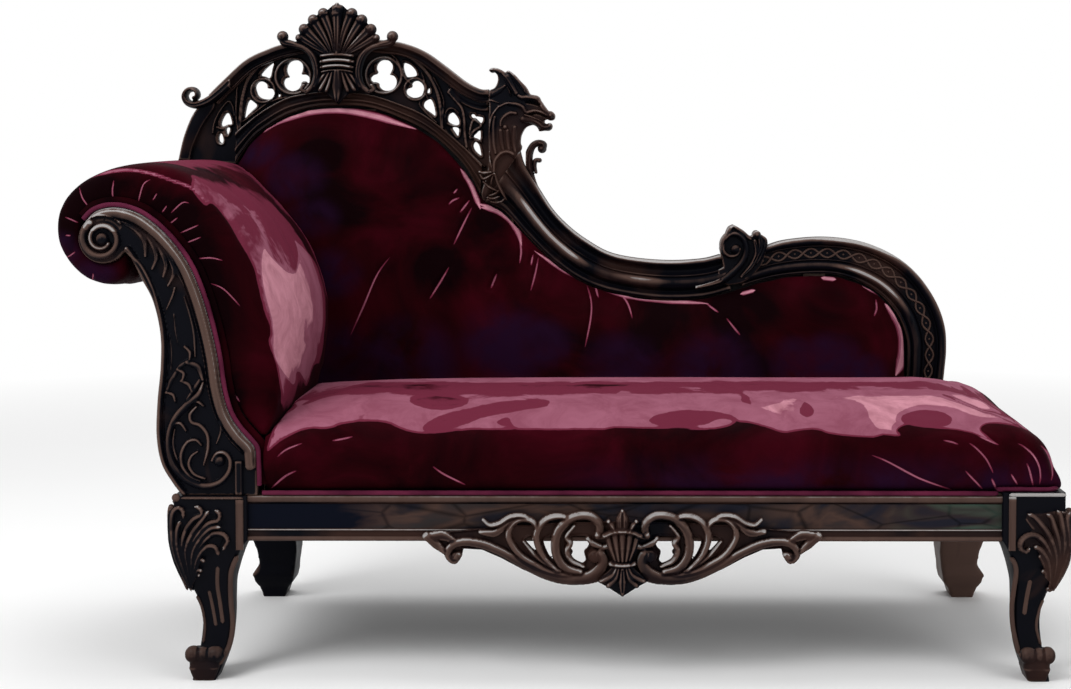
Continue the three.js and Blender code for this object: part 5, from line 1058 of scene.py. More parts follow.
FINIAL_STROKES = [
    ([(470, 180), (540, 188), (605, 235), (655, 320), (705, 400)], [10, 22, 34, 34, 26], [0.004, 0.012, 0.016]),
    ([(630, 200), (700, 262), (760, 335), (815, 402)], [12, 24, 28, 24], [0.006, 0.010, 0.010]),
    ([(700, 402), (760, 440), (850, 432), (910, 455), (945, 520), (1000, 575), (1040, 605)],
     [18, 24, 26, 24, 20, 26, 22], [0.012, 0.017, 0.018, 0.016, 0.014, 0.014, 0.010]),
    ([(640, 500), (700, 500), (760, 525), (800, 575), (870, 560), (940, 575), (1010, 612)],
     [20, 22, 24, 22, 16, 16, 18], [0.010, 0.014, 0.016, 0.014, 0.011, 0.011, 0.009]),
    ([(770, 640), (840, 645), (905, 680), (960, 712), (1005, 712)], [34, 34, 30, 28, 26], [0.014, 0.014, 0.010]),
    ([(785, 600), (850, 622), (920, 650), (960, 680)], [12, 12, 10, 8], [0.016, 0.014, 0.010]),
    ([(560, 700), (565, 655), (600, 610), (650, 582), (700, 585)], [14, 16, 20, 22, 18], [0.010, 0.014, 0.012]),
    ([(505, 620), (495, 700), (498, 850), (515, 950)], [20, 22, 22, 18], 0.010),
    ([(560, 745), (568, 850), (590, 935)], [24, 26, 20], 0.010),
    ([(622, 745), (628, 850), (640, 930)], [24, 26, 20], 0.011),
    ([(690, 715), (684, 850), (700, 955)], [26, 28, 18], 0.010),
    ([(545, 520), (480, 610), (447, 740), (442, 900), (460, 1020), (490, 1120)], 14, 0.012),
    ([(545, 525), (620, 492), (700, 500)], 14, 0.012),
    ([(500, 1120), (508, 1030), (560, 960), (620, 940), (680, 965), (725, 1030), (755, 1100)],
     [18, 20, 22, 22, 22, 20, 16], 0.016),
    ([(420, 400), (470, 410), (540, 380), (600, 330)], [20, 30, 30, 16], 0.008),
    ([(400, 470), (470, 465), (545, 490)], [8, 12, 8], 0.007),
    ([(620, 340), (640, 380), (655, 425)], [6, 9, 6], 0.012),
]
FINIAL_BALLS = [((602, 712), 26, 0.013), ((1022, 600), 30, 0.014), ((1012, 700), 24, 0.012), ((962, 660), 11, 0.012),
                ((990, 662), 10, 0.012), ((935, 500), 14, 0.006)]


def finial():
    crop_point = CROP_POINT
    outline = traced(FINIAL_OUTLINE, BACK_FRONT, *FINIAL_CROP)
    relief = Relief(outline.min(0) - 0.004, outline.max(0) + 0.004, 0.0012)
    relief.outline(closed_smooth(outline, 3))
    depth = np.clip(-relief.reach, 0, 0.020)
    relief.height += 0.010 * np.sqrt(1 - (1 - depth / 0.020) ** 2) - 0.006
    for line, widths, crests in FINIAL_STROKES:
        relief.stroke(traced(line, BACK_FRONT, *FINIAL_CROP), np.atleast_1d(widths) * crop_point, crests)
    relief.groove(traced([(800, 478), (860, 488), (915, 505)], BACK_FRONT, *FINIAL_CROP), 20 * crop_point, 0.010)
    relief.groove(traced([(820, 592), (900, 585), (980, 618)], BACK_FRONT, *FINIAL_CROP), 13 * crop_point, 0.010)
    relief.groove(traced([(560, 215), (620, 290), (680, 390)], BACK_FRONT, *FINIAL_CROP), 8 * crop_point, 0.004)
    relief.groove(traced([(640, 215), (710, 290), (770, 370)], BACK_FRONT, *FINIAL_CROP), 8 * crop_point, 0.004)
    for centre, radius, height in FINIAL_BALLS:
        relief.ball(traced([centre], BACK_FRONT, *FINIAL_CROP)[0], radius * crop_point, height)
    relief.carve("beast_finial", "ebony", BACK_FRONT, BACK_REAR - 0.006, ("beast_finial",), bevel=0.004,
                 two_sided=True, sharpness=1.2)


finial()

SCROLL_STROKES = [
    ([(950, 915), (955, 870), (900, 858), (850, 890), (818, 970), (812, 1080), (830, 1180), (872, 1290), (935, 1400),
      (1000, 1470)], [26, 30, 32, 38, 44, 44, 42, 38, 30, 18], [0.016, 0.014, 0.012, 0.010, 0.008]),
    ([(885, 1130), (872, 1070), (880, 1020), (915, 1018)], [12, 16, 20, 22], [0.006, 0.009, 0.012]),
]


def slope_scroll():
    relief = Relief((-0.085, 0.78), (0.03, 0.985), 0.0012)
    for line, widths, crests in SCROLL_STROKES:
        relief.stroke(traced(line, 0.29, *FINIAL_CROP), np.atleast_1d(widths) * CROP_POINT, crests, grows=True)
    relief.ball(traced([(940, 912)], 0.29, *FINIAL_CROP)[0], 40 * CROP_POINT, 0.018, grows=True)
    relief.groove(traced(SCROLL_STROKES[0][0][2:], 0.29, *FINIAL_CROP), 15 * CROP_POINT, 0.005)
    relief.reach = np.maximum(relief.reach, -signed_distance(relief.grid, np.vstack([slope_top, slope_bottom[::-1]])))
    relief.carve("slope_scroll", "ebony", 0.292, 0.312, ("slope_scroll",), bevel=0.003, two_sided=True)


slope_scroll()


# The crest's cartouche: a scalloped fan of flutes, a banded waist, a skirt of leaves and two scrolls

CREST_POINT = 1 / 4.48 / 474.6
APRON_CROP = ((400, 480), 3.4844)
APRON_POINT = 1 / 3.4844 / 564.7
ARM_POINT = 1 / 4.3567 / 564.7
FAN_FLUTES = [
    ([(838, 240), (838, 130), (838, 32)], [8, 16, 24], 0.017),
    ([(850, 240), (868, 150), (903, 62)], [7, 15, 23], 0.0155),
    ([(862, 240), (900, 165), (946, 92)], [7, 15, 24], 0.014),
    ([(874, 240), (930, 185), (986, 132)], [7, 15, 24], 0.012),
    ([(884, 242), (950, 205), (1006, 172)], [7, 14, 20], 0.010),
]
FAN_LOBES = [((904, 60), 24, 0.019), ((948, 90), 25, 0.0175), ((989, 132), 25, 0.015), ((1012, 170), 17, 0.012)]
SKIRT_FLUTES = [
    ([(845, 320), (845, 400), (845, 452)], [14, 20, 6], 0.015),
    ([(862, 325), (874, 370), (888, 408)], [8, 10, 9], 0.012),
    ([(876, 325), (896, 365), (918, 405)], [8, 10, 10], 0.010),
    ([(890, 325), (918, 360), (948, 396)], [8, 10, 11], 0.008),
]
CARTOUCHE_SCROLLS = [
    ([(1085, 166), (1078, 190), (1040, 200), (990, 215), (953, 250), (935, 300), (934, 345), (948, 385), (980, 412)],
     [18, 18, 14, 15, 17, 18, 17, 15, 10], [0.012, 0.010, 0.012, 0.014, 0.014, 0.012, 0.009]),
    ([(980, 412), (1000, 400), (992, 382)], [9, 10, 8], 0.007),
]


def both_sides(points, centre):
    points = np.asarray(points, float)
    return points, np.stack([2 * centre - points[:, 0], points[:, 1]], 1)


def cartouche():
    plane = MOULDING_FRONT - 0.004
    centre = 840

    def place(points):
        return traced(points, plane, *CREST_CROP)

    relief = Relief((-0.62, 0.99), (-0.33, 1.246), 0.0013)
    right = [(838, 16), (862, 24), (885, 45), (925, 62), (965, 95), (1000, 132), (1022, 178), (985, 205), (935, 240),
             (912, 262), (912, 318), (935, 355), (962, 395), (925, 410), (895, 416), (868, 440), (845, 470)]
    outline = np.vstack([right, both_sides(right[::-1][1:-1], centre)[1]])
    relief.outline(place(outline))
    relief.height -= 0.002
    for line, widths, crest in FAN_FLUTES + SKIRT_FLUTES:
        for side in both_sides(line, centre):
            relief.stroke(place(side), np.array(widths) * CREST_POINT, crest, section=0.6)
    for line, widths, crest in FAN_FLUTES[1:]:
        for side in both_sides(line, centre):
            relief.groove(place(side), np.array(widths) * CREST_POINT * 0.45, crest * 0.32)
    relief.groove(place([(838, 230), (838, 140), (838, 60)]), 5 * CREST_POINT, 0.004)
    for spot, radius, height in FAN_LOBES:
        for side in both_sides([spot], centre):
            relief.ball(place(side)[0], radius * CREST_POINT, height, grows=True)
    relief.stroke(place([(838, 60), (838, 20)]), [24 * CREST_POINT, 9 * CREST_POINT], [0.019, 0.014], grows=True)
    for line, widths, crests in CARTOUCHE_SCROLLS:
        for side in both_sides(line, centre):
            relief.stroke(place(side), np.array(widths) * CREST_POINT, crests, grows=True)
            relief.groove(place(side), np.array(widths) * CREST_POINT * 0.35, 0.0025)
    for side in both_sides([(1086, 164)], centre):
        relief.ball(place(side)[0], 25 * CREST_POINT, 0.017, grows=True)
    for height, half, crest in ((250, 9, 0.017), (276, 11, 0.021), (301, 10, 0.021), (320, 6, 0.014)):
        bow = [(centre - 70, height + 3), (centre - 35, height - 3), (centre, height - 5), (centre + 35, height - 3),
               (centre + 70, height + 3)]
        relief.stroke(place(bow), half * CREST_POINT, crest, grows=True)
    relief.carve("crest_cartouche", "ebony", plane, MOULDING_FRONT - 0.0006, ("crest_cartouche",), bevel=0.003,
                 sharpness=1.5)


cartouche()

# The arm's facing: a volute, a broad inner moulding, fronds, scaled leaves and an S-shaped bough

FACING_STROKES = [
    # fronds below the volute
    ([(368, 322), (420, 352), (458, 400), (462, 462)], [6, 10, 12, 8], [0.004, 0.010, 0.008]),
    ([(430, 348), (485, 400), (510, 465), (492, 518)], [6, 10, 12, 7], [0.004, 0.010, 0.008]),
    ([(475, 372), (525, 432), (552, 495), (540, 552)], [6, 11, 13, 7], [0.004, 0.011, 0.008]),
    ([(510, 392), (562, 460), (588, 530), (560, 592)], [6, 11, 13, 6], [0.004, 0.011, 0.008]),
    ([(560, 455), (590, 510), (628, 590)], [5, 12, 5], [0.004, 0.009, 0.004]),
    ([(590, 600), (578, 640), (545, 710)], [6, 7, 3], [0.008, 0.005]),
    # slender stems
    ([(372, 440), (440, 500), (492, 600), (522, 700), (540, 800), (545, 900), (538, 985)], [9, 9, 9, 9, 8, 7, 4],
     [0.010, 0.010, 0.006]),
    ([(585, 715), (592, 790), (604, 850)], [4, 6, 4], 0.004),
    ([(630, 640), (655, 720), (672, 800), (678, 900)], [5, 8, 9, 6], 0.005),
    ([(566, 800), (575, 880), (572, 960)], [4, 6, 4], 0.004),
    # scaled leaf lobes
    ([(632, 855), (656, 880), (655, 915)], [7, 10, 6], 0.009),
    ([(645, 925), (690, 945), (712, 1000)], [13, 16, 9], 0.009),
    ([(602, 955), (628, 972), (624, 1004)], [8, 11, 7], 0.009),
    ([(618, 1005), (650, 1022), (666, 1052)], [9, 12, 7], 0.008),
    ([(552, 1055), (582, 1066), (592, 1094)], [7, 10, 6], 0.008),
    ([(600, 960), (570, 1010), (552, 1060)], [10, 12, 8], 0.006),
    ([(655, 915), (610, 945), (585, 990)], [10, 12, 8], 0.006),
    ([(700, 1000), (668, 1048), (640, 1090)], [10, 12, 7], 0.006),
    # the bough and its lower scroll
    ([(714, 1012), (692, 1065), (640, 1112), (592, 1165), (566, 1225), (562, 1300), (585, 1375), (640, 1432),
      (715, 1462), (785, 1446), (826, 1400), (832, 1350), (808, 1318), (775, 1320), (755, 1350)],
     [7, 14, 17, 15, 13, 14, 16, 17, 18, 17, 15, 13, 12, 11, 10], [0.009, 0.012, 0.010, 0.011, 0.012, 0.012, 0.010]),
    ([(640, 1222), (615, 1190), (582, 1194), (562, 1232)], [6, 9, 10, 8], 0.009),
    ([(662, 1100), (690, 1096), (716, 1115)], [5, 9, 5], 0.008),
    ([(684, 1118), (658, 1150), (664, 1184), (702, 1200), (732, 1240), (735, 1300), (716, 1372)],
     [7, 11, 11, 11, 10, 9, 5], 0.009),
    ([(706, 1284), (682, 1262), (645, 1272), (620, 1318), (622, 1372), (655, 1420), (700, 1440)],
     [6, 9, 10, 11, 11, 10, 6], 0.009),
    ([(690, 1312), (662, 1334), (652, 1372), (676, 1412), (722, 1430)], [6, 9, 10, 10, 6], 0.008),
    ([(590, 1215), (582, 1280), (600, 1345), (640, 1395)], [5, 8, 8, 5], 0.006),
    ([(780, 1150), (790, 1220), (770, 1280)], [5, 9, 5], 0.005),
]


def spiral_line(centre, start_radius, end_radius, start, sweep, count):
    share = np.linspace(0, 1, count)
    radius = start_radius + (end_radius - start_radius) * share
    angle = start + sweep * share
    return np.stack([centre[0] + radius * np.cos(angle), centre[1] + radius * np.sin(angle)], 1)


def arm_facing():
    def place(points):
        return traced(points, FACING_BOARD, *ARM_CROP)

    eye = on_arm((0.27, 0.771))
    rim = spiral_line(eye, 0.043, 0.043, -0.5, -3.42, 40)
    outline = np.vstack([facing_outer, rim, facing_inner])
    relief = Relief(outline.min(0) - 0.003, outline.max(0) + 0.003, 0.0015)
    relief.outline(outline)
    relief.height += 0.001
    for line, widths, crests in FACING_STROKES:
        relief.stroke(place(line), np.array(widths) * ARM_POINT, crests)
    for line, widths, _ in FACING_STROKES[:6]:
        relief.groove(place(line), np.array(widths) * ARM_POINT * 0.4, 0.002)
    broad = parallel(facing_inner[:-12], -0.0105)
    lead = spiral_line(eye, 0.0335, 0.0345, -1.2 - math.pi, -1.3, 14)
    relief.stroke(np.vstack([lead[-6:-1], broad]), 0.0098, [0.010, 0.013, 0.013, 0.013, 0.012], straight=True,
                  tint=0.28)
    relief.groove(parallel(facing_inner[:-12], -0.0035), 0.0016, 0.004)
    relief.stroke(parallel(facing_inner[6:-20], -0.0245), 0.0018, 0.0045, straight=True)
    relief.stroke(parallel(facing_outer, -0.0055), 0.0048, 0.009, straight=True)
    relief.stroke(parallel(facing_outer, -0.0135), 0.0014, 0.004, straight=True)
    ring = spiral_line(eye, 0.0355, 0.0145, 2.2, 3.1 * math.pi, 90)
    relief.height = np.where(np.linalg.norm(relief.grid - eye, axis=1) < 0.041, np.minimum(relief.height, 0.002),
                             relief.height)
    relief.stroke(ring, np.linspace(0.0068, 0.0042, 90), np.linspace(0.012, 0.0125, 90), straight=True, tint=0.06)
    relief.ball(eye, 0.0118, 0.0145)
    scroll = place([(782, 1352)])[0]
    relief.ball(scroll, 26 * ARM_POINT, 0.013)
    foot_left, foot_right = place([(852, 1400)])[0][0], place([(884, 1400)])[0][0]
    top = place([(866, 1352)])[0][1]
    strip = (relief.grid[:, 0] > foot_left) & (relief.grid[:, 0] < foot_right) & (relief.grid[:, 1] < top)
    middle = (foot_left + foot_right) / 2
    crown = 0.006 + 0.004 * np.sqrt(np.clip(1 - ((relief.grid[:, 0] - middle) / (foot_right - middle)) ** 2, 0, 1))
    relief.height = np.where(strip, crown, relief.height)
    relief.carve("arm_facing", "ebony", FACING_BOARD, FACING_FRONT + 0.042, ("arm_facing",), bevel=0.002,
                 sharpness=1.0)


arm_facing()

# The pierced apron under the front rail: round-backed stems on both sides of the urn

APRON_STROKES = [
    ([(205, 262), (188, 284), (166, 262), (178, 232), (218, 216), (285, 224), (355, 252), (425, 292), (500, 328),
      (570, 346), (640, 344), (688, 320), (708, 286), (700, 258)],
     [9, 10, 11, 12, 13, 12, 12, 13, 14, 15, 16, 17, 16, 14], [0.008, 0.010, 0.010, 0.009, 0.010, 0.011, 0.012]),
    ([(92, 198), (128, 228), (160, 256)], [12, 13, 7], 0.007),
    ([(100, 200), (150, 196), (195, 218)], [12, 14, 8], 0.005),
    ([(290, 140), (312, 158), (345, 153), (385, 130), (430, 128), (468, 152)], [5, 7, 8, 8, 8, 6], 0.009),
    ([(280, 182), (330, 186), (365, 160), (395, 140)], [7, 11, 10, 6], 0.006),
    ([(466, 205), (478, 168), (452, 140), (412, 140), (384, 166), (380, 205), (418, 262), (478, 302), (540, 326),
      (610, 338)], [6, 8, 9, 9, 9, 9, 11, 11, 10, 8], [0.008, 0.010, 0.010, 0.009, 0.008]),
    ([(560, 168), (590, 142), (556, 127), (512, 137), (482, 170), (476, 212), (500, 270), (548, 316)],
     [5, 8, 9, 10, 10, 10, 9, 7], [0.008, 0.010, 0.010, 0.008]),
    ([(694, 192), (696, 158), (668, 130), (630, 125), (590, 138), (556, 172), (541, 218), (548, 270), (580, 308),
      (628, 320)], [11, 12, 12, 12, 13, 13, 13, 13, 12, 9], [0.010, 0.012, 0.012, 0.010]),
    ([(608, 160), (580, 196), (592, 222), (582, 250), (600, 285), (640, 302)], [5, 6, 9, 8, 7, 5], 0.007),
    ([(430, 215), (470, 262), (520, 300), (560, 318)], [4, 7, 7, 5], 0.007),
    ([(690, 196), (716, 196), (742, 210)], [10, 9, 7], 0.008),
    ([(700, 240), (726, 232), (744, 246)], [7, 8, 6], 0.007),
    ([(655, 205), (672, 222), (700, 232)], [7, 9, 7], 0.007),
    ([(560, 345), (640, 352), (715, 335), (750, 330)], [8, 12, 12, 8], 0.007),
]
# The solid ground behind the stems, and the openings cut through it
APRON_GROUND = [(92, 190), (124, 218), (160, 252), (174, 282), (196, 288), (214, 270), (220, 242), (285, 246),
                (350, 274), (425, 314), (500, 346), (570, 360), (640, 358), (700, 352), (775, 356), (775, 150),
                (560, 150), (470, 160), (380, 160), (250, 176)]
APRON_OPENINGS = [
    [(430, 214), (464, 200), (492, 262), (532, 312), (482, 286), (444, 250)],
    [(500, 214), (534, 200), (530, 256), (545, 292), (518, 264)],
    [(580, 214), (592, 200), (662, 200), (654, 236), (641, 252), (646, 284), (618, 298), (590, 276), (602, 252),
     (582, 234)],
]
APRON_BALLS = [((678, 266), 24, 0.013), ((193, 268), 17, 0.011), ((690, 190), 14, 0.013)]
URN_STROKES = [
    ([(775, 168), (775, 140), (775, 104)], [22, 24, 7], [0.010, 0.012, 0.008]),
    ([(748, 172), (738, 155), (726, 141)], [9, 11, 7], 0.009),
    ([(722, 190), (734, 230), (750, 276)], [11, 11, 7], [0.008, 0.010, 0.008]),
    ([(748, 186), (755, 230), (762, 276)], [12, 11, 7], [0.011, 0.013, 0.010]),
    ([(775, 184), (775, 230), (775, 276)], [13, 12, 7], [0.012, 0.0145, 0.011]),
    ([(755, 300), (740, 330), (700, 348)], [6, 11, 8], [0.009, 0.009, 0.007]),
    ([(762, 300), (752, 335), (726, 364)], [6, 11, 9], [0.010, 0.011, 0.008]),
    ([(775, 300), (775, 350), (775, 396)], [8, 16, 6], [0.012, 0.013, 0.008]),
]


def apron():
    def place(points):
        return traced(points, -0.333, *APRON_CROP)

    relief = Relief((-0.245, 0.14), (0.475, 0.325), 0.0015)
    for side in both_sides(APRON_GROUND, 775):
        relief.outline(place(side))
    for opening in APRON_OPENINGS:
        for side in both_sides(opening, 775):
            relief.opening(closed_smooth(place(side), 4))
    relief.height -= 0.008
    relief.tint -= 0.35
    for line, widths, crests in APRON_STROKES:
        for side in both_sides(line, 775):
            relief.stroke(place(side), np.array(widths) * APRON_POINT * 1.25, crests, grows=True, tint=0.05)
    for centre, radius, height in APRON_BALLS:
        for side in both_sides([centre], 775):
            relief.ball(place(side)[0], radius * APRON_POINT, height, grows=True)
    relief.carve("apron_carving", "brown_ebony", RAIL_FACE - 0.013, RAIL_FACE - GAP, ("apron_carving",), bevel=0.002,
                 sharpness=1.3)

    urn = Relief((0.05, 0.15), (0.18, 0.33), 0.0011)
    body = [(715, 186), (745, 172), (775, 168), (805, 172), (838, 186), (822, 235), (806, 280), (812, 300), (866, 348),
            (828, 368), (775, 402), (722, 368), (686, 348), (738, 300), (744, 280), (728, 235)]
    urn.outline(place(body))
    for line, widths, crests in URN_STROKES:
        for side in both_sides(line, 775):
            urn.stroke(place(side), np.array(widths) * APRON_POINT, crests, grows=True)
    urn.stroke(place([(712, 190), (742, 177), (775, 173), (808, 177), (838, 190)]), 9 * APRON_POINT, 0.017, grows=True)
    urn.stroke(place([(734, 287), (775, 291), (816, 287)]), 9 * APRON_POINT, 0.017, grows=True)
    for side in both_sides([(727, 141)], 775):
        urn.ball(place(side)[0], 9 * APRON_POINT, 0.012, grows=True)
    urn.groove(place([(775, 310), (775, 350), (775, 385)]), 5 * APRON_POINT, 0.003)
    urn.groove(place([(775, 160), (775, 140), (775, 112)]), 6 * APRON_POINT, 0.004)
    urn.carve("apron_urn", "ebony", RAIL_FACE - 0.024, RAIL_FACE - 0.0226, ("apron_urn",), bevel=0.002,
              sharpness=1.4)


apron()

# The volute where the slope rail meets the end rail, with its pointed tip and curled leaf

VOLUTE_CROP = ((680, 200), 4.9)
VOLUTE_POINT = 1 / 4.9 / 476
VOLUTE_STROKES = [
    ([(0, 435), (60, 432), (130, 420), (200, 398), (262, 352), (308, 300), (325, 245), (312, 195), (278, 168), (240, 172),
      (212, 205), (212, 248), (242, 275), (278, 268), (292, 240)],
     [6, 8, 10, 13, 16, 18, 17, 16, 15, 14, 13, 12, 11, 10, 8], [0.006, 0.009, 0.012, 0.014, 0.014, 0.013, 0.013]),
    ([(238, 172), (248, 142), (262, 130)], [14, 12, 6], 0.010),
    ([(262, 130), (292, 150), (345, 190)], [7, 12, 8], 0.010),
    ([(300, 375), (352, 320), (376, 262), (366, 200)], [7, 14, 14, 9], 0.012),
    ([(360, 300), (392, 240), (392, 190), (372, 166)], [8, 15, 15, 11], 0.012),
    ([(395, 180), (418, 200), (410, 250), (375, 310)], [10, 12, 12, 6], 0.009),
]


def slope_volute():
    def place(points):
        return traced(points, BACK_FRONT, *VOLUTE_CROP)

    relief = Relief((0.27, 0.63), (0.45, 0.79), 0.0012)
    relief.outline(place([(215, 330), (196, 240), (215, 180), (240, 150), (256, 126), (300, 150), (350, 180), (385, 158),
                          (418, 190), (430, 225), (400, 320), (345, 385), (300, 408), (238, 418), (192, 402),
                          (186, 345)]))
    for line, widths, crests in VOLUTE_STROKES:
        relief.stroke(place(line), np.array(widths) * VOLUTE_POINT, crests, grows=True)
    for line, widths, _ in VOLUTE_STROKES[3:5]:
        relief.groove(place(line), np.array(widths) * VOLUTE_POINT * 0.35, 0.003)
    relief.ball(place([(272, 242)])[0], 24 * VOLUTE_POINT, 0.016)
    relief.ball(place([(378, 172)])[0], 20 * VOLUTE_POINT, 0.013, grows=True)
    relief.carve("slope_volute", "ebony", BACK_FRONT + 0.002, BACK_REAR - 0.004, ("slope_volute",), bevel=0.003)


slope_volute()

# The leaf planted where the crest comes down to the slope

LEAF_STROKES = [
    ([(365, 1125), (400, 1135), (470, 1128)], [16, 20, 12], 0.009),
    ([(372, 1150), (400, 1188), (455, 1165), (500, 1135)], [12, 18, 16, 8], 0.010),
    ([(470, 1240), (480, 1190), (500, 1140)], [8, 14, 9], 0.010),
    ([(400, 1215), (450, 1262), (525, 1300)], [10, 18, 8], 0.010),
    ([(440, 1362), (490, 1372), (545, 1352)], [12, 16, 9], 0.010),
    ([(470, 1400), (530, 1408), (590, 1385)], [9, 14, 7], 0.008),
    ([(560, 1405), (585, 1385), (605, 1362)], [9, 12, 6], 0.010),
    ([(505, 1140), (525, 1210), (560, 1290), (610, 1380)], [10, 15, 16, 9], 0.011),
    ([(540, 1300), (500, 1330), (450, 1345)], [12, 14, 8], 0.007),
]


def slope_leaf():
    relief = Relief((-0.19, 0.80), (-0.11, 0.93), 0.0012)
    for line, widths, crests in LEAF_STROKES:
        relief.stroke(traced(line, 0.262, *FINIAL_CROP), np.array(widths) * CROP_POINT, crests, grows=True)
    relief.carve("slope_leaf", "ebony", 0.265, 0.2672, ("slope_leaf",), bevel=0.0015, sharpness=1.3)


slope_leaf()


# Front legs: square block, leafed knee, slim shaft with beaded edges, and a rolled toe.
# A leg is drawn out from its outer front corner: across, back and up.

LEFT_LEG_CROP = ((150, 480), 5.8074)
RIGHT_LEG_CROP = ((850, 480), 7.095)
# Height, outer and inner side across, front and rear going back
LEG_ROWS = [(0.250, 0.0, 0.130, 0.0, 0.110), (0.242, 0.001, 0.1235, 0.001, 0.108), (0.226, 0.003, 0.114, 0.003, 0.102),
            (0.208, 0.007, 0.108, 0.006, 0.096), (0.186, 0.013, 0.102, 0.012, 0.090), (0.167, 0.023, 0.098, 0.018, 0.086),
            (0.137, 0.036, 0.097, 0.026, 0.082), (0.112, 0.042, 0.097, 0.029, 0.079), (0.089, 0.043, 0.096, 0.029, 0.076),
            (0.055, 0.040, 0.092, 0.020, 0.072), (0.025, 0.034, 0.083, 0.004, 0.064), (0.0, 0.031, 0.073, -0.004, 0.056)]
LEFT_LEAF = [
    [(235, 655), (190, 540), (150, 400), (137, 260), (146, 180), (178, 152), (204, 172), (208, 212)],
    [(237, 648), (202, 520), (172, 390), (170, 290), (190, 225)],
    [(240, 640), (212, 500), (195, 390), (216, 290), (262, 222), (312, 190), (300, 154), (270, 142)],
    [(243, 630), (225, 500), (218, 400), (255, 305), (315, 222), (356, 166)],
    [(246, 620), (236, 500), (238, 405), (280, 318), (348, 246), (408, 224), (414, 184), (388, 162)],
    [(250, 610), (248, 495), (260, 405), (306, 326), (362, 272), (424, 262)],
    [(253, 600), (256, 500), (278, 415), (325, 345), (378, 304), (436, 306), (462, 345), (434, 396)],
    [(256, 595), (266, 505), (295, 428), (340, 380), (386, 378), (410, 424)],
    [(260, 585), (276, 512), (300, 458), (326, 466)],
    [(263, 578), (280, 522), (308, 524)],
    [(265, 568), (278, 548), (292, 554)],
]
LEFT_LEAF_BACK = [(238, 660), (186, 540), (146, 400), (134, 260), (142, 176), (200, 150), (290, 150), (400, 170),
                  (430, 250), (450, 330), (420, 390), (330, 400), (290, 480), (268, 590)]
RIGHT_LEAF = [
    [(1456, 782), (1492, 700), (1528, 590), (1540, 480), (1530, 370), (1524, 270), (1544, 212)],
    [(1450, 780), (1482, 650), (1504, 520), (1506, 400), (1490, 300), (1474, 235), (1452, 200)],
    [(1446, 772), (1466, 650), (1478, 530), (1466, 420), (1436, 320), (1412, 255), (1378, 226)],
    [(1440, 766), (1450, 650), (1454, 550), (1430, 450), (1384, 360), (1330, 290), (1288, 248), (1244, 226)],
    [(1434, 750), (1434, 630), (1416, 530), (1372, 440), (1312, 386), (1246, 384), (1200, 424), (1200, 476),
     (1238, 496), (1262, 468)],
    [(1424, 740), (1412, 640), (1388, 550), (1340, 486), (1290, 456)],
    [(1408, 716), (1388, 630), (1356, 560), (1330, 520)],
    [(1396, 700), (1378, 650), (1350, 640)],
    [(1440, 780), (1424, 790), (1398, 770)],
]
RIGHT_LEAF_BACK = [(1454, 790), (1500, 690), (1534, 580), (1544, 470), (1534, 360), (1540, 215), (1450, 195),
                   (1350, 215), (1240, 215), (1225, 260), (1280, 340), (1215, 410), (1210, 480), (1290, 470),
                   (1370, 560), (1405, 700)]
LEG_STRIPES = {
    "left": [([(524, 425), (500, 470), (480, 530), (471, 620), (470, 720), (478, 850), (462, 960), (412, 1058)], 0.0046, 0.0050),
             ([(405, 490), (396, 600), (404, 700), (420, 835)], 0.0036, 0.0024),
             ([(345, 640), (362, 740), (380, 850)], 0.0030, 0.0018),
             ([(272, 672), (300, 745), (316, 850), (312, 940)], 0.0024, 0.0030)],
    "right": [([(1118, 530), (1150, 570), (1166, 640), (1158, 780), (1150, 900), (1160, 1060), (1192, 1230)], 0.0044, 0.0050),
              ([(1372, 850), (1342, 940), (1326, 1050), (1350, 1165)], 0.0024, 0.0030),
              ([(1270, 700), (1255, 820), (1240, 960)], 0.0040, 0.0016)],
}


def leg_front(height):
    rows = LEG_ROWS[::-1]
    return np.interp(height, [row[0] for row in rows], [row[3] for row in rows])


class Corner:
    """Turns the crop of a leg into distances from the leg's outer front corner."""

    def __init__(self, crop, corner, turn, narrow, top):
        self.crop, self.corner, self.turn, self.narrow, self.top = crop, corner, turn, narrow, top

    def drawn(self, points, depth=-0.315):
        found = traced(points, depth, *self.crop)
        return np.stack([(found[:, 0] - self.corner) * self.turn, found[:, 1]], 1)

    def place(self, points):
        return np.stack([self.corner + self.turn * points[:, 0], LEG_FACE + points[:, 1], points[:, 2]], 1)


def rounded_ring(low, high, level, corner=0.16, steps=5):
    (x0, y0), (x1, y1) = low, high
    radius = corner * min(x1 - x0, y1 - y0)
    ring = []
    for centre_x, centre_y, start in ((x0 + radius, y0 + radius, math.pi), (x1 - radius, y0 + radius, 1.5 * math.pi),
                                      (x1 - radius, y1 - radius, 0.0), (x0 + radius, y1 - radius, 0.5 * math.pi)):
        for angle in np.linspace(start, start + math.pi / 2, steps):
            ring.append((centre_x + radius * math.cos(angle), centre_y + radius * math.sin(angle), level))
    return ring


# A turned form lying across the leg: distances along it and radii
def turned_roll(shells, turned, back, height, sides=22):
    rows = smooth(turned, 8 * len(turned))
    angles = np.linspace(0, 2 * math.pi, sides, endpoint=False)
    shells.loft([[(across, back + radius * math.cos(angle), height + radius * math.sin(angle)) for angle in angles]
                 for across, radius in rows])


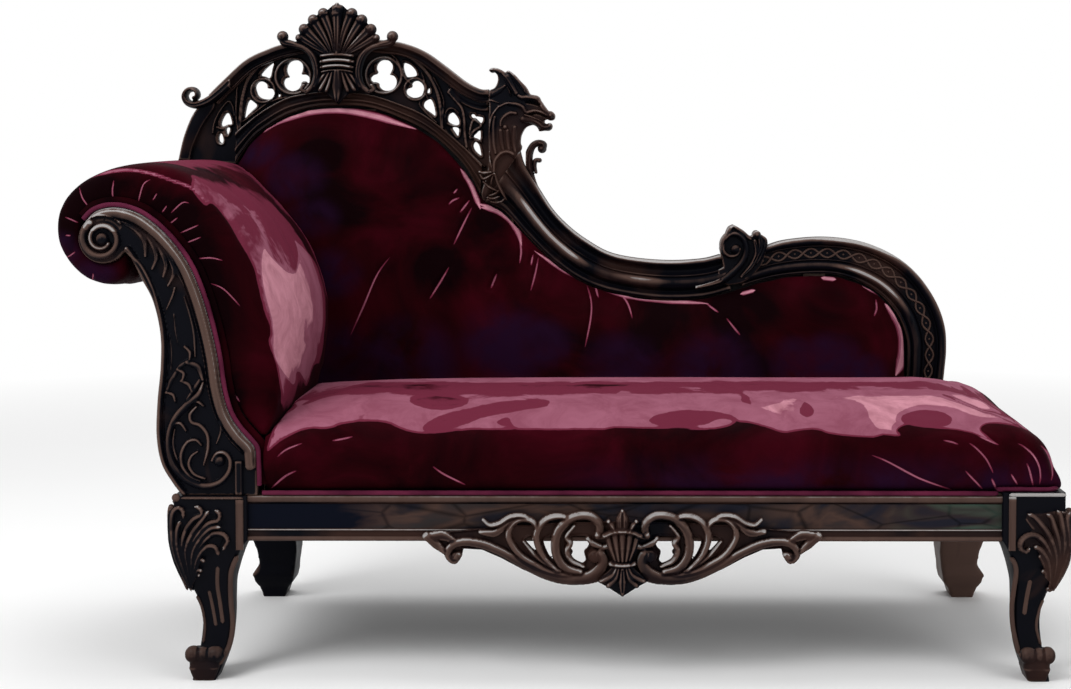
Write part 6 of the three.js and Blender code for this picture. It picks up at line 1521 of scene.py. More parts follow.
def leg_leaf(corner, paths, outline, widths):
    leaf = Shells()
    backing = corner.drawn(outline)
    middle = backing.mean(0)
    rings = []
    for out, share in ((0.008, 1.0), (0.001, 0.97), (-0.0015, 0.86), (-0.0025, 0.6)):
        ring = middle + (backing - middle) * share
        rings.append([(x, leg_front(z) + out, z) for x, z in ring])
    leaf.loft(rings)
    for number, path in enumerate(paths):
        line = smooth(corner.drawn(path), 34)
        back = leg_front(line[:, 1]) - 0.0035 - 0.0012 * (number % 2)
        back -= 0.004 * np.linspace(0, 1, len(line)) ** 3
        shape = widths if len(path) > 4 else [widths[0], widths[1], widths[-1]]
        leaf.front_stem(line, shape, np.array(shape) * 1.35, list(back), 34)
    return leaf


def front_leg(side, node, corner, paths, outline, widths):
    inner = 0.130 * corner.narrow
    leg = Shells()
    rows = smooth(LEG_ROWS, 60)
    leg.loft([rounded_ring((0, 0), (inner, 0.110), level, 0.03) for level in (corner.top, 0.290, 0.2495)])
    leg.loft([rounded_ring((row[1] * corner.narrow, row[3]), (row[2] * corner.narrow, row[4]), row[0],
                           0.03 + 0.12 * min(1, (0.25 - row[0]) / 0.05)) for row in rows])
    block = Shells()
    block.take(leg, corner.place, corner.turn < 0)
    body = mesh_object(side + "_leg_body", np.vstack(block.vertices), block.faces)
    store(body.data, "wear_and_highlight", np.full(len(body.data.vertices), 0.48))
    store(body.data, "cool", np.full(len(body.data.vertices), 0.5 if side == "left" else 0.1))
    dress(body, "ebony", (node,))
    body.data.set_sharp_from_angle(angle=math.radians(35))

    trim = Shells()
    for path, width, depth in LEG_STRIPES[side]:
        line = smooth(corner.drawn(path, -0.300), 40)
        trim.front_stem(line, width, depth, list(leg_front(line[:, 1]) + 0.0004), 40, 12)
    strip_low, strip_high = (0.853 * inner, 0.953 * inner) if side == "left" else (0.80 * inner, 0.91 * inner)
    edges = [(strip_low, 0.001), (strip_low, -0.0028), (strip_low + 0.0012, -0.0038), (strip_low + 0.0028, -0.0024),
             (strip_high - 0.0028, -0.0024), (strip_high - 0.0012, -0.0038), (strip_high, -0.0028), (strip_high, 0.001)]
    trim.loft([[(x, y, z) for x, y in edges] for z in np.linspace(0.234, corner.top - 0.0065, 12)])
    bead = 0.0020 if side == "left" else 0.0032
    first = 0.014 if side == "left" else 0.0
    trim.front_stem([(first, corner.top - 0.0035), (0.5 * inner, corner.top - 0.0035), (strip_high, corner.top - 0.0035)],
                    bead, 0.0042, 0.0, 24, 12)
    if side == "left":
        trim.ball((0.004, 0.003, corner.top - 0.0035), 0.0078)
    placed = Shells()
    placed.take(trim, corner.place, corner.turn < 0)
    bands = mesh_object(side + "_leg_bands", np.vstack(placed.vertices), placed.faces)
    # The top bead gets a painted highlight, pale at the right leg and mostly worn brown at the left; the other bands
    # are worn brown
    bead_highlight = 1.20 if side == "right" else 0.96
    high = coordinates(bands.data)[:, 2] > corner.top - 0.0068
    store(bands.data, "wear_and_highlight", np.where(high, bead_highlight, 0.80))
    dress(bands, "brown_ebony")
    bands.data.set_sharp_from_angle(angle=math.radians(50))

    leaf = leg_leaf(corner, paths, outline, widths)
    both = Shells()
    both.take(leaf, corner.place, corner.turn < 0)
    both.take(leaf, lambda points: corner.place(points[:, [1, 0, 2]]), corner.turn > 0)
    both.carve(side + "_leg_leaf", "brown_ebony" if side == "right" else "ebony", 0.0013, 1, (), "ebony", 1.6)

    # The toe is a roll with a capped outer end and two knobs, over a small tapering foot
    toe = Shells()
    turned = [(0.0185, 0.0015), (0.0205, 0.0085), (0.0265, 0.0140), (0.0335, 0.0156), (0.0400, 0.0142), (0.0425, 0.0108),
              (0.0440, 0.0122), (0.0505, 0.0136), (0.0575, 0.0122), (0.0600, 0.0098), (0.0620, 0.0126), (0.0700, 0.0148),
              (0.0790, 0.0140), (0.0850, 0.0098), (0.0868, 0.0050), (0.0885, 0.0046), (0.0895, 0.0010)]
    turned_roll(toe, [(across * (0.35 + 0.65 * corner.narrow), radius) for across, radius in turned], -0.001, 0.0465)
    toe.loft([rounded_ring((0.026 - 0.001 * share, -0.011 + 0.003 * share), (0.079 * corner.narrow ** 0.5, 0.040),
                           0.022 + 0.030 * share, 0.25) for share in np.linspace(0, 1, 6)])
    toe.loft([rounded_ring((0.033 - 0.008 * share, -0.006 - 0.005 * share),
                           ((0.071 + 0.008 * share) * corner.narrow ** 0.5, 0.050), 0.0005 + 0.022 * share, 0.2)
              for share in np.linspace(0, 1, 5)])
    placed = Shells()
    placed.take(toe, corner.place, corner.turn < 0)
    placed.carve(side + "_leg_toe", "brown_ebony", 0.0016, 1, (), "ebony", 1.6)


# The rear legs keep their sawn shape, with the edges eased
def rear_leg(name, node, brown):
    piece = Shells(node).carve(name, "ebony", 0.0045, 4, (node,))
    store(piece.data, "cool", np.full(len(piece.data.vertices), 0.0 if brown else 0.6))
    if brown:
        values = np.empty(len(piece.data.vertices))
        piece.data.attributes["wear_and_highlight"].data.foreach_get("value", values)
        place = coordinates(piece.data)
        worn = values + 0.62 * ramp(0.215, 0.150, place[:, 2] + 0.35 * (0.84 - place[:, 0]))
        store(piece.data, "wear_and_highlight", np.minimum(worn, 0.92))


# Seat rails: a bead at the top, a sunk frieze, and a line, a cove and a bead below. Each row gives
# how far it stands in front of the frieze, its height, and how worn it is; the highest values paint pale highlight
# lines.
RAIL_PROFILE = [(-0.038, 0.2480, 0.4), (0.0025, 0.2480, 0.62), (0.0050, 0.2490, 0.76), (0.0062, 0.2520, 0.82),
                (0.0055, 0.2550, 0.84), (0.0035, 0.2568, 0.70), (0.0010, 0.2574, 0.2), (0.0000, 0.2600, 0.3),
                (0.0000, 0.2640, 0.4), (0.0014, 0.2664, 0.5), (0.0034, 0.2672, 1.00), (0.0036, 0.2688, 1.14),
                (0.0018, 0.2698, 0.60), (-0.0006, 0.2702, 0.2), (-0.0006, 0.3140, 0.2), (0.0002, 0.3146, 0.4),
                (-0.0008, 0.3156, 0.2), (0.0010, 0.3168, 0.4), (0.0044, 0.3182, 0.76), (0.0062, 0.3210, 0.80),
                (0.0064, 0.3250, 0.80), (0.0056, 0.3276, 1.02), (0.0024, 0.3294, 0.9), (0.0, 0.3298, 0.6),
                (-0.038, 0.3298, 0.4)]
FRIEZE_FACE = -0.3127


def seat_rail(name, node, place, ends, finish):
    along = np.linspace(*ends, 80)
    shells = Shells()
    shells.loft([[place(out, height, run) for out, height, _ in RAIL_PROFILE] for run in along])
    piece = mesh_object(name, np.vstack(shells.vertices), shells.faces)
    store(piece.data, "wear_and_highlight", np.tile([wear_and_highlight for _, _, wear_and_highlight in RAIL_PROFILE], len(along)))
    dress(piece, "brown_ebony", (node,))
    piece.data.set_sharp_from_angle(angle=math.radians(50))
    panel = Shells()
    edges = [(-0.0008, 0.2701), (0.0002, 0.2703), (0.0002, 0.3140), (-0.0008, 0.3142)]
    panel.loft([[place(out, height, run) for out, height in edges] for run in along])
    frieze = mesh_object(name + "_frieze", np.vstack(panel.vertices), panel.faces)
    store(frieze.data, "wear_and_highlight", np.full(len(frieze.data.vertices), 0.5))
    dress(frieze, finish)
    frieze.data.set_sharp_from_angle(angle=math.radians(40))


def seat_rails():
    low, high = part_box("front_seat_rail")
    seat_rail("front_rail", "front_seat_rail", lambda out, height, run: (run, FRIEZE_FACE - out, height),
              (low[0], high[0]), "veneer")
    left_low, left_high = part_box("left_end_rail")
    seat_rail("left_rail", "left_end_rail", lambda out, height, run: (left_low[0] + 0.0063 - out, run, height),
              (left_low[1], left_high[1]), "ebony")
    right_low, right_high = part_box("right_end_rail")
    seat_rail("right_rail", "right_end_rail", lambda out, height, run: (right_high[0] - 0.0063 + out, run, height),
              (right_low[1], right_high[1]), "ebony")


front_leg("left", "front_left_leg", Corner(LEFT_LEG_CROP, -0.684, 1, 1.0, 0.330), LEFT_LEAF, LEFT_LEAF_BACK,
          [0.0014, 0.0028, 0.0040, 0.0046, 0.0044, 0.0034])
front_leg("right", "front_right_leg", Corner(RIGHT_LEG_CROP, 0.900, -1, 0.854, 0.337), RIGHT_LEAF, RIGHT_LEAF_BACK,
          [0.0016, 0.0036, 0.0052, 0.0058, 0.0056, 0.0038])
rear_leg("left_rear_leg", "rear_left_leg", False)
rear_leg("right_rear_leg", "rear_right_leg", True)
seat_rails()


# Upholstery: stuffed pads, pleated and with painted sheen and shade along lines traced through zoomed crops

ARM_CROP = ((50, 150), 5.6)
SEAT_LEFT_CROP = ((230, 370), 4.0205)
SEAT_MIDDLE_CROP = ((600, 300), 4.3556)
SEAT_RIGHT_CROP = ((860, 370), 7.431)
BACK_CROP = ((200, 90), 4.9)
SLOPE_CROP = ((470, 190), 3.6465)


def from_crop(points, crop):
    return np.asarray(points, float) / crop[1] + crop[0]


# Where points of the model fall in the picture, and how squarely a surface there faces the camera
def picture_places(points):
    focal = CAMERA_LENS / 36 * PICTURE[0]
    right = np.array([math.cos(CAMERA_YAW), math.sin(CAMERA_YAW), 0])
    level = np.array([-math.sin(CAMERA_YAW), math.cos(CAMERA_YAW), 0])
    ahead = level * math.cos(CAMERA_PITCH) + np.array([0, 0, -math.sin(CAMERA_PITCH)])
    upward = np.cross(right, ahead)
    away = points - CAMERA_PLACE
    depth = away @ ahead
    return np.stack([PICTURE[0] / 2 - CAMERA_SHIFT[0] * PICTURE[0] + focal * (away @ right) / depth,
                     PICTURE[1] / 2 + CAMERA_SHIFT[1] * PICTURE[0] - focal * (away @ upward) / depth], 1)


def facing_camera(points, normals):
    towards = CAMERA_PLACE - points
    towards /= np.linalg.norm(towards, axis=1, keepdims=True)
    return (normals * towards).sum(1)


# The free room round a pad: how far each of its points is from every other solid of the frame
def room_round(points, node):
    corners, faces, count = [], [], 0
    for other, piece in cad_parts.items():
        if other != node:
            corners.append(coordinates(piece.data))
            faces += [tuple(corner + count for corner in face.vertices) for face in piece.data.polygons]
            count += len(piece.data.vertices)
    tree = BVHTree.FromPolygons([Vector(corner) for corner in np.vstack(corners)], faces)
    return np.array([tree.find_nearest(Vector(point))[3] for point in points])


# Rounds the corners of a closed outline
def cut_corners(outline, rounds=2):
    for _ in range(rounds):
        ahead = np.roll(outline, -1, axis=0)
        outline = np.stack([0.75 * outline + 0.25 * ahead, 0.25 * outline + 0.75 * ahead], 1).reshape(-1, 2)
    return outline


class Pad:
    """A stuffed pad that swells under its cover, is pleated, and has sheen, light and shade painted on its pile."""

    def __init__(self, name, node, voxel, cap, pressure=4.0):
        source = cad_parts[node].data
        self.node = node
        self.piece = mesh_object(name, coordinates(source), [tuple(face.vertices) for face in source.polygons])
        remesh = self.piece.modifiers.new("even_mesh", "REMESH")
        remesh.mode = "VOXEL"
        remesh.voxel_size = voxel
        apply_modifiers(self.piece)
        points = coordinates(self.piece.data)
        self.free = ramp(0.004, 0.030, room_round(points, node))
        self.soften(14)
        self.swell(cap, pressure)
        divide = self.piece.modifiers.new("divide", "SUBSURF")
        divide.levels = divide.render_levels = 1
        apply_modifiers(self.piece)
        self.refresh()
        self.free = ramp(0.004, 0.030, room_round(self.points, node))
        self.painted_sheen = np.zeros(len(self.points))
        self.shade = np.zeros(len(self.points))
        self.tone = np.zeros(len(self.points))

    def refresh(self):
        self.points = coordinates(self.piece.data)
        self.normals = vertex_normals(self.piece.data)
        self.seen = picture_places(self.points)
        self.facing = ramp(0.02, 0.25, facing_camera(self.points, self.normals))

    def move(self, points):
        self.piece.data.vertices.foreach_set("co", points.ravel())
        self.piece.data.update()

    # Rounds the facets away where the pad is free, and keeps it close to what holds it
    def soften(self, rounds):
        points = coordinates(self.piece.data)
        ends = edge_ends(self.piece.data)
        soft = points
        for _ in range(rounds):
            soft = soft + 0.6 * (neighbour_mean(soft, ends, len(soft)) - soft)
        share = (0.3 + 0.7 * self.free)[:, None]
        self.move(points + share * (soft - points))

    def swell(self, cap, pressure):
        piece = self.piece
        scene = bpy.context.scene
        rest = coordinates(piece.data)
        held = piece.vertex_groups.new(name="held")
        for level in range(11):
            members = np.flatnonzero(np.round((1 - self.free) * 10) == level)
            if level and len(members):
                held.add([int(member) for member in members], level / 10, "REPLACE")
        cloth = piece.modifiers.new("stuffing", "CLOTH")
        cloth.settings.quality = 5
        cloth.settings.mass = 0.3
        cloth.settings.tension_stiffness = 8
        cloth.settings.compression_stiffness = 8
        cloth.settings.bending_stiffness = 0.4
        cloth.settings.use_pressure = True
        cloth.settings.uniform_pressure_force = pressure
        cloth.settings.vertex_group_mass = "held"
        cloth.settings.effector_weights.gravity = 0
        cloth.point_cache.frame_start = 1
        cloth.point_cache.frame_end = 20
        for number in range(1, 21):
            scene.frame_set(number)
        evaluated = piece.evaluated_get(bpy.context.evaluated_depsgraph_get())
        swollen = coordinates(evaluated.to_mesh())
        evaluated.to_mesh_clear()
        piece.modifiers.remove(cloth)
        piece.vertex_groups.clear()
        scene.frame_set(1)
        moved = swollen - rest
        ends = edge_ends(piece.data)
        for _ in range(4):
            moved = neighbour_mean(moved, ends, len(moved))
        length = np.maximum(np.linalg.norm(moved, axis=1), 1e-9)
        self.move(rest + moved * (np.minimum(length, cap) / length * self.free)[:, None])

    # Adds points to the mesh along lines and outlines, so that pleats and the edges of painted sheen stay crisp
    def refine(self, paths, reach, rounds=1):
        for _ in range(rounds):
            near = np.zeros(len(self.points), bool)
            for path, crop, closed in paths:
                line = cut_corners(from_crop(path, crop)) if closed else smooth(from_crop(path, crop), 24)
                if closed:
                    line = np.vstack([line, line[:1]])
                low, high = line.min(0) - reach, line.max(0) + reach
                inside = np.flatnonzero(((self.seen >= low) & (self.seen <= high)).all(1) & (self.facing > 0) & ~near)
                if len(inside):
                    gap_to, _, _ = distance_to_path(self.seen[inside], line, np.full(len(line), 1.0))
                    near[inside[gap_to < reach - 1]] = True
            fine = bmesh.new()
            fine.from_mesh(self.piece.data)
            fine.verts.ensure_lookup_table()
            edges = [edge for edge in fine.edges if near[edge.verts[0].index] and near[edge.verts[1].index]]
            bmesh.ops.subdivide_edges(fine, edges=edges, cuts=1, use_grid_fill=True)
            fine.to_mesh(self.piece.data)
            fine.free()
            self.piece.data.update()
            self.refresh()
        for polygon in self.piece.data.polygons:
            polygon.use_smooth = True
        self.free = ramp(0.004, 0.030, room_round(self.points, self.node))
        self.painted_sheen = np.zeros(len(self.points))
        self.shade = np.zeros(len(self.points))
        self.tone = np.zeros(len(self.points))

    # A pull in the cover: a narrow valley with a low ridge on each side, that fades at its ends. With light, a painted
    # highlight line runs along it.
    def pleat(self, path, crop, depth, width=2.2, light=0.0):
        path = smooth(from_crop(path, crop), 24)
        low, high = path.min(0) - 6 * width, path.max(0) + 6 * width
        near = np.flatnonzero(((self.seen >= low) & (self.seen <= high)).all(1) & (self.facing > 0))
        if not len(near):
            return
        _, ratio, along = distance_to_path(self.seen[near], path, np.full(len(path), float(width)))
        fade = np.clip(np.sin(np.pi * np.clip(along, 0.02, 0.98)), 0, 1) ** 0.6
        fall = -depth * np.exp(-ratio ** 2) + 0.5 * depth * np.exp(-((ratio - 2.3) / 0.9) ** 2)
        self.points[near] += self.normals[near] * (fall * fade * self.facing[near] * self.free[near])[:, None]
        if light:
            self.painted_sheen[near] = np.maximum(self.painted_sheen[near], light * fade * np.exp(-(ratio * 2.1) ** 2))

    # Fills out the free end of the seat, which stands fuller than its frame
    def fill_end(self):
        points = self.points.copy()
        along = [0.60, 0.70, 0.76, 0.80, 0.83, 0.866, 0.89, 0.910]
        level = [0.0, 0.492, 0.484, 0.476, 0.464, 0.441, 0.422, 0.392]
        bins = np.arange(0.60, 0.93, 0.01)
        crown = np.array([points[abs(points[:, 0] - middle) < 0.008, 2].max(initial=0) for middle in bins])
        known = crown > 0
        crown = np.interp(points[:, 0], bins[known], crown[known])
        wanted = np.maximum(crown, np.interp(points[:, 0], along[1:], level[1:]))
        share = ramp(0.66, 0.76, points[:, 0]) * ramp(0.345, 0.40, points[:, 2]) * self.free
        rise = np.clip((points[:, 2] - 0.340) / np.maximum(crown - 0.340, 0.02), 0, 1)
        points[:, 2] += share * rise * np.clip(wanted - crown, 0, 0.024)
        self.move(points)
        self.refresh()

    # Paints light and shade onto an area of the pile, drawn as an outline or as a broad line
    def area(self, outline, crop, level, soft=3.0):
        inside = ramp(-soft, soft, -signed_distance(self.seen, cut_corners(from_crop(outline, crop))))
        return level * inside * self.facing

    def line(self, path, crop, width, level):
        path = smooth(from_crop(path, crop), 30)
        near = self.near(path, 2 * width)
        _, ratio, along = distance_to_path(self.seen[near], path, np.full(len(path), float(width)))
        taper = np.clip(5 * np.minimum(along, 1 - along) + 0.02, 0, 1) ** 0.7
        value = np.zeros(len(self.points))
        value[near] = level * np.clip(1.5 - ratio / taper, 0, 1) * self.facing[near]
        return value

    def near(self, path, margin):
        low, high = path.min(0) - margin, path.max(0) + margin
        return np.flatnonzero(((self.seen >= low) & (self.seen <= high)).all(1))

    def spot(self, centre, crop, radius, level):
        centre = from_crop([centre], crop)[0]
        away = np.linalg.norm((self.seen - centre) * (1, 1.25), axis=1)
        return level * (1 - ramp(0.35 * radius, radius, away)) * self.facing

    def finish(self, fill, finish="velvet"):
        self.move(self.points)
        for name, values in (("painted_sheen", self.painted_sheen), ("shade", self.shade), ("tone", self.tone)):
            store(self.piece.data, name, values)
        dress(self.piece, finish, (self.node,))
        return self.piece


ARM_PLEATS = [
    [(160, 195), (180, 270), (235, 338)], [(358, 160), (348, 230), (360, 300)],
    [(575, 160), (520, 195), (488, 318)], [(600, 238), (572, 285)], [(655, 308), (625, 352)],
    [(790, 302), (740, 295), (668, 362)], [(718, 375), (655, 425)], [(842, 415), (718, 470)],
    [(852, 485), (752, 525)], [(815, 610), (900, 605), (978, 622)], [(880, 742), (970, 780), (1078, 890)],
    [(75, 372), (165, 410)], [(82, 478), (118, 480)], [(145, 568), (85, 608)], [(240, 690), (236, 735)],
    [(1018, 1350), (1065, 1415)],
]
# Long folds over the arm's roll, which open towards the seat
ARM_FOLDS = [
    [(830, 175), (960, 330), (1040, 450), (1080, 560)], [(900, 130), (1080, 280), (1180, 420), (1260, 590)],
    [(1060, 190), (1250, 370), (1360, 560), (1420, 760)], [(1300, 640), (1380, 800), (1440, 960), (1480, 1100)],
    [(1210, 620), (1270, 830), (1330, 950)], [(1230, 1010), (1190, 900), (1150, 855)],
    [(1380, 1210), (1395, 1330), (1360, 1500)], [(1500, 1200), (1440, 1370), (1400, 1500)],
    [(1300, 1380), (1290, 1500)],
]
# Areas painted with rose and pink sheen on the arm, and a painted highlight line along the roll's shoulder
ARM_ROSE = [(735, 88), (800, 150), (780, 212), (870, 330), (900, 290), (990, 385), (1060, 520), (1140, 650),
            (1160, 760), (1190, 880), (1240, 1010), (1215, 1080), (1262, 1180), (1282, 1290), (1300, 1400),
            (1285, 1600), (1750, 1600), (1750, 900), (1500, 420), (1300, 210), (1100, 70), (870, 30)]
ARM_PINK = [(1190, 520), (1240, 600), (1360, 705), (1390, 650), (1385, 560), (1350, 480), (1480, 600),
            (1560, 760), (1640, 1000), (1660, 1290), (1568, 1290), (1480, 1160), (1440, 1370), (1390, 1210),
            (1370, 1330), (1330, 1290), (1240, 1150), (1250, 1000), (1170, 700)]
ARM_BROW = [(165, 190), (260, 140), (420, 112), (560, 130), (680, 170), (790, 212), (880, 300)]
# Painted shade in the hollow of the crescent, next to the facing
ARM_HOLLOW_SHADE = [(120, 560), (90, 420), (140, 300), (260, 250), (430, 250), (580, 330), (700, 450), (790, 600),
              (880, 800), (940, 1050), (990, 1300), (1050, 1550)]

SEAT_PLEATS = [
    [(610, 518), (680, 530), (740, 555)], [(795, 530), (860, 575), (930, 650), (970, 720), (1000, 790)],
    [(1140, 535), (1210, 560), (1290, 630), (1335, 720), (1342, 800), (1325, 885)],
    [(1330, 545), (1390, 600), (1430, 690), (1435, 770), (1412, 845)], [(1235, 680), (1265, 760), (1290, 880)],
    [(770, 735), (840, 810), (920, 895)], [(1120, 765), (1175, 860)],
    [(45, 618), (180, 670), (350, 760), (500, 830), (750, 912)], [(870, 480), (960, 520), (1045, 562)],
    [(975, 800), (1015, 890)],
]
SEAT_LEFT_PLEATS = [[(805, 380), (860, 420), (960, 468)], [(275, 402), (220, 430), (155, 485)],
                    [(405, 285), (500, 265)], [(180, 360), (225, 320), (300, 290)]]
# Areas painted with rose and pink sheen on the seat, and darker islands cut out of them
SEAT_ROSE_LEFT = [(130, 350), (200, 290), (300, 235), (400, 240), (450, 215), (620, 205), (690, 245), (800, 262),
                  (960, 240), (1180, 240), (1700, 240), (1700, -60), (900, -40), (400, 40), (200, 160)]
SEAT_ROSE_MIDDLE = [(-60, 556), (60, 555), (200, 560), (430, 565), (550, 560), (600, 530), (700, 545), (800, 585),
                    (840, 575), (940, 560), (1010, 590), (1300, 605), (1300, 300), (-60, 300)]
SEAT_ROSE_RIGHT = [(0, 470), (200, 480), (320, 495), (262, 450), (330, 405), (420, 430), (570, 440), (700, 440),
                   (860, 475), (960, 520), (1040, 560), (960, 500), (880, 440), (940, 392), (1100, 402), (1250, 450),
                   (1400, 540), (1500, 640), (1530, 760), (1700, 760), (1600, 300), (900, -60), (0, -60)]
SEAT_PINK = [(60, 515), (140, 505), (230, 445), (130, 470), (60, 440), (240, 395), (500, 420), (620, 405),
             (650, 480), (780, 520), (800, 570), (840, 540), (900, 480), (905, 420), (1000, 455), (1150, 460),
             (1240, 410), (1568, 370), (1568, 300), (60, 300)]
SEAT_PINK_RIGHT = [(-300, 250), (0, 245), (60, 400), (110, 462), (180, 470), (310, 490), (250, 445), (310, 395),
                   (290, 350), (420, 290), (600, 300), (700, 320), (860, 375), (940, 385), (1100, 395), (1250, 440),
                   (1400, 530), (1700, 560), (1600, 300), (900, -60), (-300, -60)]
SEAT_ISLANDS = [
    (SEAT_LEFT_CROP, [(760, 240), (830, 190), (1000, 140), (1280, 112), (1290, 145), (1150, 165), (1000, 195),
                      (830, 252)]),
    (SEAT_LEFT_CROP, [(1050, 215), (1120, 180), (1135, 220), (1160, 240)]),
    (SEAT_LEFT_CROP, [(690, 120), (860, 90), (990, 130), (830, 165)]),
    (SEAT_MIDDLE_CROP, [(180, 525), (320, 472), (480, 482), (590, 510), (610, 545), (540, 500), (440, 560),
                        (300, 560)]),
    (SEAT_MIDDLE_CROP, [(600, 440), (640, 408), (780, 408), (800, 440), (700, 462)]),
    (SEAT_MIDDLE_CROP, [(850, 440), (900, 440), (940, 490), (900, 515), (860, 480)]),
    (SEAT_RIGHT_CROP, [(300, 340), (420, 290), (600, 300), (690, 350), (680, 400), (640, 430), (420, 430),
                       (300, 390)]),
]
BACK_PLEATS = [
    [(1340, 560), (1290, 660), (1235, 775)], [(1228, 852), (1190, 920), (1115, 1040)], [(1325, 535), (1270, 605)],
    [(1278, 525), (1240, 540), (1215, 565)], [(1265, 480), (1240, 510)],
    [(955, 790), (870, 900), (800, 1060), (720, 1240)], [(1458, 895), (1425, 975)],
]
SLOPE_PLEATS = [
    [(252, 230), (240, 300), (218, 380)], [(420, 330), (442, 400), (440, 470), (415, 595)],
    [(530, 365), (575, 410), (595, 482)], [(180, 170), (188, 220), (180, 275)],
    [(1480, 390), (1485, 430), (1472, 465)], [(100, 300), (75, 362)], [(860, 410), (910, 448)],
    [(232, 230), (222, 280)], [(455, 345), (470, 395)], [(930, 460), (990, 535)],
]
# Painted rim highlights along the back's edges, each with its width
BACK_RIM = [
    (BACK_CROP, [(312, 208), (392, 154), (530, 110), (660, 98), (760, 108), (880, 134), (960, 160), (1060, 192)], 3.2),
    (BACK_CROP, [(1275, 385), (1320, 450), (1350, 520), (1375, 585)], 2.4),
    (BACK_CROP, [(1375, 575), (1450, 592), (1520, 640), (1570, 720)], 2.6),
    (SLOPE_CROP, [(30, 50), (110, 80), (165, 135), (190, 200)], 2.6),
    (SLOPE_CROP, [(235, 222), (330, 285), (450, 340), (560, 382), (700, 402), (870, 414)], 2.6),
    (SLOPE_CROP, [(985, 380), (1040, 365)], 1.8), (SLOPE_CROP, [(1280, 320), (1335, 326)], 2.0),
    (SLOPE_CROP, [(1430, 350), (1500, 385), (1568, 455)], 2.0),
    (SEAT_MIDDLE_CROP, [(1240, 16), (1298, 76), (1324, 160), (1320, 250), (1288, 330)], 5.5),
]
# Spots of painted shade on the back: purple, black for the deepest, and lighter red ones
BACK_PURPLE = [
    (BACK_CROP, (270, 280), 34), (BACK_CROP, (470, 430), 40), (BACK_CROP, (560, 620), 34),
    (BACK_CROP, (640, 900), 40), (BACK_CROP, (700, 1330), 60), (BACK_CROP, (1000, 1330), 70),
    (BACK_CROP, (1500, 1240), 60), (SLOPE_CROP, (150, 590), 50), (SLOPE_CROP, (260, 560), 44),
    (SLOPE_CROP, (560, 640), 55), (SLOPE_CROP, (900, 650), 60), (SLOPE_CROP, (1180, 620), 36),
    (SLOPE_CROP, (1320, 610), 40), (SLOPE_CROP, (1440, 660), 30),
]
BACK_BLACK = [(BACK_CROP, (600, 330), 34), (BACK_CROP, (640, 520), 40), (BACK_CROP, (740, 560), 36),
              (BACK_CROP, (1180, 880), 50), (BACK_CROP, (1330, 700), 40), (SLOPE_CROP, (120, 250), 30),
              (SLOPE_CROP, (700, 480), 55), (SLOPE_CROP, (1000, 450), 45), (SLOPE_CROP, (1300, 420), 40)]
BACK_RED = [(BACK_CROP, (960, 200), 40), (BACK_CROP, (860, 420), 45), (BACK_CROP, (850, 760), 40),
            (BACK_CROP, (1000, 1000), 50), (SLOPE_CROP, (60, 420), 45), (SLOPE_CROP, (560, 440), 35),
            (SLOPE_CROP, (1530, 560), 26)]


def arm_pad():
    pad = Pad("arm_cover", "arm_pad", 0.0095, 0.008, 3.0)
    pad.refine([(path, ARM_CROP, False) for path in ARM_PLEATS] + [(ARM_PINK, ARM_CROP, True)], 4.0)
    pad.refine([(path, ARM_CROP, False) for path in ARM_PLEATS], 3.5)
    for path in ARM_PLEATS:
        pad.pleat(path, ARM_CROP, 0.0024, 1.7, 0.78)
    for path in ARM_FOLDS:
        pad.pleat(path, ARM_CROP, 0.0026, 2.2)
    # Painted sheen on surfaces turned up and to the right
    top = 0.42 * ramp(0.2, 0.75, pad.normals @ np.array([0.45, 0.0, 0.89])) * ramp(-0.26, -0.16, pad.points[:, 1])
    pad.painted_sheen = np.maximum.reduce([pad.painted_sheen, pad.area(ARM_ROSE, ARM_CROP, 0.50), pad.area(ARM_PINK, ARM_CROP, 0.86, 2.0),
                                 pad.line(ARM_BROW, ARM_CROP, 2.0, 0.55), top * (1 - pad.facing)])
    # Painted shade in the crescent's hollow, painted light on upward faces, and purple painted shade in two spots
    pad.tone = pad.line(ARM_HOLLOW_SHADE, ARM_CROP, 24, -1.0) + 0.35 * ramp(0.1, 0.6, pad.normals[:, 2]) * pad.facing
    pad.shade = np.maximum(pad.spot((60, 560), ARM_CROP, 30, 0.8), pad.spot((250, 700), ARM_CROP, 30, 0.8))
    pad.finish(0.85)


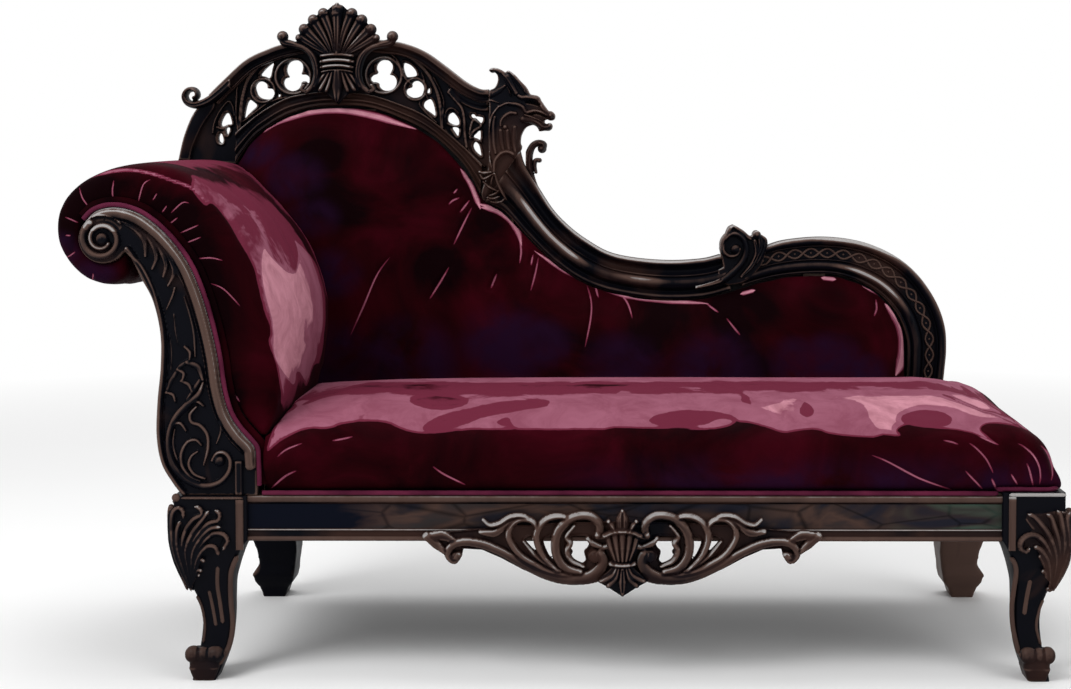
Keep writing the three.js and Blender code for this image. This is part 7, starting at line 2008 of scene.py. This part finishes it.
def seat_pad():
    pad = Pad("seat_cover", "seat_pad", 0.0125, 0.010, 4.0)
    pad.fill_end()
    pad.refine([(path, SEAT_RIGHT_CROP, False) for path in SEAT_PLEATS]
               + [(path, SEAT_LEFT_CROP, False) for path in SEAT_LEFT_PLEATS]
               + [(SEAT_ROSE_LEFT, SEAT_LEFT_CROP, True), (SEAT_ROSE_MIDDLE, SEAT_MIDDLE_CROP, True),
                  (SEAT_ROSE_RIGHT, SEAT_RIGHT_CROP, True), (SEAT_PINK, SEAT_MIDDLE_CROP, True),
                  (SEAT_PINK_RIGHT, SEAT_RIGHT_CROP, True)]
               + [(island, crop, True) for crop, island in SEAT_ISLANDS], 4.5, 2)
    for path in SEAT_PLEATS:
        pad.pleat(path, SEAT_RIGHT_CROP, 0.0028, 2.3, 0.80)
    for path in SEAT_LEFT_PLEATS:
        pad.pleat(path, SEAT_LEFT_CROP, 0.0026, 2.3, 0.74)
    rose = np.maximum.reduce([pad.area(SEAT_ROSE_LEFT, SEAT_LEFT_CROP, 0.58, 4.0),
                              pad.area(SEAT_ROSE_MIDDLE, SEAT_MIDDLE_CROP, 0.60, 4.0),
                              pad.area(SEAT_ROSE_RIGHT, SEAT_RIGHT_CROP, 0.62, 3.0),
                              pad.area(SEAT_PINK, SEAT_MIDDLE_CROP, 0.76, 7.0),
                              pad.area(SEAT_PINK_RIGHT, SEAT_RIGHT_CROP, 0.82, 7.0)])
    for crop, island in SEAT_ISLANDS:
        rose = rose - pad.area(island, crop, 0.20, 3.0) * (rose > 0.3)
    # Painted highlight on faces that turn up
    above = 0.72 * ramp(0.75, 0.95, pad.normals[:, 2]) * (1 - pad.facing)
    pad.painted_sheen = np.maximum.reduce([pad.painted_sheen, rose, above])
    # Painted shade low on the front, purple towards the right and darker at the left; painted light along the top
    low = ramp(0.0, 0.07, 0.42 - pad.points[:, 2]) * pad.facing
    pad.tone = 0.25 * ramp(0.44, 0.47, pad.points[:, 2]) - 0.5 * low * (1 - ramp(0.05, 0.35, pad.points[:, 0]))
    pad.shade = low * ramp(-0.1, 0.3, pad.points[:, 0]) * 0.8
    pad.finish(0.8)


def back_pad():
    pad = Pad("back_cover", "back_pad", 0.0125, 0.010, 4.0)
    pad.refine([(path, BACK_CROP, False) for path in BACK_PLEATS] + [(path, SLOPE_CROP, False) for path in SLOPE_PLEATS]
               + [(path, crop, False) for crop, path, _ in BACK_RIM], 5.5, 2)
    for path in BACK_PLEATS:
        pad.pleat(path, BACK_CROP, 0.0030, 2.3, 0.70)
    for path in SLOPE_PLEATS:
        pad.pleat(path, SLOPE_CROP, 0.0030, 2.3, 0.74)
    rims = [pad.line(path, crop, width, 0.82) for crop, path, width in BACK_RIM]
    pad.painted_sheen = np.maximum.reduce([pad.painted_sheen, *rims])
    pad.shade = np.maximum.reduce([pad.spot(centre, crop, radius, 0.95) for crop, centre, radius in BACK_PURPLE])
    pad.tone = (np.minimum.reduce([pad.spot(centre, crop, radius, -0.9) for crop, centre, radius in BACK_BLACK])
                + np.maximum.reduce([pad.spot(centre, crop, radius, 0.5) for crop, centre, radius in BACK_RED]))
    pad.finish(0.75)


# A round cord sewn into the seams, with the slight twist of its filling showing through. A flange of
# the cover's own cloth holds it where a gap would show behind.
def piping(name, path, radius, node, outward, flange=0.0, sink=0.0):
    path = smooth(path, int(len(path) * 22))
    run = tangents(path)
    side = np.cross(run, outward)
    side /= np.linalg.norm(side, axis=1, keepdims=True)
    away = np.cross(side, run)
    angles = np.linspace(0, 2 * math.pi, 12, endpoint=False)
    along = np.r_[0, np.cumsum(np.linalg.norm(np.diff(path, axis=0), axis=1))]
    shells = Shells()
    shells.loft([point + radius * (1 + 0.035 * np.sin(2 * angles + 180 * reach))[:, None]
                 * (np.cos(angles)[:, None] * across + np.sin(angles)[:, None] * out)
                 for point, across, out, reach in zip(path, side, away, along)])
    piece = mesh_object(name, np.vstack(shells.vertices), shells.faces)
    dress(piece, "cord_velvet", (node,))
    if flange:
        edges = [(-radius, sink), (flange, sink), (flange, sink + 0.0015), (-radius, sink + 0.0015)]
        strip = Shells()
        strip.loft([[point + across * out_side + back * out_back for across, back in edges]
                    for point, out_side, out_back in zip(path, side, away)])
        tape = mesh_object(name + "_flange", np.vstack(strip.vertices), strip.faces)
        # The flange is painted darker, a painted shade where it lies behind the cord
        for attribute_name in ("painted_sheen", "shade", "tone"):
            store(tape.data, attribute_name, np.full(len(tape.data.vertices), -0.5 if attribute_name == "tone" else 0.0))
        dress(tape, "velvet")


PIPING_LOW = RAIL_TOP + PIPING_RADIUS + GAP
PIPING_HIGH = PIPING_LOW + 0.007
PIPING_TURN = 0.030


def seat_piping():
    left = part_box("seat_piping")[0][0]
    front, right, block, block_rear, rear = -0.316, 0.891, 0.789, -0.215, 0.2247
    corner = [(right - PIPING_TURN * (1 - math.sin(angle)), front + PIPING_TURN * (1 - math.cos(angle)), PIPING_HIGH)
              for angle in np.linspace(0, math.pi / 2, 5)]
    path = [(left, front, PIPING_LOW), *[(x, front, PIPING_LOW) for x in np.linspace(left + 0.1, block - 0.06, 10)],
            (block - 0.014, front, PIPING_LOW), (block - 0.0085, front, (PIPING_LOW + PIPING_HIGH) / 2),
            (block - PIPING_RADIUS, front, PIPING_HIGH + GAP), *corner,
            (right, block_rear + PIPING_RADIUS, PIPING_HIGH + GAP),
            (right, block_rear + 0.0085, (PIPING_LOW + PIPING_HIGH) / 2),
            (right, block_rear + 0.014, PIPING_LOW), (right, 0.0, PIPING_LOW), (right, rear, PIPING_LOW)]
    piping("seat_cord", path, PIPING_RADIUS, "seat_piping", np.array([0.0, 0.0, 1.0]))


def arm_piping():
    line = parallel(facing_inner, PIPING_RADIUS + GAP)[::5]
    path = [(x, FACING_BOARD - 0.002, z) for x, z in line]
    piping("arm_cord", path, PIPING_RADIUS, "arm_piping", np.array([0.0, 1.0, 0.0]), 0.014, 0.009)


arm_pad()
seat_pad()
back_pad()
seat_piping()
arm_piping()


# Every carried-over part of the frame gets the material of its slot

NODE_FINISH = {
    "brown_ebony": ("crest_rail", "inner_arch_moulding", "front_seat_rail", "left_end_rail", "right_end_rail"),
    "beech": ("back_seat_rail", "seat_cross_rail_1", "seat_cross_rail_2", "corner_block_front_left",
              "corner_block_front_right", "corner_block_rear_left", "corner_block_rear_right", "arm_rear_stump",
              "arm_top_rail", "arm_lower_rail", "back_bottom_rail", "back_stay_1", "back_stay_2", "back_stay_3",
              "back_stay_4"),
    "jute": ("arm_canvas", "seat_webbing", "spring_canvas"),
    "black_cloth": ("dust_cover", "outside_back_cover"),
    "velvet": ("outside_arm_cover", "back_pad", "arm_pad", "seat_pad"),
    "cord_velvet": ("seat_piping", "arm_piping"),
    "spring_steel": tuple(f"coil_spring_{number}" for number in range(1, 7)),
}
finish_of = {node: finish for finish, nodes in NODE_FINISH.items() for node in nodes}
for node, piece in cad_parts.items():
    piece.data.materials.clear()
    piece.data.materials.append(MATERIALS[finish_of.get(node, "ebony")])


# Floor, light and camera


def floor_and_light():
    scene = bpy.context.scene
    floor = mesh_object("floor", [(-60, -30, 0), (60, -30, 0), (60, 60, 0), (-60, 60, 0)], [(0, 1, 2, 3)])
    made, tree, shader = material("pale_floor")
    clouds = noise(tree, 0.6, 3, 0.5)
    link(tree, colour_ramp(tree, clouds, [(0.3, grey(0.93)), (0.7, grey(0.97))]), shader.inputs["Base Color"])
    shader.inputs["Roughness"].default_value = 0.9
    shader.inputs["Specular IOR Level"].default_value = 0.1
    place = tree.nodes.new("ShaderNodeTexCoord")
    away = tree.nodes.new("ShaderNodeVectorMath")
    away.operation = "LENGTH"
    link(tree, place.outputs["Object"], away.inputs[0])
    far = tree.nodes.new("ShaderNodeMapRange")
    far.inputs["From Min"].default_value = 1.5
    far.inputs["From Max"].default_value = 4.5
    link(tree, away.outputs["Value"], far.inputs["Value"])
    glow = tree.nodes.new("ShaderNodeEmission")
    blend = tree.nodes.new("ShaderNodeMixShader")
    link(tree, far.outputs["Result"], blend.inputs["Fac"])
    link(tree, shader.outputs["BSDF"], blend.inputs[1])
    link(tree, glow.outputs["Emission"], blend.inputs[2])
    link(tree, blend.outputs["Shader"], tree.nodes["Material Output"].inputs["Surface"])
    floor.data.materials.append(made)
    world = bpy.data.worlds.new("studio")
    scene.world = world
    world.use_nodes = True
    nodes = world.node_tree.nodes
    background = nodes["Background"]
    path = nodes.new("ShaderNodeLightPath")
    seen = arithmetic(world.node_tree, "ADD", arithmetic(world.node_tree, "ADD", path.outputs["Is Camera Ray"],
                      path.outputs["Is Glossy Ray"]), path.outputs["Is Transmission Ray"])
    link(world.node_tree, mix_colours(world.node_tree, seen, grey(0.45), grey(1.0)), background.inputs["Color"])
    background.inputs["Strength"].default_value = 1.0
    for name, place, size, energy in (("key_light", (-2.6, -2.6, 3.4), 2.2, 130), ("fill_light", (3.2, -2.8, 2.2), 2.6, 55),
                                      ("top_light", (0.2, 0.6, 3.6), 2.4, 60)):
        lamp = bpy.data.lights.new(name, "AREA")
        lamp.size = size
        lamp.energy = energy
        made = bpy.data.objects.new(name, lamp)
        made.location = place
        made.rotation_euler = (Vector((0, 0, 0.5)) - Vector(place)).to_track_quat("-Z", "Y").to_euler()
        scene.collection.objects.link(made)
    lens = bpy.data.cameras.new("camera")
    lens.lens = CAMERA_LENS
    lens.shift_x, lens.shift_y = CAMERA_SHIFT
    camera = bpy.data.objects.new("camera", lens)
    camera.location = CAMERA_PLACE
    camera.rotation_euler = (math.pi / 2 - CAMERA_PITCH, 0, CAMERA_YAW)
    scene.collection.objects.link(camera)
    scene.camera = camera
    scene.view_settings.view_transform = "Standard"


floor_and_light()
